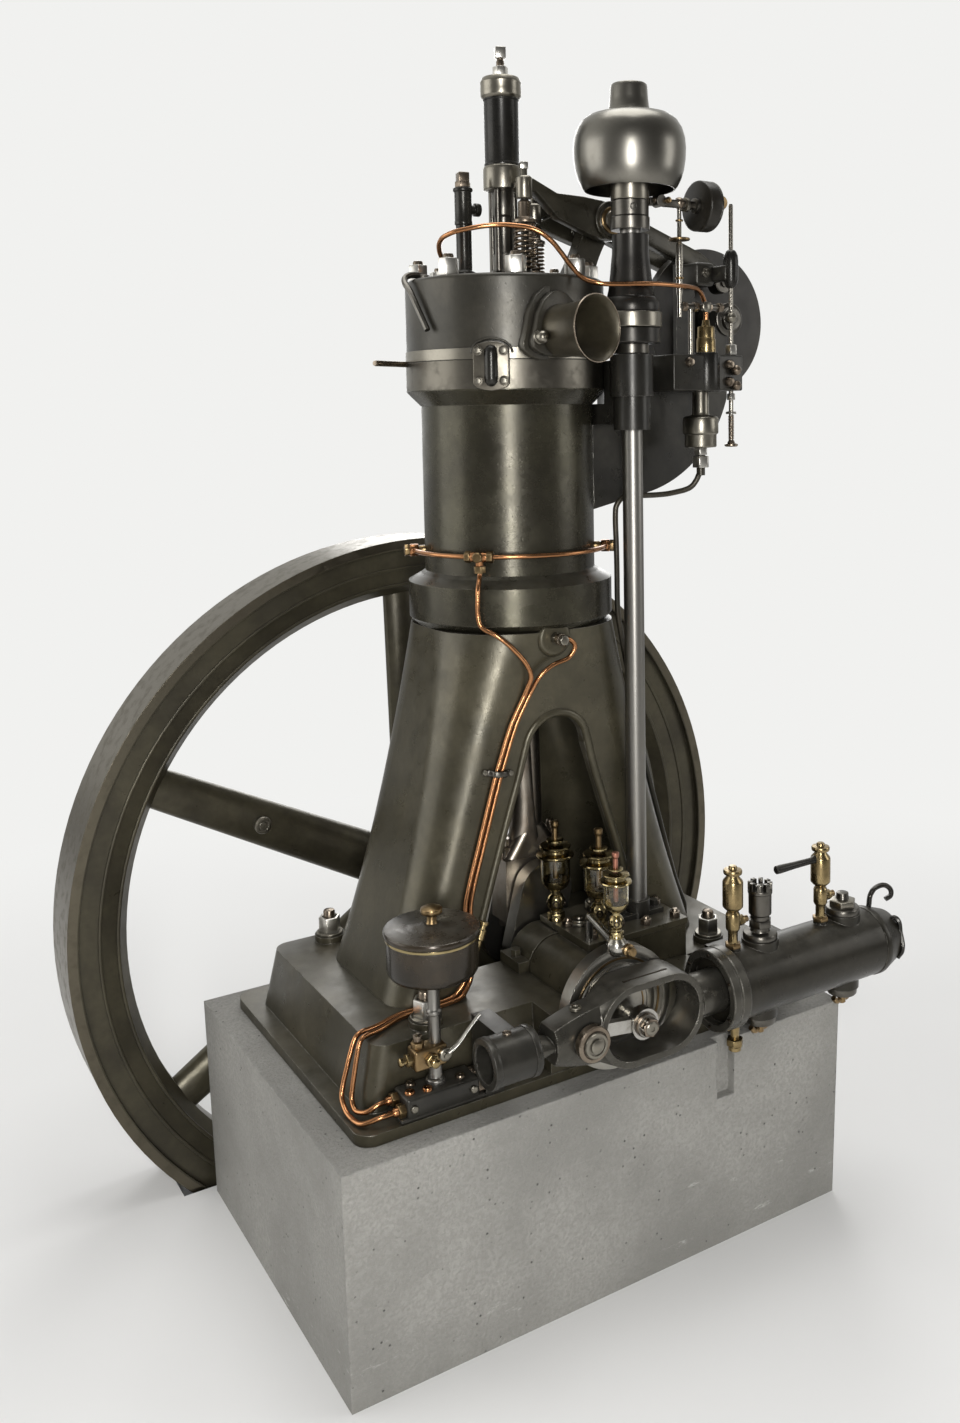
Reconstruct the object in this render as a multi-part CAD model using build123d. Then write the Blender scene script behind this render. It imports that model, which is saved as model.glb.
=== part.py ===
from build123d import *
from math import atan2, cos, degrees, radians, sin, tan
import os

# A small upright diesel engine of about 1900 on a concrete block, in millimetres.
# X runs along the block, Y towards the flywheel and Z up. The origin is the centre of the
# block's underside, straight under the cylinder. The crankshaft lies along Y.

# Driving dimensions of the foundation and the main castings
block_length = 1073.0
block_depth = 733.0
block_height = 672.5
block_taper = 1.0
crank_above_block = 130.5
frame_height = 660.0
jacket_height = 499.0
head_height = 154.0

# Driving dimensions of the running gear
crank_throw = 120.0
crank_angle = 15.0
rod_length = 540.0
wheel_radius = 791.0
wheel_width = 139.0
wheel_front = 385.0
governor_x = 164.0
governor_y = -189.0
compressor_y = -405.0
compressor_throw = 26.0
compressor_angle = -40.0

# Clearances
running_fit = 0.06
running_gap = 6.0
seat_gap = 0.3

# Levels
crank_z = block_height + crank_above_block
bed_top = crank_z
frame_top = bed_top + frame_height
jacket_top = frame_top + jacket_height
head_top = jacket_top + head_height


def slab(left, right, front, back, low, high):
    """A box from its six limits."""
    middle = ((left + right) / 2, (front + back) / 2, (low + high) / 2)
    return Pos(*middle) * Box(right - left, back - front, high - low)


def upright(radius, low, high, x=0.0, y=0.0):
    """A round bar standing along Z."""
    return Pos(x, y, (low + high) / 2) * Cylinder(radius, high - low)


def crossways(radius, front, back, x, z):
    """A round bar lying along Y."""
    return Pos(x, (front + back) / 2, z) * Rot(90, 0, 0) * Cylinder(radius, back - front)


def lengthways(radius, left, right, y, z):
    """A round bar lying along X."""
    return Pos((left + right) / 2, y, z) * Rot(0, 90, 0) * Cylinder(radius, right - left)


def prism(across_flats, low, high, x=0.0, y=0.0, sides=6, turn=0.0):
    """A hexagon or square standing along Z, such as a nut."""
    outline = RegularPolygon(across_flats / 2, sides, major_radius=False)
    return Pos(x, y, low) * Rot(0, 0, turn) * extrude(outline, high - low)


def turned(steps, x=0.0, y=0.0):
    """A piece turned about a vertical axis, from pairs of radius and height."""
    outline = Polyline((0, 0, steps[0][1]), *[(r, 0, z) for r, z in steps], (0, 0, steps[-1][1]), close=True)
    return Pos(x, y, 0) * revolve(make_face(outline), Axis.Z)


def plate_xz(outline, front, back):
    """A flat outline drawn in X and Z, given its thickness along Y."""
    return Pos(0, back, 0) * Rot(90, 0, 0) * extrude(outline, back - front)


def bend_radii(points, largest):
    """The largest arcs that the runs of a pipe allow, one for each corner."""
    radii = []
    for before, corner, after in zip(points, points[1:], points[2:]):
        first = Vector(*corner) - Vector(*before)
        second = Vector(*after) - Vector(*corner)
        turn = radians(first.get_angle(second))
        radii.append(min(largest, 0.45 * min(first.length, second.length) / tan(turn / 2)))
    return radii


def pipe(points, radius, largest=30.0):
    """A bent pipe: straight runs joined by tangent arcs."""
    path = FilletPolyline(*points, radius=bend_radii(points, largest))
    start = Plane(origin=path @ 0, z_dir=path % 0)
    return sweep(start * Circle(radius), path=path)


# Foundation block
pit_half_length = crank_throw + 85.0
pit_half_depth = 72.0
pit_bottom = crank_z - crank_throw - 95.0
notch_left = 222.0
notch_width = 42.0
notch_depth = 22.0
notch_height = 114.0


def foundation_block():
    """The concrete block with the crank pit and the notch under the drain valve."""
    body = Pos(0, 0, block_height) * extrude(Rectangle(block_length, block_depth), -block_height, taper=block_taper)
    body -= slab(-pit_half_length, pit_half_length, -pit_half_depth, pit_half_depth, pit_bottom, block_height + 1)
    body -= slab(notch_left, notch_left + notch_width, -block_depth, -block_depth / 2 + notch_depth,
                 block_height - notch_height, block_height + 1)
    return body


# Bed plate
flange_length = 968.0
flange_depth = 640.0
flange_thickness = 20.0
flange_corner = 32.0
body_length = 900.0
body_depth = 524.0
body_top_length = 850.0
body_top_depth = 510.0
body_corner = 30.0
bearing_half_width = 72.0
bearing_front = pit_half_depth + 2.0
journal_radius = 45.0
tunnel_radius = journal_radius + running_gap
front_box_left = -118.0
front_box_right = 236.0
front_box_front = -318.0
bolt_x = 315.0
bolt_y = 222.0
bolt_boss_radius = 30.0
bolt_boss_height = 12.0
flange_top = block_height + flange_thickness


def bed_plate():
    """The base casting: a lipped flange, a raised body, the crank chamber and the bearing saddles."""
    flange = Pos(0, 0, block_height) * extrude(RectangleRounded(flange_length, flange_depth, flange_corner),
                                               flange_thickness)
    low = Pos(0, 0, flange_top) * RectangleRounded(body_length, body_depth, body_corner)
    high = Pos(0, 0, bed_top) * RectangleRounded(body_top_length, body_top_depth, body_corner)
    body = flange + loft([low, high])
    body += slab(front_box_left, front_box_right, front_box_front, 0, flange_top - 1, bed_top)
    for x in (-bolt_x, bolt_x):
        for y in (-bolt_y, bolt_y):
            body += upright(bolt_boss_radius, bed_top - 5, bed_top + bolt_boss_height, x, y)
    body -= slab(-pit_half_length, pit_half_length, -pit_half_depth, pit_half_depth, block_height - 1, bed_top + 1)
    body -= crossways(journal_radius + running_fit, -bearing_front - bearing_half_width,
                      bearing_front + bearing_half_width, 0, crank_z)
    body -= crossways(tunnel_radius, -block_depth, -bearing_front - bearing_half_width, 0, crank_z)
    body -= crossways(tunnel_radius, bearing_front + bearing_half_width, block_depth, 0, crank_z)
    return body


# Frame
frame_foot_length = 690.0
frame_foot_depth = 326.0
frame_knee_length = 640.0
frame_knee_depth = 324.0
frame_knee_height = 80.0
frame_waist_length = 490.0
frame_waist_depth = 322.0
frame_waist_height = 352.0
frame_top_radius = 185.0
frame_wall = 20.0
arch_top_radius = 62.0
arch_centre_height = 432.0
arch_foot_half = 205.0


def frame_skin(inset):
    """The tapering four-sided shape of the frame, drawn in by the given amount."""
    levels = ((0.0, frame_foot_length, frame_foot_depth, 60.0),
              (frame_knee_height, frame_knee_length, frame_knee_depth, 70.0),
              (frame_waist_height, frame_waist_length, frame_waist_depth, 90.0),
              (frame_height, 2 * frame_top_radius, 2 * frame_top_radius, 150.0))
    outlines = [Pos(0, 0, bed_top + z) * RectangleRounded(a - 2 * inset, b - 2 * inset, r - inset)
                for z, a, b, r in levels]
    return loft(outlines)


def arch_outline():
    """The pointed arch through the front and back of the frame, in X and Z."""
    crown = bed_top + arch_centre_height
    side = Line((-arch_foot_half, bed_top - 1), (-arch_top_radius, crown))
    top = ThreePointArc((-arch_top_radius, crown), (0, crown + arch_top_radius), (arch_top_radius, crown))
    return make_face(Curve() + [side, top, Line(top @ 1, (arch_foot_half, bed_top - 1)),
                                Line((arch_foot_half, bed_top - 1), (-arch_foot_half, bed_top - 1))])


def a_frame():
    """The hollow frame that carries the cylinder, with an arched opening front and back."""
    body = frame_skin(0.0) - frame_skin(frame_wall)
    body -= plate_xz(arch_outline(), -frame_foot_depth, frame_foot_depth)
    return body


# Cylinder
jacket_radius = 166.0
jacket_bore = 153.0
belt_radius = 199.0
belt_height = 97.0
belt_slope = 14.0
flange_radius = 193.0
flange_height = 54.0
flange_fillet = 27.0


def cylinder_jacket():
    """The water jacket with its belt over the frame and its flange under the head."""
    steps = [(jacket_bore, frame_top), (belt_radius - belt_slope, frame_top), (belt_radius, frame_top + belt_slope),
             (belt_radius, frame_top + belt_height - belt_slope), (jacket_radius + 8, frame_top + belt_height),
             (jacket_radius, frame_top + belt_height + 6),
             (jacket_radius, jacket_top - flange_height - flange_fillet),
             (flange_radius, jacket_top - flange_height), (flange_radius, jacket_top), (jacket_bore, jacket_top)]
    outline = Polyline(*[(r, 0, z) for r, z in steps], close=True)
    return revolve(make_face(outline), Axis.Z)


# Cylinder head
head_radius = 191.0
head_edge = 8.0
stud_circle = 165.0
stud_count = 8
head_nut_flats = 34.0
head_nut_height = 32.0
horn_x = -15.0
horn_y = -145.0
horn_angle = 14.0
horn_length = 147.0
horn_height = 50.0
horn_radius = 48.0
horn_mouth_radius = 60.0
horn_wall = 8.0


def cylinder_head():
    """The head: a round block with a rounded top edge."""
    body = upright(head_radius, jacket_top, head_top)
    return fillet(body.edges().sort_by(Axis.Z)[-1], head_edge)


def intake_horn():
    """The open horn bolted to the side of the head."""
    steps = [(horn_radius, 0), (horn_radius, horn_length - 25), (horn_mouth_radius, horn_length - 12),
             (horn_mouth_radius, horn_length), (horn_mouth_radius - horn_wall, horn_length),
             (horn_radius - horn_wall, horn_length - 25), (horn_radius - horn_wall, 0)]
    horn = revolve(make_face(Polyline(*[(r, 0, z) for r, z in steps], close=True)), Axis.Z)
    horn = Pos(horn_x, horn_y, jacket_top + horn_height) * Rot(0, 0, horn_angle) * Rot(90, 0, 0) * horn
    return horn - upright(head_radius + seat_gap, jacket_top, head_top)


def head_nuts():
    """Eight studs with tall nuts round the head."""
    nuts = []
    for i in range(stud_count):
        angle = radians(360 / stud_count * (i + 0.5) - 90)
        x, y = stud_circle * cos(angle), stud_circle * sin(angle)
        nut = prism(head_nut_flats, head_top, head_top + head_nut_height, x, y, 6, degrees(angle))
        nuts.append(nut + upright(9.0, head_top + head_nut_height - 1, head_top + head_nut_height + 8, x, y))
    return Compound(nuts)


# Flywheel
rim_lip = 22.0
rim_recess = 12.0
rim_bead_depth = 64.0
rim_inner_depth = 101.0
rim_middle_depth = 123.0
rim_bevel = 6.0
rim_middle_half = 24.0
hub_radius = 108.0
hub_overhang = 14.0
spoke_count = 6
spoke_angle = 92.5
spoke_root_width = 112.0
spoke_tip_width = 84.0
spoke_thickness = 0.6
plug_radius = 17.0
plug_depth = 361.0
plug_height = 38.0
spoke_bury = 15.0
spoke_root_bury = 12.0
rim_bead_radius = wheel_radius - rim_bead_depth
rim_inner_radius = wheel_radius - rim_inner_depth
rim_middle_radius = wheel_radius - rim_middle_depth
plug_reach = wheel_radius - plug_depth
wheel_back = wheel_front + wheel_width
wheel_middle = (wheel_front + wheel_back) / 2


def flywheel():
    """The flywheel: a recessed rim, six elliptical spokes and a hub keyed to the shaft."""
    recess_front, recess_back = wheel_front + rim_recess, wheel_back - rim_recess
    rim_points = [(wheel_radius, wheel_front), (wheel_radius, wheel_back), (wheel_radius - rim_lip, wheel_back),
                  (wheel_radius - rim_lip, recess_back), (rim_bead_radius, recess_back),
                  (rim_inner_radius, recess_back - rim_bevel),
                  (rim_middle_radius, wheel_middle + rim_middle_half),
                  (rim_middle_radius, wheel_middle - rim_middle_half),
                  (rim_inner_radius, recess_front + rim_bevel),
                  (rim_bead_radius, recess_front), (wheel_radius - rim_lip, recess_front),
                  (wheel_radius - rim_lip, wheel_front)]
    wheel = revolve(make_face(Polyline(*[(r, y, 0) for r, y in rim_points], close=True)), Axis.Y)
    wheel += crossways(hub_radius, wheel_front - hub_overhang, wheel_back + hub_overhang, 0, 0)
    for i in range(spoke_count):
        root = Plane(origin=(hub_radius - spoke_bury, 0, 0), x_dir=(0, 0, 1), z_dir=(1, 0, 0))
        tip = Plane(origin=(rim_middle_radius + spoke_root_bury, 0, 0), x_dir=(0, 0, 1), z_dir=(1, 0, 0))
        spoke = loft([root * Ellipse(spoke_root_width / 2, spoke_root_width * spoke_thickness / 2),
                      tip * Ellipse(spoke_tip_width / 2, spoke_tip_width * spoke_thickness / 2)])
        wheel += Pos(0, wheel_middle, 0) * Rot(0, -spoke_angle - 360 / spoke_count * i, 0) * spoke
    angle = radians(spoke_angle + 360 / spoke_count)
    plug_x, plug_z = plug_reach * cos(angle), plug_reach * sin(angle)
    wheel += crossways(plug_radius, wheel_middle - plug_height, wheel_middle, plug_x, plug_z)
    return Pos(0, 0, crank_z) * (wheel - crossways(journal_radius, 0, 2 * wheel_back, 0, 0))


# Crankshaft and connecting rod
pin_radius = 40.0
rod_half_width = 30.0
web_thickness = 32.0
web_radius = 58.0
web_gap = 5.0
disc_radius = 112.0
disc_front = -364.0
disc_back = -336.0
compressor_pin_radius = 13.0
compressor_eye_radius = 28.0
compressor_rod_width = 20.0
compressor_nut_height = 18.0
pin_x = crank_throw * sin(radians(crank_angle))
pin_z = crank_z + crank_throw * cos(radians(crank_angle))
web_front = rod_half_width + web_gap
web_back = web_front + web_thickness
disc_pin_x = compressor_throw * cos(radians(compressor_angle))
disc_pin_z = crank_z + compressor_throw * sin(radians(compressor_angle))


def crankshaft():
    """The shaft with its two webs, crank pin and journals."""
    shaft = crossways(journal_radius, disc_back, -web_back, 0, crank_z)
    shaft += crossways(journal_radius, web_back, wheel_back + hub_overhang + 12, 0, crank_z)
    web = Pos(pin_x / 2, 0, (pin_z + crank_z) / 2) * Rot(90, 0, 0)
    web *= Rot(0, 0, 90 - crank_angle) * extrude(SlotCenterToCenter(crank_throw, 2 * web_radius), web_thickness)
    shaft += Pos(0, web_back, 0) * web
    shaft += Pos(0, -web_front, 0) * web
    return shaft + crossways(pin_radius, -web_front - 1, web_front + 1, pin_x, pin_z)


def crank_disc():
    """The turned disc on the front end of the shaft, with the pin that drives the compressor."""
    disc = crossways(disc_radius, disc_front, disc_back, 0, crank_z)
    disc -= crossways(disc_radius - 14, disc_front - 1, disc_front + 5, 0, crank_z)
    disc += crossways(disc_radius - 34, disc_front, disc_back, 0, crank_z)
    nut_back = compressor_y - compressor_rod_width / 2
    disc += crossways(compressor_pin_radius, nut_back - compressor_nut_height, disc_back, disc_pin_x, disc_pin_z)
    disc += crossways(20.0, nut_back - 7, nut_back - seat_gap, disc_pin_x, disc_pin_z)
    nut = RegularPolygon(14.5, 6, major_radius=False)
    return disc + Pos(disc_pin_x, nut_back - 7, disc_pin_z) * Rot(90, 0, 0) * extrude(nut, compressor_nut_height - 7)


big_end_half_length = 72.0
big_end_above = 62.0
big_end_below = 65.0
big_bolt_reach = 57.0
big_bolt_radius = 10.0
shank_low_radius = 27.0
shank_high_radius = 21.0
small_end_radius = 28.0
small_end_half_width = 25.0


def connecting_rod():
    """The rod with its palm end, two bearing halves on long bolts, and its upper eye."""
    rod = slab(-big_end_half_length, big_end_half_length, -rod_half_width, rod_half_width,
               -big_end_below, big_end_above)
    low = Pos(0, 0, big_end_above - 1) * RectangleRounded(2 * big_end_half_length - 8, 2 * rod_half_width - 4, 20)
    knee = Pos(0, 0, big_end_above + 60) * RectangleRounded(2 * shank_low_radius, 2 * shank_low_radius, 20)
    rod += loft([low, knee])
    rod += Pos(0, 0, (big_end_above + 59 + rod_length) / 2) * Cone(shank_low_radius, shank_high_radius,
                                                                   rod_length - big_end_above - 59)
    rod += crossways(small_end_radius, -small_end_half_width, small_end_half_width, 0, rod_length)
    for x in (-big_bolt_reach, big_bolt_reach):
        rod += upright(big_bolt_radius, -big_end_below - 6, big_end_above + 38, x)
        rod += prism(30.0, big_end_above, big_end_above + 22, x)
        rod += prism(28.0, -big_end_below - 12, -big_end_below, x)
    rod -= crossways(pin_radius + running_fit, -rod_half_width - 1, rod_half_width + 1, 0, 0)
    return Pos(pin_x, 0, pin_z) * rod


# Main bearing caps
cap_half_length = 82.0
cap_radius = 63.0
cap_foot = 22.0


def main_bearing_caps():
    """The caps over the two main bearings, bolted to the bed."""
    caps = []
    for front in (-bearing_front - bearing_half_width, bearing_front):
        back = front + bearing_half_width
        cap = crossways(cap_radius, front, back, 0, crank_z)
        cap += slab(-cap_half_length, cap_half_length, front, back, bed_top, bed_top + cap_foot)
        for x in (-cap_half_length + 14, cap_half_length - 14):
            cap += prism(18.0, bed_top + cap_foot, bed_top + cap_foot + 14, x, (front + back) / 2)
        cap -= crossways(journal_radius + running_fit, front - 1, back + 1, 0, crank_z)
        caps.append(cap - slab(-200, 200, front - 1, back + 1, bed_top - 200, bed_top))
    return Compound(caps)


# Gear case in front of the frame
case_left = 5.0
case_right = 236.0
case_front = -252.0
case_back = -bearing_front - bearing_half_width - 2
case_height = 65.0
case_hump_radius = 61.0
case_hump_front = -318.0
plate_thickness = 12.0
plate_inner_right = 165.0
plate_back = -bearing_front - 8
plate_top = bed_top + case_height + plate_thickness


def gear_case():
    """The housing over the shaft gears with its cover plate, and the hump over the shaft end."""
    frame_face = -frame_foot_depth / 2 - 2
    case = slab(case_left, case_right, case_front, frame_face, bed_top, bed_top + case_height)
    case += slab(case_left, plate_inner_right, frame_face - 1, case_back, bed_top, bed_top + case_height)
    case += crossways(case_hump_radius, case_hump_front, case_back, 0, crank_z)
    case += slab(case_left, case_right, case_front - 6, frame_face, bed_top + case_height, plate_top)
    case += slab(case_left, plate_inner_right, frame_face - 1, plate_back, bed_top + case_height, plate_top)
    case -= crossways(tunnel_radius, case_hump_front - 1, case_back + 1, 0, crank_z)
    return case - slab(-200, 400, -400, 0, bed_top - 200, bed_top)


# Vertical shaft and governor
shaft_radius = 19.5
foot_bearing_height = 34.0
foot_bearing_radius = 25.0
gear_drum_low = jacket_top + 32
gear_drum_high = jacket_top + 115
skirt_bottom = jacket_top + 118
sleeve_low = jacket_top + 238
sleeve_top = jacket_top + 328
bell_radius = 103.0
bell_low = jacket_top + 310
bell_belly = 83.0
neck_bottom = jacket_top + 452
neck_top = jacket_top + 506


def foot_bearing():
    """The flanged bearing that the vertical shaft stands in."""
    x, y = governor_x, governor_y
    bearing = upright(foot_bearing_radius, plate_top, plate_top + foot_bearing_height, x, y)
    bearing += slab(x - 50, x + 50, y - 20, y + 20, plate_top, plate_top + 10)
    for side in (-40, 40):
        bearing += prism(16.0, plate_top + 10, plate_top + 22, x + side, y)
    return bearing - upright(shaft_radius + running_fit, plate_top + 5, plate_top + 100, x, y)


def vertical_shaft():
    """The polished shaft from the gear case up to the governor."""
    return upright(shaft_radius, plate_top + 5 + running_fit, neck_top - 4, governor_x, governor_y)


def governor_bell():
    """The polished bell of the governor: a thin turned shell, open below, with a tapering neck."""
    centre = bell_low + bell_belly
    shape = Curve() + [
        Line((shaft_radius, 0, neck_top), (33.0, 0, neck_top)),
        Line((33.0, 0, neck_top), (40.0, 0, neck_bottom)),
        Line((40.0, 0, neck_bottom), (66.0, 0, neck_bottom - 6)),
        ThreePointArc((66.0, 0, neck_bottom - 6), (bell_radius, 0, centre), (88.0, 0, bell_low)),
        Line((88.0, 0, bell_low), (82.0, 0, bell_low)),
        ThreePointArc((82.0, 0, bell_low), (bell_radius - 7, 0, centre), (60.0, 0, neck_bottom - 14)),
        Line((60.0, 0, neck_bottom - 14), (shaft_radius, 0, neck_bottom - 14)),
        Line((shaft_radius, 0, neck_bottom - 14), (shaft_radius, 0, neck_top))]
    return Pos(governor_x, governor_y, 0) * revolve(make_face(shape), Axis.Z)


def governor_sleeve():
    """The sliding sleeve under the bell that lifts the regulating fork."""
    steps = [(shaft_radius, sleeve_low), (35.0, sleeve_low), (35.0, sleeve_top), (44.0, sleeve_top + 8),
             (44.0, sleeve_top + 20), (shaft_radius, sleeve_top + 20)]
    ring = revolve(make_face(Polyline(*[(r, 0, z) for r, z in steps], close=True)), Axis.Z)
    return Pos(governor_x, governor_y, 0) * ring


# Bracket beside the cylinder, camshaft and rockers
bracket_front = -86.0
bracket_back = -30.0
bracket_reach = 480.0
bracket_low = jacket_top - 275
bracket_high = jacket_top - 2
bracket_inner = 130.0
arm_low = jacket_top - 131
arm_high = jacket_top + 10
arm_hub_height = 78.0
cam_x = 484.0
cam_z = jacket_top + 92
cam_shaft_radius = 22.0
cam_boss_radius = 34.0
cam_disc_radius = 152.0
cam_disc_front = -14.0
cam_disc_back = 8.0
cam_shaft_back = 70.0
rocker_x = 200.0
rocker_z = head_top + 121
rod_x = 406.0
rod_guide_low = jacket_top + 146
rod_clamp_left = rod_x - 57
rod_clamp_right = rod_x - 10
rod_clamp_front = -152.0


def governor_bracket():
    """The casting on the side of the jacket that carries the governor, camshaft and fuel pump."""
    outline = make_face(Curve() + [
        Line((bracket_inner, bracket_low - 14), (250.0, bracket_low + 12)),
        ThreePointArc((250.0, bracket_low + 12), (410.0, bracket_low + 90), (bracket_reach, bracket_low + 205)),
        Line((bracket_reach, bracket_low + 205), (bracket_reach, bracket_high)),
        Line((bracket_reach, bracket_high), (bracket_inner, bracket_high)),
        Line((bracket_inner, bracket_high), (bracket_inner, bracket_low - 14))])
    casting = plate_xz(outline, bracket_front, bracket_back)
    casting += slab(governor_x - 30, governor_x + 30, governor_y, bracket_front + 1, arm_low + 10, arm_high - 10)
    casting += upright(41.0, arm_high - arm_hub_height, arm_high, governor_x, governor_y)
    casting += upright(35.0, arm_low, arm_high - arm_hub_height, governor_x, governor_y)
    casting += slab(cam_x - cam_boss_radius, bracket_reach, bracket_front, bracket_back, bracket_high - 1, cam_z)
    casting += crossways(cam_boss_radius, bracket_front, bracket_back + 4, cam_x, cam_z)
    casting += slab(rod_clamp_left, rod_clamp_right, bracket_front, bracket_front + 10, bracket_high - 1,
                    rod_guide_low + 52)
    casting -= upright(shaft_radius + running_fit, arm_low - 1, arm_high + 1, governor_x, governor_y)
    casting -= crossways(cam_shaft_radius + running_fit, bracket_front - 20, bracket_back + 20, cam_x, cam_z)
    casting -= upright(flange_radius + seat_gap, jacket_top - flange_height - flange_fillet, head_top)
    return casting - upright(jacket_radius + seat_gap, frame_top, jacket_top)


def gear_drum():
    """The round housing of the upper gears on the vertical shaft, with its polished band."""
    steps = [(shaft_radius + running_gap, arm_high), (41.0, arm_high), (54.0, gear_drum_low),
             (54.0, gear_drum_low + 26), (58.0, gear_drum_low + 27), (58.0, gear_drum_low + 55),
             (53.0, gear_drum_low + 56), (53.0, gear_drum_high - 8), (46.0, gear_drum_high), (42.0, skirt_bottom),
             (34.0, skirt_bottom + 70), (34.0, sleeve_low - running_gap),
             (shaft_radius + running_gap, sleeve_low - running_gap)]
    drum = revolve(make_face(Polyline(*[(r, 0, z) for r, z in steps], close=True)), Axis.Z)
    drum = Pos(governor_x, governor_y, 0) * drum
    return drum - upright(flange_radius + seat_gap, jacket_top - flange_height, head_top + 1)


def camshaft():
    """The camshaft with its cams and the large round disc behind."""
    shaft = crossways(cam_shaft_radius, bracket_front - 12, cam_shaft_back, cam_x, cam_z)
    shaft += crossways(cam_disc_radius, cam_disc_front, cam_disc_back, cam_x, cam_z)
    for front in (18.0, 44.0):
        shaft += crossways(46.0, front, front + 20, cam_x, cam_z)
    return shaft


# Valve gear on the head
fuel_valve_top = head_top + 438
side_valve_x = 88.0
side_valve_y = 32.0
side_valve_lift = 118.0
front_valve_x = 5.0
front_valve_y = -72.0
front_valve_lift = 148.0
front_rocker_y = -58.0
starting_valve_x = -86.0
spring_turns = 7
rocker_boss_radius = 36.0
rocker_shaft_radius = 18.0
rocker_lift = 14.0
cam_radius = 40.0
roller_radius = 22.0


def fuel_valve():
    """The tall fuel valve in the middle of the head: a gland body, polished collar, tube and cap."""
    steps = [(26.0, head_top), (26.0, head_top + 22), (21.0, head_top + 24), (21.0, head_top + 172),
             (37.0, head_top + 174), (37.0, head_top + 216), (33.0, head_top + 220), (33.0, head_top + 341),
             (39.0, head_top + 349), (39.0, head_top + 374), (33.0, head_top + 382), (12.0, head_top + 383),
             (8.0, head_top + 400), (7.0, fuel_valve_top - 22)]
    body = turned(steps)
    body += prism(26.0, head_top + 383, head_top + 402)
    body += prism(20.0, fuel_valve_top - 22, fuel_valve_top, 0, 0, 4, 20)
    for turn in (40, 130):
        slot = Rot(0, 0, turn) * slab(-6, 6, -60, 60, head_top + 60, head_top + 120)
        body -= slot - upright(12.0, head_top, head_top + 200)
    return body


def starting_valve():
    """The slim dark valve housing on the left of the head."""
    steps = [(22.0, head_top), (22.0, head_top + 18), (14.0, head_top + 20), (14.0, head_top + 108),
             (17.0, head_top + 110), (17.0, head_top + 168), (19.0, head_top + 171), (14.0, head_top + 174),
             (10.0, head_top + 176), (9.0, head_top + 182)]
    body = turned(steps, starting_valve_x, 0)
    return body + prism(20.0, head_top + 182, head_top + 200, starting_valve_x, 0)


def spring_profile(radius, low, high, wire):
    """The outline of a coil spring, as close rings on a sleeve."""
    pitch = (high - low) / spring_turns
    steps = [(radius - wire, low)]
    for i in range(spring_turns):
        middle = low + pitch * (i + 0.5)
        steps += [(radius, middle - wire / 2), (radius, middle + wire / 2), (radius - wire, middle + pitch / 2)]
    return steps


def sprung_valve(x, y, spring_radius, spring_high, stem_high):
    """A valve: guide boss, coil spring, spring cup, stem and the nut that the rocker presses."""
    low = head_top + 12
    body = turned([(spring_radius + 6, head_top), (spring_radius + 6, head_top + 10), (spring_radius, low)]
                  + spring_profile(spring_radius, low, spring_high, 5.0)
                  + [(spring_radius + 2, spring_high), (spring_radius + 2, spring_high + 8),
                     (13.0, spring_high + 9), (13.0, stem_high)], x, y)
    return body


def valves():
    """The two sprung valves at the front and right of the fuel valve."""
    front = sprung_valve(front_valve_x, front_valve_y, 21.0, head_top + 104, head_top + front_valve_lift)
    side = sprung_valve(side_valve_x, side_valve_y, 19.0, head_top + 82, head_top + side_valve_lift)
    return Compound([front, side])


def rocker_bracket():
    """The pedestal on the head and the arm that carries the rocker shaft."""
    outline = make_face(Curve() + [
        Line((112.0, head_top), (182.0, head_top)),
        ThreePointArc((182.0, head_top), (205.0, head_top + 66), (rocker_x + 26, rocker_z - 20)),
        ThreePointArc((rocker_x + 26, rocker_z - 20), (rocker_x, rocker_z + 32), (rocker_x - 28, rocker_z + 8)),
        ThreePointArc((rocker_x - 28, rocker_z + 8), (150.0, head_top + 66), (112.0, head_top))])
    bracket = plate_xz(outline, -30, 4)
    return bracket + crossways(rocker_shaft_radius, front_rocker_y - 26, side_valve_y + 26, rocker_x, rocker_z)


def rocker(y, valve_x, valve_y, nose_low):
    """One rocker: a tapering lever on the shaft, with its nose on a valve and a roller above its cam."""
    left, nose_z = valve_x - 6, nose_low + 38
    roller_low = cam_z + cam_radius + rocker_lift
    upper = Line((left, nose_z), (rocker_x - 14, rocker_z + 40))
    outline = make_face(Curve() + [
        upper,
        ThreePointArc(upper @ 1, (rocker_x + 14, rocker_z + 40), (rocker_x + 34, rocker_z + 25.3)),
        Line((rocker_x + 34, rocker_z + 25.3), (cam_x + 12, roller_low + 42)),
        Line((cam_x + 12, roller_low + 42), (cam_x - 14, roller_low + 18)),
        Line((cam_x - 14, roller_low + 18), (rocker_x + 24, rocker_z - 28)),
        ThreePointArc((rocker_x + 24, rocker_z - 28), (rocker_x, rocker_z - rocker_boss_radius),
                      (rocker_x - 26, rocker_z - 26)),
        Line((rocker_x - 26, rocker_z - 26), (left, nose_z - 26)),
        Line((left, nose_z - 26), (left, nose_z))])
    lever = plate_xz(outline, y - 13, y + 13)
    lever += crossways(rocker_boss_radius, y - 19, y + 19, rocker_x, rocker_z)
    lever += crossways(roller_radius, y - 13, y + 13, cam_x, roller_low + roller_radius)
    lever += upright(15.0, nose_low, nose_low + 40, valve_x, valve_y)
    lever += upright(7.0, nose_low + 39, nose_low + 56, valve_x, valve_y)
    lever += prism(14.0, nose_low + 55, nose_low + 68, valve_x, valve_y, 4, 25)
    return lever - crossways(rocker_shaft_radius + running_fit, y - 20, y + 20, rocker_x, rocker_z)


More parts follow.
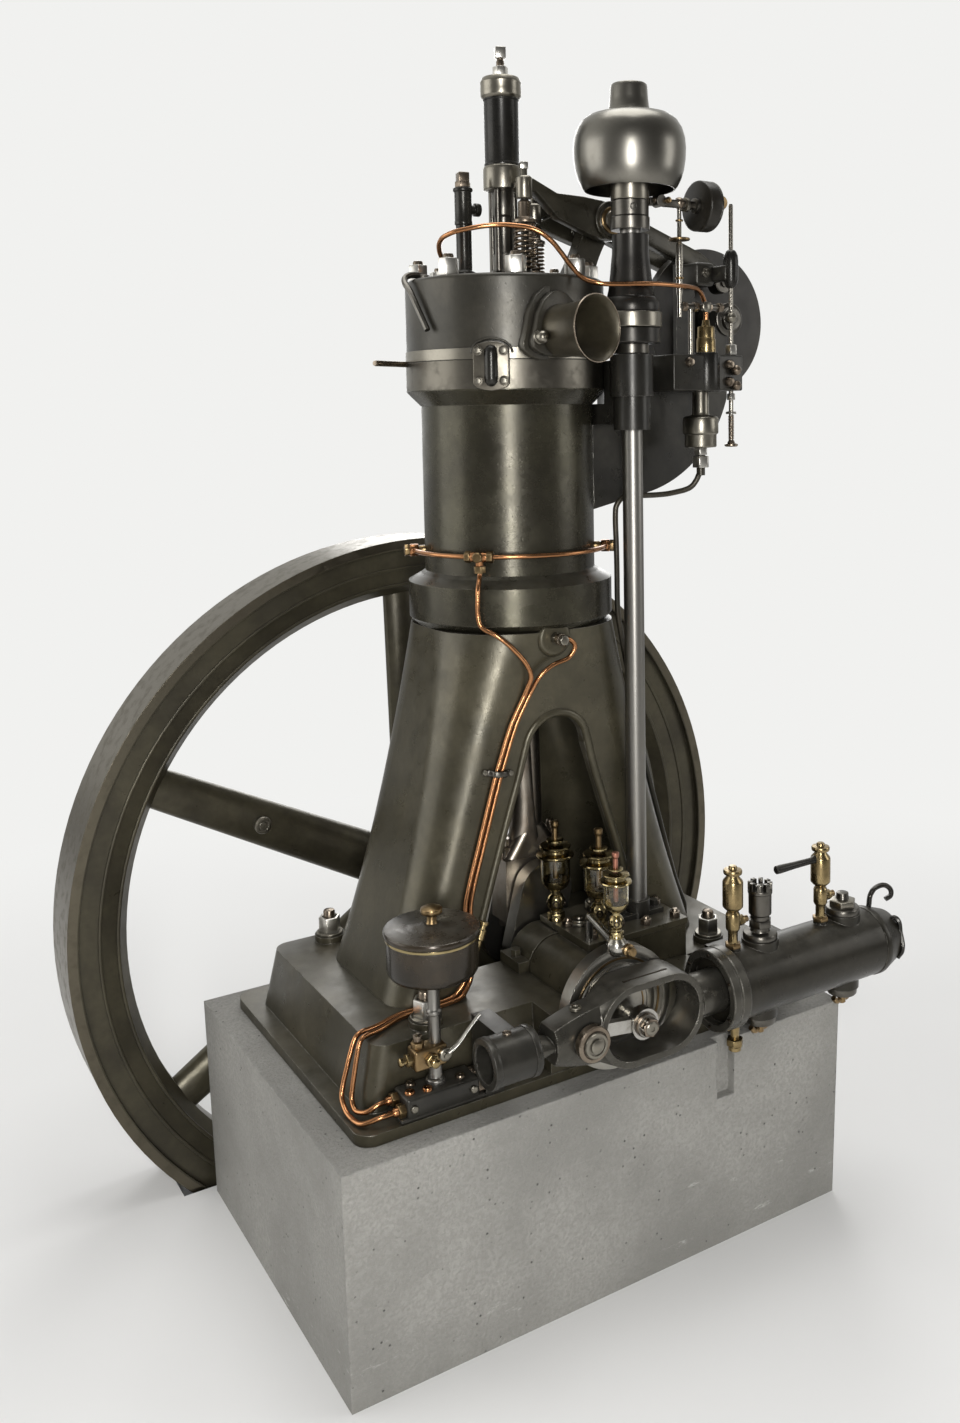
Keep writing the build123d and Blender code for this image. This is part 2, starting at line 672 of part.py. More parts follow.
def rocker_arms():
    """The two rockers side by side on their shaft."""
    front = rocker(front_rocker_y, front_valve_x, front_valve_y, head_top + front_valve_lift + seat_gap)
    side = rocker(side_valve_y, side_valve_x, side_valve_y, head_top + side_valve_lift + seat_gap)
    return Compound([front, side])


# Fuel pump and regulating rods
pump_x = 338.0
pump_y = -177.0
pump_cap_x = 346.0
pump_cap_y = -185.0
pump_left = 253.0
pump_right = 425.0
pump_face = -203.0
pump_low = jacket_top - 58
pump_high = jacket_top + 12
pump_tower_radius = 27.0
pump_tower_rise = 3.0
barrel_low = jacket_top - 135
cap_top = jacket_top + 79
link_x = 279.0
link_radius = 5.0
weight_z = jacket_top + 296
weight_left = 320.5
weight_width = 32.0
weight_radius = 48.0
lever_half = 7.0


def fuel_pump():
    """The fuel pump block on the bracket, with its barrel and delivery nuts."""
    body = slab(pump_left, pump_right, pump_face, bracket_front, pump_low, pump_high)
    steps = [(17.0, barrel_low - 35), (17.0, barrel_low - 20), (12.0, barrel_low - 18), (12.0, barrel_low),
             (31.0, barrel_low + 2), (31.0, barrel_low + 28), (35.0, barrel_low + 30), (35.0, barrel_low + 62),
             (16.0, barrel_low + 64), (16.0, pump_low)]
    body += turned(steps, pump_x, pump_y)
    return body + upright(pump_tower_radius, pump_low, pump_high + pump_tower_rise, pump_cap_x, pump_cap_y)


def pump_cap():
    """The brass cap on top of the fuel pump."""
    low = pump_high + pump_tower_rise
    return turned([(19.0, low), (19.0, low + 25), (17.0, low + 26), (17.0, cap_top - 12),
                   (9.0, cap_top - 11), (7.0, cap_top)], pump_cap_x, pump_cap_y)


def regulating_gear():
    """The governor's lever with its weight, the link rod and the lever's pin towards the hand rod."""
    y, right = governor_y, weight_left + weight_width
    lever = slab(governor_x + 41, weight_left + 2, y - lever_half, y + lever_half, weight_z - lever_half,
                 weight_z + lever_half)
    lever += lengthways(weight_radius, weight_left, right, y, weight_z)
    lever += lengthways(9.0, right - 1, rod_x - 6, y, weight_z)
    lever += upright(link_radius, pump_high, weight_z, link_x, y)
    lever += upright(13.0, weight_z - 68, weight_z - 63, link_x, y)
    return lever + upright(11.0, weight_z - 12, weight_z + 12, link_x, y)


def hand_rod():
    """The long thin rod at the right of the pump, with its guide sleeve, clamp, nuts and foot."""
    y = governor_y
    foot_low = jacket_top - 170
    rod = turned([(13.0, foot_low), (13.0, foot_low + 6), (5.0, foot_low + 7), (5.0, pump_low)], rod_x, y)
    upper = upright(5.0, pump_high, jacket_top + 312, rod_x, y)
    upper += turned([(8.0, rod_guide_low), (14.0, rod_guide_low + 8), (14.0, rod_guide_low + 52),
                     (10.0, rod_guide_low + 66)], rod_x, y)
    upper += prism(22.0, pump_high, pump_high + 18, rod_x, y)
    clamp_low, clamp_high = rod_guide_low + 4, rod_guide_low + 50
    upper += slab(rod_clamp_left, rod_clamp_right, rod_clamp_front, bracket_front, clamp_low, clamp_high)
    upper += slab(rod_clamp_right - 8, rod_x + 6, y, rod_clamp_front + 12, clamp_low + 8, clamp_high - 8)
    return Compound([rod, upper])


# Compressor on the front of the bed
compressor_left = 172.0
compressor_right = 622.0
compressor_radius = 66.0
compressor_ring_radius = 74.0
compressor_ring_width = 40.0
lubricator_x = (228.0, 448.0)
lubricator_seat = 6.0
yoke_half_height = 74.0
yoke_half_width = 35.0
yoke_wall = 12.0
opening_left = -79.0
opening_right = 122.0
yoke_left = -176.0
pocket_half_height = 56.0
rod_end_x = -75.0
rod_end_radius = 12.0
pocket_left = -166.0
pocket_half_width = 17.0
body_front = -max(body_depth, body_top_depth) / 2
foot_back = body_front - 8
flange_front = -flange_depth / 2
guide_foot_left = -250.0
guide_foot_right = -214.0
bracket_left = 250.0
bracket_right = 420.0
crown_x = 294.0
delivery_x = 507.0
drain_x = 232.0
handle_left = 333.0
handle_height = 195.0
crosshead_x = -112.0
tube_radius = 25.0
tube_left = -216.0
guide_left = -297.0
guide_right = -208.0
guide_radius = 41.0
plunger_radius = 40.0


def compressor_yoke():
    """The crosshead yoke: a long eye round the crank pin, a fork for the rod and a plunger."""
    middle = (opening_left + opening_right) / 2
    eye_length = opening_right - opening_left - 2 * (yoke_half_height - yoke_wall)
    outer = Pos(middle, crank_z) * SlotCenterToCenter(eye_length, 2 * yoke_half_height)
    inner = Pos(middle, crank_z) * SlotCenterToCenter(eye_length, 2 * (yoke_half_height - yoke_wall))
    front, back = compressor_y - yoke_half_width, compressor_y + yoke_half_width
    yoke = plate_xz(outer, front, back)
    yoke += slab(yoke_left, opening_left + 60, front + 3, back - 3, crank_z - 63, crank_z + 63)
    yoke += lengthways(tube_radius, tube_left, yoke_left + 1, compressor_y, crank_z)
    yoke += lengthways(plunger_radius, opening_right + yoke_wall - 4, compressor_left + 20, compressor_y, crank_z)
    yoke += crossways(30.0, front - 12, front + 10, crosshead_x, crank_z)
    yoke += crossways(22.0, front - 17, front - 11, crosshead_x, crank_z)
    yoke -= plate_xz(inner, front - 1, back + 1)
    return yoke - slab(pocket_left, middle, compressor_y - pocket_half_width, compressor_y + pocket_half_width,
                       crank_z - pocket_half_height, crank_z + pocket_half_height)


def compressor_rod():
    """The short rod from the disc's pin towards the yoke's crosshead pin."""
    front, back = compressor_y - compressor_rod_width / 2, compressor_y + compressor_rod_width / 2
    eye = crossways(compressor_eye_radius, front, back, disc_pin_x, disc_pin_z)
    tilt = atan2(disc_pin_z - crank_z, disc_pin_x - crosshead_x)
    end_z = disc_pin_z - (disc_pin_x - rod_end_x) * tan(tilt)
    small = crossways(rod_end_radius, front + 3, back - 3, rod_end_x, end_z)
    shank = Pos((disc_pin_x + rod_end_x) / 2, (front + back) / 2, (disc_pin_z + end_z) / 2)
    shank *= Rot(0, -degrees(tilt), 0) * Box(disc_pin_x - rod_end_x, compressor_rod_width - 6, 2 * rod_end_radius)
    rod = eye + small + shank
    return rod - crossways(compressor_pin_radius + running_fit, front - 1, back + 1, disc_pin_x, disc_pin_z)


def yoke_guide():
    """The open guide sleeve on the left, on its foot on the bed's flange."""
    guide = lengthways(guide_radius, guide_left, guide_right, compressor_y, crank_z)
    foot_front = flange_front + 2
    middle = (foot_front + foot_back) / 2
    guide += slab(guide_foot_left, guide_foot_right, compressor_y, middle, crank_z - 26, crank_z + 20)
    guide += slab(guide_foot_left, guide_foot_right, foot_front, foot_back, flange_top, crank_z + 20)
    guide -= lengthways(tube_radius + running_gap, guide_left - 1, guide_right + 1, compressor_y, crank_z)
    return guide


def compressor_cylinder():
    """The compressor's cylinder with its open guide ring, valve seats and bracket."""
    body = lengthways(compressor_radius, compressor_left + 20, compressor_right - 40, compressor_y, crank_z)
    body += lengthways(compressor_ring_radius, compressor_left, compressor_left + compressor_ring_width,
                       compressor_y, crank_z)
    end = Pos(compressor_right - 40, compressor_y, crank_z) * Rot(0, 90, 0)
    body += end * Cone(compressor_radius, compressor_radius - 14, 40, align=(Align.CENTER, Align.CENTER, Align.MIN))
    for x in (crown_x, delivery_x):
        body += upright(35.0, crank_z, crank_z + compressor_radius + 8, x, compressor_y)
        body += upright(33.0, crank_z - compressor_radius - 10, crank_z, x, compressor_y)
    for x in lubricator_x:
        body += upright(14.0, crank_z, crank_z + compressor_radius + lubricator_seat, x, compressor_y)
    foot_front = flange_front + 4
    middle = (foot_front + foot_back) / 2
    body += slab(bracket_left, bracket_right, compressor_y, middle, crank_z - 40, crank_z + 30)
    body += slab(bracket_left, bracket_right, foot_front, foot_back, flange_top, crank_z - 39)
    body -= lengthways(plunger_radius + seat_gap, compressor_left - 1, compressor_left + 60, compressor_y, crank_z)
    body -= lengthways(compressor_ring_radius - 14, compressor_left - 1, compressor_left + 16, compressor_y, crank_z)
    return body


def lubricator(x):
    """A brass cup lubricator on its stem, with a side plug."""
    low = crank_z + compressor_radius + lubricator_seat
    cup = turned([(10.0, low), (10.0, low + 30), (13.0, low + 37), (13.0, low + 66), (9.0, low + 67),
                  (19.0, low + 76), (19.0, low + 126), (11.0, low + 136), (17.0, low + 140), (17.0, low + 147),
                  (8.0, low + 150), (8.0, low + 154)], x, compressor_y)
    return cup + lengthways(7.0, x, x + 34, compressor_y, low + 46)


def compressor_lubricators():
    """The two lubricators, the right one with its long level handle."""
    left, right = [lubricator(x) for x in lubricator_x]
    handle = lengthways(8.0, handle_left, lubricator_x[1], compressor_y, crank_z + handle_height)
    return Compound([left, right + handle])


def compressor_valves():
    """The crowned suction valve, the delivery valve and the drain valve below."""
    top = crank_z + compressor_radius + 8
    crown = turned([(31.0, top), (31.0, top + 12), (17.0, top + 14), (17.0, top + 48), (21.0, top + 50),
                    (21.0, top + 88), (24.0, top + 92), (24.0, top + 108), (12.0, top + 109)], crown_x, compressor_y)
    delivery = turned([(32.0, top), (32.0, top + 14), (24.0, top + 16), (24.0, top + 26), (13.0, top + 28),
                       (13.0, top + 40)], delivery_x, compressor_y)
    low = crank_z - compressor_radius
    drain = turned([(12.0, low - 62), (15.0, low - 60), (15.0, low - 44), (9.0, low - 42), (9.0, low + 2)],
                   drain_x, compressor_y)
    drain -= lengthways(compressor_radius + seat_gap, compressor_left, drain_x + 28, compressor_y, crank_z)
    cover = [(25.0, low - 24), (29.0, low - 22), (29.0, low - 10.0)]
    covers = [turned(cover, x, compressor_y) for x in (crown_x, delivery_x)]
    return Compound([crown, delivery, drain] + covers)


# Oil tank and pump on the left
tank_x = -330.0
tank_y = -288.0
tank_radius = 78.0
tank_low = flange_top + 230.5
tank_high = flange_top + 303.5
tank_wall = 3.0
oil_pump_left = -398.0
oil_pump_right = -262.0
oil_pump_front = flange_front + 1
oil_pump_back = body_front - 2
oil_pump_high = flange_top + 40


def oil_tank():
    """The round oil tank, an open shell with a rounded bottom edge and a brass spout."""
    outline = Polyline((0, 0, tank_low), (tank_radius - 12, 0, tank_low), (tank_radius, 0, tank_low + 12),
                       (tank_radius, 0, tank_high), (tank_radius - tank_wall, 0, tank_high),
                       (tank_radius - tank_wall, 0, tank_low + 13), (tank_radius - 13, 0, tank_low + tank_wall),
                       (0, 0, tank_low + tank_wall), close=True)
    tank = Pos(tank_x, tank_y, 0) * revolve(make_face(outline), Axis.Z)
    spout = Pos(tank_x + tank_radius + 6, tank_y, tank_high - 36) * Rot(0, 25, 0) * Cylinder(7.5, 44)
    return tank + spout + lengthways(6.0, tank_x + tank_radius - 2, tank_x + tank_radius + 6, tank_y, tank_high - 22)


def tank_lid():
    """The lid of the oil tank with its turned knob."""
    return turned([(tank_radius + 3, tank_high), (tank_radius + 3, tank_high + 9), (tank_radius, tank_high + 13),
                   (15.0, tank_high + 14), (9.0, tank_high + 18), (9.0, tank_high + 32), (19.0, tank_high + 38),
                   (14.0, tank_high + 46), (0.1, tank_high + 47)], tank_x, tank_y)


def tank_stand():
    """The stem under the tank with the brass valve and its lever."""
    stem = turned([(17.0, oil_pump_high), (17.0, oil_pump_high + 8), (11.0, oil_pump_high + 10), (11.0, tank_low)],
                  tank_x, tank_y)
    stem += crossways(12.0, tank_y - 26, tank_y + 16, tank_x - 8, oil_pump_high + 62)
    lever = Pos(tank_x + 36, tank_y - 20, oil_pump_high + 78) * Rot(0, 65, 0) * Cylinder(5.0, 78)
    return stem + lever + upright(9.0, oil_pump_high + 60, oil_pump_high + 84, tank_x - 16, tank_y + 8)


def oil_pump():
    """The pump block under the tank, with its two plunger rods to the yoke."""
    block = slab(oil_pump_left, oil_pump_right, oil_pump_front, oil_pump_back, flange_top, oil_pump_high)
    for y, z in ((oil_pump_front + 14, flange_top + 18), (oil_pump_back - 14, flange_top + 26)):
        block += lengthways(11.0, oil_pump_right - 1, oil_pump_right + 10, y, z)
        block += lengthways(10.0, oil_pump_left - 18, oil_pump_left + 1, y, z)
        block += lengthways(4.5, oil_pump_right, oil_pump_right + 10, y, z)
    return block


# Sight feed oilers over the bearings
oiler_height = 146.0


def sight_oiler(x, y, low):
    """A drip oiler: foot nut, sight ring, glass cup with its cap and the needle spindle."""
    return turned([(11.0, low), (11.0, low + 10), (8.0, low + 11), (11.0, low + 18), (11.0, low + 34),
                   (8.0, low + 40), (19.0, low + 50), (22.0, low + 58), (22.0, low + 92), (26.0, low + 94),
                   (26.0, low + 101), (18.0, low + 104), (20.0, low + 110), (7.0, low + 113), (4.0, low + 116),
                   (4.0, low + 134), (6.0, low + 136), (6.0, low + oiler_height)], x, y)


oiler_arm_z = crank_z + disc_radius + 15
ball_x = -20.0
ball_y = -385.0
ball_flat = 16.0


def oiler_arm():
    """The arm over the disc that carries the third oiler, ending in a ball."""
    arm = pipe([(case_left + 12, -240.0, plate_top), (case_left + 12, -240.0, oiler_arm_z),
                (ball_x, ball_y, oiler_arm_z)], 8.0, 12.0)
    ball = Pos(ball_x, ball_y, oiler_arm_z) * Sphere(19.0)
    return arm + ball - upright(19.0, oiler_arm_z + ball_flat, oiler_arm_z + 20, ball_x, ball_y)


# Bolts
def foundation_bolts():
    """Four foundation bolts with hexagon nuts on the bed's bosses."""
    bolts = []
    for x in (-bolt_x, bolt_x):
        for y in (-bolt_y, bolt_y):
            low = bed_top + bolt_boss_height
            nut = upright(25.0, low, low + 4, x, y) + prism(38.0, low + 3.9, low + 34, x, y)
            bolts.append(nut + upright(12.0, low + 30, low + 48, x, y))
    return Compound(bolts)


# Pipes
ring_pipe_z = frame_top + 142
ring_pipe_radius = 188.0
copper_radius = 4.5
fuel_pipe_radius = 5.5
tee_angle = 223.0
on_bed = bed_top + copper_radius + seat_gap
on_flange = flange_top + copper_radius + seat_gap
feed_low = flange_top + 18
feed_high = flange_top + 26
cover_angle = 232.6
cover_width = 66.0
cover_height = 88.0
cover_drop = 12.0
cover_thickness = 30.0


def jacket_ring_pipe():
    """The copper pipe round the front of the jacket, with its tee and end fittings."""
    start, end = 160.0, 325.0
    arc = CenterArc((0, 0, ring_pipe_z), ring_pipe_radius, start, end - start)
    ring = sweep(Plane(origin=arc @ 0, z_dir=arc % 0) * Circle(copper_radius), path=arc)
    for angle in (start, end):
        fitting = Rot(0, 0, angle) * lengthways(9.0, jacket_radius + seat_gap, ring_pipe_radius + 10, 0, ring_pipe_z)
        ring += fitting
    x, y = ring_pipe_radius * cos(radians(tee_angle)), ring_pipe_radius * sin(radians(tee_angle))
    ring += upright(9.0, ring_pipe_z - 24, ring_pipe_z + 9, x, y)
    return ring + Pos(x, y, ring_pipe_z) * Rot(0, 0, tee_angle) * Rot(90, 0, 0) * Cylinder(9.0, 44)


def jacket_feed_pipe():
    """The oil pipe from the tee on the jacket down the frame and round the bed to the oil pump."""
    tee = radians(tee_angle)
    x, y = ring_pipe_radius * cos(tee), ring_pipe_radius * sin(tee)
    return pipe([(x, y, ring_pipe_z - 24), (x, y, ring_pipe_z - 35), (-152, -146, ring_pipe_z - 57),
                 (-152, -146, frame_top + 17), (-128, -172, frame_top + 1), (-107, -181, frame_top - 18),
                 (-80, -190, frame_top - 50), (-62, -190, frame_top - 82), (-62, -186, frame_top - 114),
                 (-106, -172, bed_top + 404), (-160, -170, bed_top + 164), (-207, -170, bed_top + 33),
                 (-232, -170, on_bed), (-345, -172, on_bed), (-400, -193, on_bed), (-438, -204, on_bed + 5),
                 (-454, -209, bed_top - 27), (-474, -215, flange_top + 23.5), (-475, -244, on_flange), (-470, -288, on_flange), (-440, -305, feed_low),
                 (oil_pump_left - 18, -305, feed_low)], copper_radius, 18.0)


def frame_feed_pipe():
    """The oil pipe beside it, from the boss at the top of the frame to the oil pump's second outlet."""
    boss_x, boss_z = -14.0, frame_top - 13
    run = pipe([(boss_x, -202, boss_z), (6, -203, boss_z), (23, -202, frame_top - 29), (10, -198, frame_top - 52),
                (-24, -194, frame_top - 60), (-46, -190, frame_top - 79), (-50, -186, frame_top - 114),
                (-94, -172, bed_top + 404), (-147, -170, bed_top + 164), (-192, -172, bed_top + 39),
                (-222, -182, on_bed), (-345, -183, on_bed), (-396, -206, on_bed), (-438, -222, on_bed + 5),
                (-449, -227, bed_top - 27), (-462, -233, flange_top + 23.5), (-463, -250, flange_top + 9.5),
                (-452, -272, flange_top + 13.5), (-432, -278, feed_high),
                (oil_pump_left - 18, -278, feed_high)], copper_radius, 18.0)
    return run + crossways(10.0, -206, -186, boss_x, boss_z)


def head_pipe():
    """The copper pipe from a fitting on the head over to the brass cap of the fuel pump."""
    run = pipe([(-134, -5, head_top + 20), (-134, -5, head_top + 32), (-155, -25, head_top + 55),
                (-159, -60, head_top + 74), (-134, -95, head_top + 80), (-93, -125, head_top + 87),
                (-20, -150, head_top + 80), (6, -166, head_top + 60), (28, -186, head_top + 22),
                (47, -205, head_top - 10), (64, -226, head_top - 20), (100, -238, head_top - 20),
                (185, -240, head_top - 18), (250, -226, head_top - 18), (306, -206, head_top - 18),
                (pump_cap_x, pump_cap_y, cap_top + 34), (pump_cap_x, pump_cap_y, cap_top)], copper_radius, 22.0)
    return run + upright(11.0, head_top, head_top + 24, -134, -5)


def fuel_pipe():
    """The black pipe from the fuel pump's lowest nut across to the frame and down its right side."""
    return pipe([(pump_x, pump_y, barrel_low - 35), (pump_x, pump_y, barrel_low - 82),
                 (pump_x - 14, -167, barrel_low - 114), (277, -150, barrel_low - 125), (166, -150, barrel_low - 125),
                 (152, -147, barrel_low - 143), (158, -141, frame_top + 112), (166, -130, frame_top + 7),
                 (252, -96, bed_top + 352), (333, -90, bed_top + 80), (358, -88, bed_top + 23), (358, -88, bed_top)],
                fuel_pipe_radius, 26.0)


def water_cover():
    """The oval cover over the water passage between the jacket and the head, with its four screws."""
    outline = RectangleRounded(cover_width, cover_height, cover_width / 2 - 6)
    cover = extrude(outline, cover_thickness)
    cover += Pos(0, 0, cover_thickness) * Rot(90, 0, 0) * Cylinder(14.0, cover_height - 34)
    for x in (-cover_width / 2 + 10, cover_width / 2 - 10):
        for y in (-cover_height / 2 + 17, cover_height / 2 - 17):
            cover += Pos(x, y, cover_thickness) * Cylinder(6.0, 10)
    centre_z = jacket_top - cover_drop
    upright_face = Plane(origin=(flange_radius - 16, 0, centre_z), x_dir=(0, 1, 0), z_dir=(1, 0, 0))
    cover = Rot(0, 0, cover_angle) * (upright_face * cover)
    cover -= upright(flange_radius + seat_gap, jacket_top - flange_height - 10, jacket_top)
    return cover - upright(head_radius + seat_gap, jacket_top, head_top)


def filler_cap():
    """The round cap on the gear case's plate."""
    return turned([(27.0, plate_top), (27.0, plate_top + 14), (22.0, plate_top + 18), (8.0, plate_top + 18),
                   (8.0, plate_top + 26)], 120.0, -118.0)


pieces = {
    "foundation_block": foundation_block(),
    "bed_plate": bed_plate(),
    "a_frame": a_frame(),
    "cylinder_jacket": cylinder_jacket(),
    "cylinder_head": cylinder_head(),
    "intake_horn": intake_horn(),
    "head_nuts": head_nuts(),
    "flywheel": flywheel(),
    "crankshaft": crankshaft(),
    "crank_disc": crank_disc(),
    "connecting_rod": connecting_rod(),
    "main_bearing_caps": main_bearing_caps(),
    "gear_case": gear_case(),
    "foot_bearing": foot_bearing(),
    "vertical_shaft": vertical_shaft(),
    "governor_bell": governor_bell(),
    "governor_sleeve": governor_sleeve(),
    "governor_bracket": governor_bracket(),
    "gear_drum": gear_drum(),
    "camshaft": camshaft(),
    "fuel_valve": fuel_valve(),
    "starting_valve": starting_valve(),
    "sprung_valves": valves(),
    "rocker_bracket": rocker_bracket(),
    "rocker_arms": rocker_arms(),
    "fuel_pump": fuel_pump(),
    "pump_cap": pump_cap(),
    "regulating_gear": regulating_gear(),
    "hand_rod": hand_rod(),
    "compressor_yoke": compressor_yoke(),
    "compressor_rod": compressor_rod(),
    "yoke_guide": yoke_guide(),
    "compressor_cylinder": compressor_cylinder(),
    "compressor_lubricators": compressor_lubricators(),
    "compressor_valves": compressor_valves(),
    "oil_tank": oil_tank(),
    "tank_lid": tank_lid(),
    "tank_stand": tank_stand(),
    "oil_pump": oil_pump(),
    "bearing_oilers": Compound([sight_oiler(20.0, -118.0, plate_top), sight_oiler(64.0, -205.0, plate_top)]),
    "disc_oiler": sight_oiler(ball_x, ball_y, oiler_arm_z + ball_flat),
    "oiler_arm": oiler_arm(),
    "foundation_bolts": foundation_bolts(),
    "jacket_ring_pipe": jacket_ring_pipe(),
    "jacket_feed_pipe": jacket_feed_pipe(),
    "frame_feed_pipe": frame_feed_pipe(),
    "head_pipe": head_pipe(),
    "fuel_pipe": fuel_pipe(),
    "water_cover": water_cover(),
    "filler_cap": filler_cap(),
}

os.makedirs("parts", exist_ok=True)
for name, shape in pieces.items():
    export_step(shape, "parts/" + name + ".step")
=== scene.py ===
"""Small upright diesel engine, dressed for its portrait.

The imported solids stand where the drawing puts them. This file gives each one its finish, swaps the
plainest for worked pieces, adds the fittings that are too small for the drawing, and sets up the
floor, the lamps and the camera. Lengths are in metres, in the frame of the solids.
"""

from __future__ import annotations

import logging
import math
from dataclasses import dataclass, field
from enum import Enum
from typing import Callable

import bpy
from mathutils import Matrix, Vector


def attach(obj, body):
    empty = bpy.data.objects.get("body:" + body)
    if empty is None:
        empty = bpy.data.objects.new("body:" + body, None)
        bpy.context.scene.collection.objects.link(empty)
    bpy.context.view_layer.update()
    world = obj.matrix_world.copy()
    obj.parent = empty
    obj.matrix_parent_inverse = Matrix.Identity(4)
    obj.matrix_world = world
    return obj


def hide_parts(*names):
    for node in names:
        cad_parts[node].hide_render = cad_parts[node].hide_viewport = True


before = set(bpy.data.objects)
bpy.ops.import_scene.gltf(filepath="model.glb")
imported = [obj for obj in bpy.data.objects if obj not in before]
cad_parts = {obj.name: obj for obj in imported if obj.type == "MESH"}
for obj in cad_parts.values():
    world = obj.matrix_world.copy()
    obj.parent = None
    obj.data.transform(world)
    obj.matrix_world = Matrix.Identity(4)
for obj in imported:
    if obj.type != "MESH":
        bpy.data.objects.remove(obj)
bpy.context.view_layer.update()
LOG = logging.getLogger("diesel_engine")

Point = tuple[float, float, float]
Colour = tuple[float, float, float]
Socket = bpy.types.NodeSocket


class Body(str, Enum):
    """The moving bodies of the engine that a piece can ride on."""

    ENGINE = "engine"
    CRANK = "crank"
    ROD = "rod"
    LINK = "compressor_link"
    GOVERNOR = "governor"


class Facing(Enum):
    """The direction in which a turned or hexagonal piece stands."""

    UP = (0.0, 0.0, 1.0)
    DOWN = (0.0, 0.0, -1.0)
    FRONT = (0.0, -1.0, 0.0)
    BACK = (0.0, 1.0, 0.0)
    LEFT = (-1.0, 0.0, 0.0)
    RIGHT = (1.0, 0.0, 0.0)


@dataclass
class Wiring:
    """A node tree that is wired by short calls.

    Attributes:
        tree: The node tree of a material, a world or a group.
    """

    tree: bpy.types.NodeTree

    def node(self, kind: str, **settings: object) -> bpy.types.Node:
        """Add a node.

        Args:
            kind: The node's type name.
            settings: Attributes to set on it.

        Returns:
            The new node.
        """
        made = self.tree.nodes.new(kind)
        for key, value in settings.items():
            setattr(made, key, value)
        return made

    def feed(self, target: Socket, source: object) -> None:
        """Link a socket to a source, or set it where the source is a plain value."""
        if isinstance(source, bpy.types.NodeSocket):
            self.tree.links.new(source, target)
        elif isinstance(source, tuple) and len(source) == 3 and target.type == "RGBA":
            target.default_value = (*source, 1.0)
        else:
            target.default_value = source

    def place(self) -> Socket:
        """Return the object coordinates, which are metres from the engine's origin."""
        return self.node("ShaderNodeTexCoord").outputs["Object"]

    def stretch(self, source: Socket, scale: Point, move: Point = (0.0, 0.0, 0.0)) -> Socket:
        """Stretch a vector.

        Args:
            source: The vector.
            scale: Factors along the three axes.
            move: An offset added after scaling.

        Returns:
            The stretched vector.
        """
        made = self.node("ShaderNodeMapping")
        self.feed(made.inputs["Vector"], source)
        made.inputs["Scale"].default_value = scale
        made.inputs["Location"].default_value = move
        return made.outputs["Vector"]

    def noise(self, source: Socket, scale: object, detail: float = 4.0, rough: float = 0.55) -> Socket:
        """Add a fractal noise.

        Args:
            source: The coordinates.
            scale: Features per metre, a number or a socket.
            detail: Octaves.
            rough: How much the fine octaves count.

        Returns:
            The noise value, about 0 to 1.
        """
        made = self.node("ShaderNodeTexNoise")
        self.feed(made.inputs["Vector"], source)
        self.feed(made.inputs["Scale"], scale)
        made.inputs["Detail"].default_value = detail
        made.inputs["Roughness"].default_value = rough
        return made.outputs["Fac"]

    def cells(self, source: Socket, scale: object) -> Socket:
        """Add a cell pattern and return the distance to each cell's middle."""
        made = self.node("ShaderNodeTexVoronoi")
        self.feed(made.inputs["Vector"], source)
        self.feed(made.inputs["Scale"], scale)
        return made.outputs["Distance"]

    def calc(self, kind: str, first: object, second: object = 0.5, clamp: bool = False) -> Socket:
        """Add a Math node.

        Args:
            kind: The operation.
            first: The first value or socket.
            second: The second value or socket.
            clamp: Whether the result is held between 0 and 1.

        Returns:
            The result.
        """
        made = self.node("ShaderNodeMath", operation=kind, use_clamp=clamp)
        self.feed(made.inputs[0], first)
        self.feed(made.inputs[1], second)
        return made.outputs[0]

    def vector(self, kind: str, first: object, second: object = (0.0, 0.0, 0.0)) -> bpy.types.Node:
        """Add a Vector Math node and return it."""
        made = self.node("ShaderNodeVectorMath", operation=kind)
        self.feed(made.inputs[0], first)
        self.feed(made.inputs[1], second)
        return made

    def spread(self, source: object, low: object, high: object, to: tuple[float, float] = (0.0,
                                                                                           1.0)) -> Socket:
        """Map a range smoothly onto another.

        Args:
            source: The value.
            low: The value that becomes the first end.
            high: The value that becomes the second end.
            to: The two ends.

        Returns:
            The mapped value, held between the ends.
        """
        made = self.node("ShaderNodeMapRange", interpolation_type="SMOOTHSTEP")
        self.feed(made.inputs["Value"], source)
        self.feed(made.inputs["From Min"], low)
        self.feed(made.inputs["From Max"], high)
        made.inputs["To Min"].default_value, made.inputs["To Max"].default_value = to
        return made.outputs["Result"]

    def blend(self, mask: object, under: object, over: object, kind: str = "MIX") -> Socket:
        """Mix two colours.

        Args:
            mask: How much of the second colour shows.
            under: The first colour.
            over: The second colour.
            kind: The blend mode.

        Returns:
            The mixed colour.
        """
        made = self.node("ShaderNodeMix", data_type="RGBA", blend_type=kind)
        self.feed(made.inputs[0], mask)
        self.feed(made.inputs[6], under)
        self.feed(made.inputs[7], over)
        return made.outputs[2]

    def mix(self, mask: object, under: object, over: object) -> Socket:
        """Mix two numbers by a mask and return the result."""
        made = self.node("ShaderNodeMix", data_type="FLOAT")
        self.feed(made.inputs[0], mask)
        self.feed(made.inputs[2], under)
        self.feed(made.inputs[3], over)
        return made.outputs[0]

    def bump(self, height: Socket, depth: float, normal: object = None) -> Socket:
        """Turn a height into a normal.

        Args:
            height: The height, 0 to 1.
            depth: The real depth of the relief in metres.
            normal: The normal that it is laid over.

        Returns:
            The bent normal.
        """
        made = self.node("ShaderNodeBump")
        made.inputs["Distance"].default_value = depth
        self.feed(made.inputs["Height"], height)
        if normal is not None:
            self.feed(made.inputs["Normal"], normal)
        return made.outputs["Normal"]

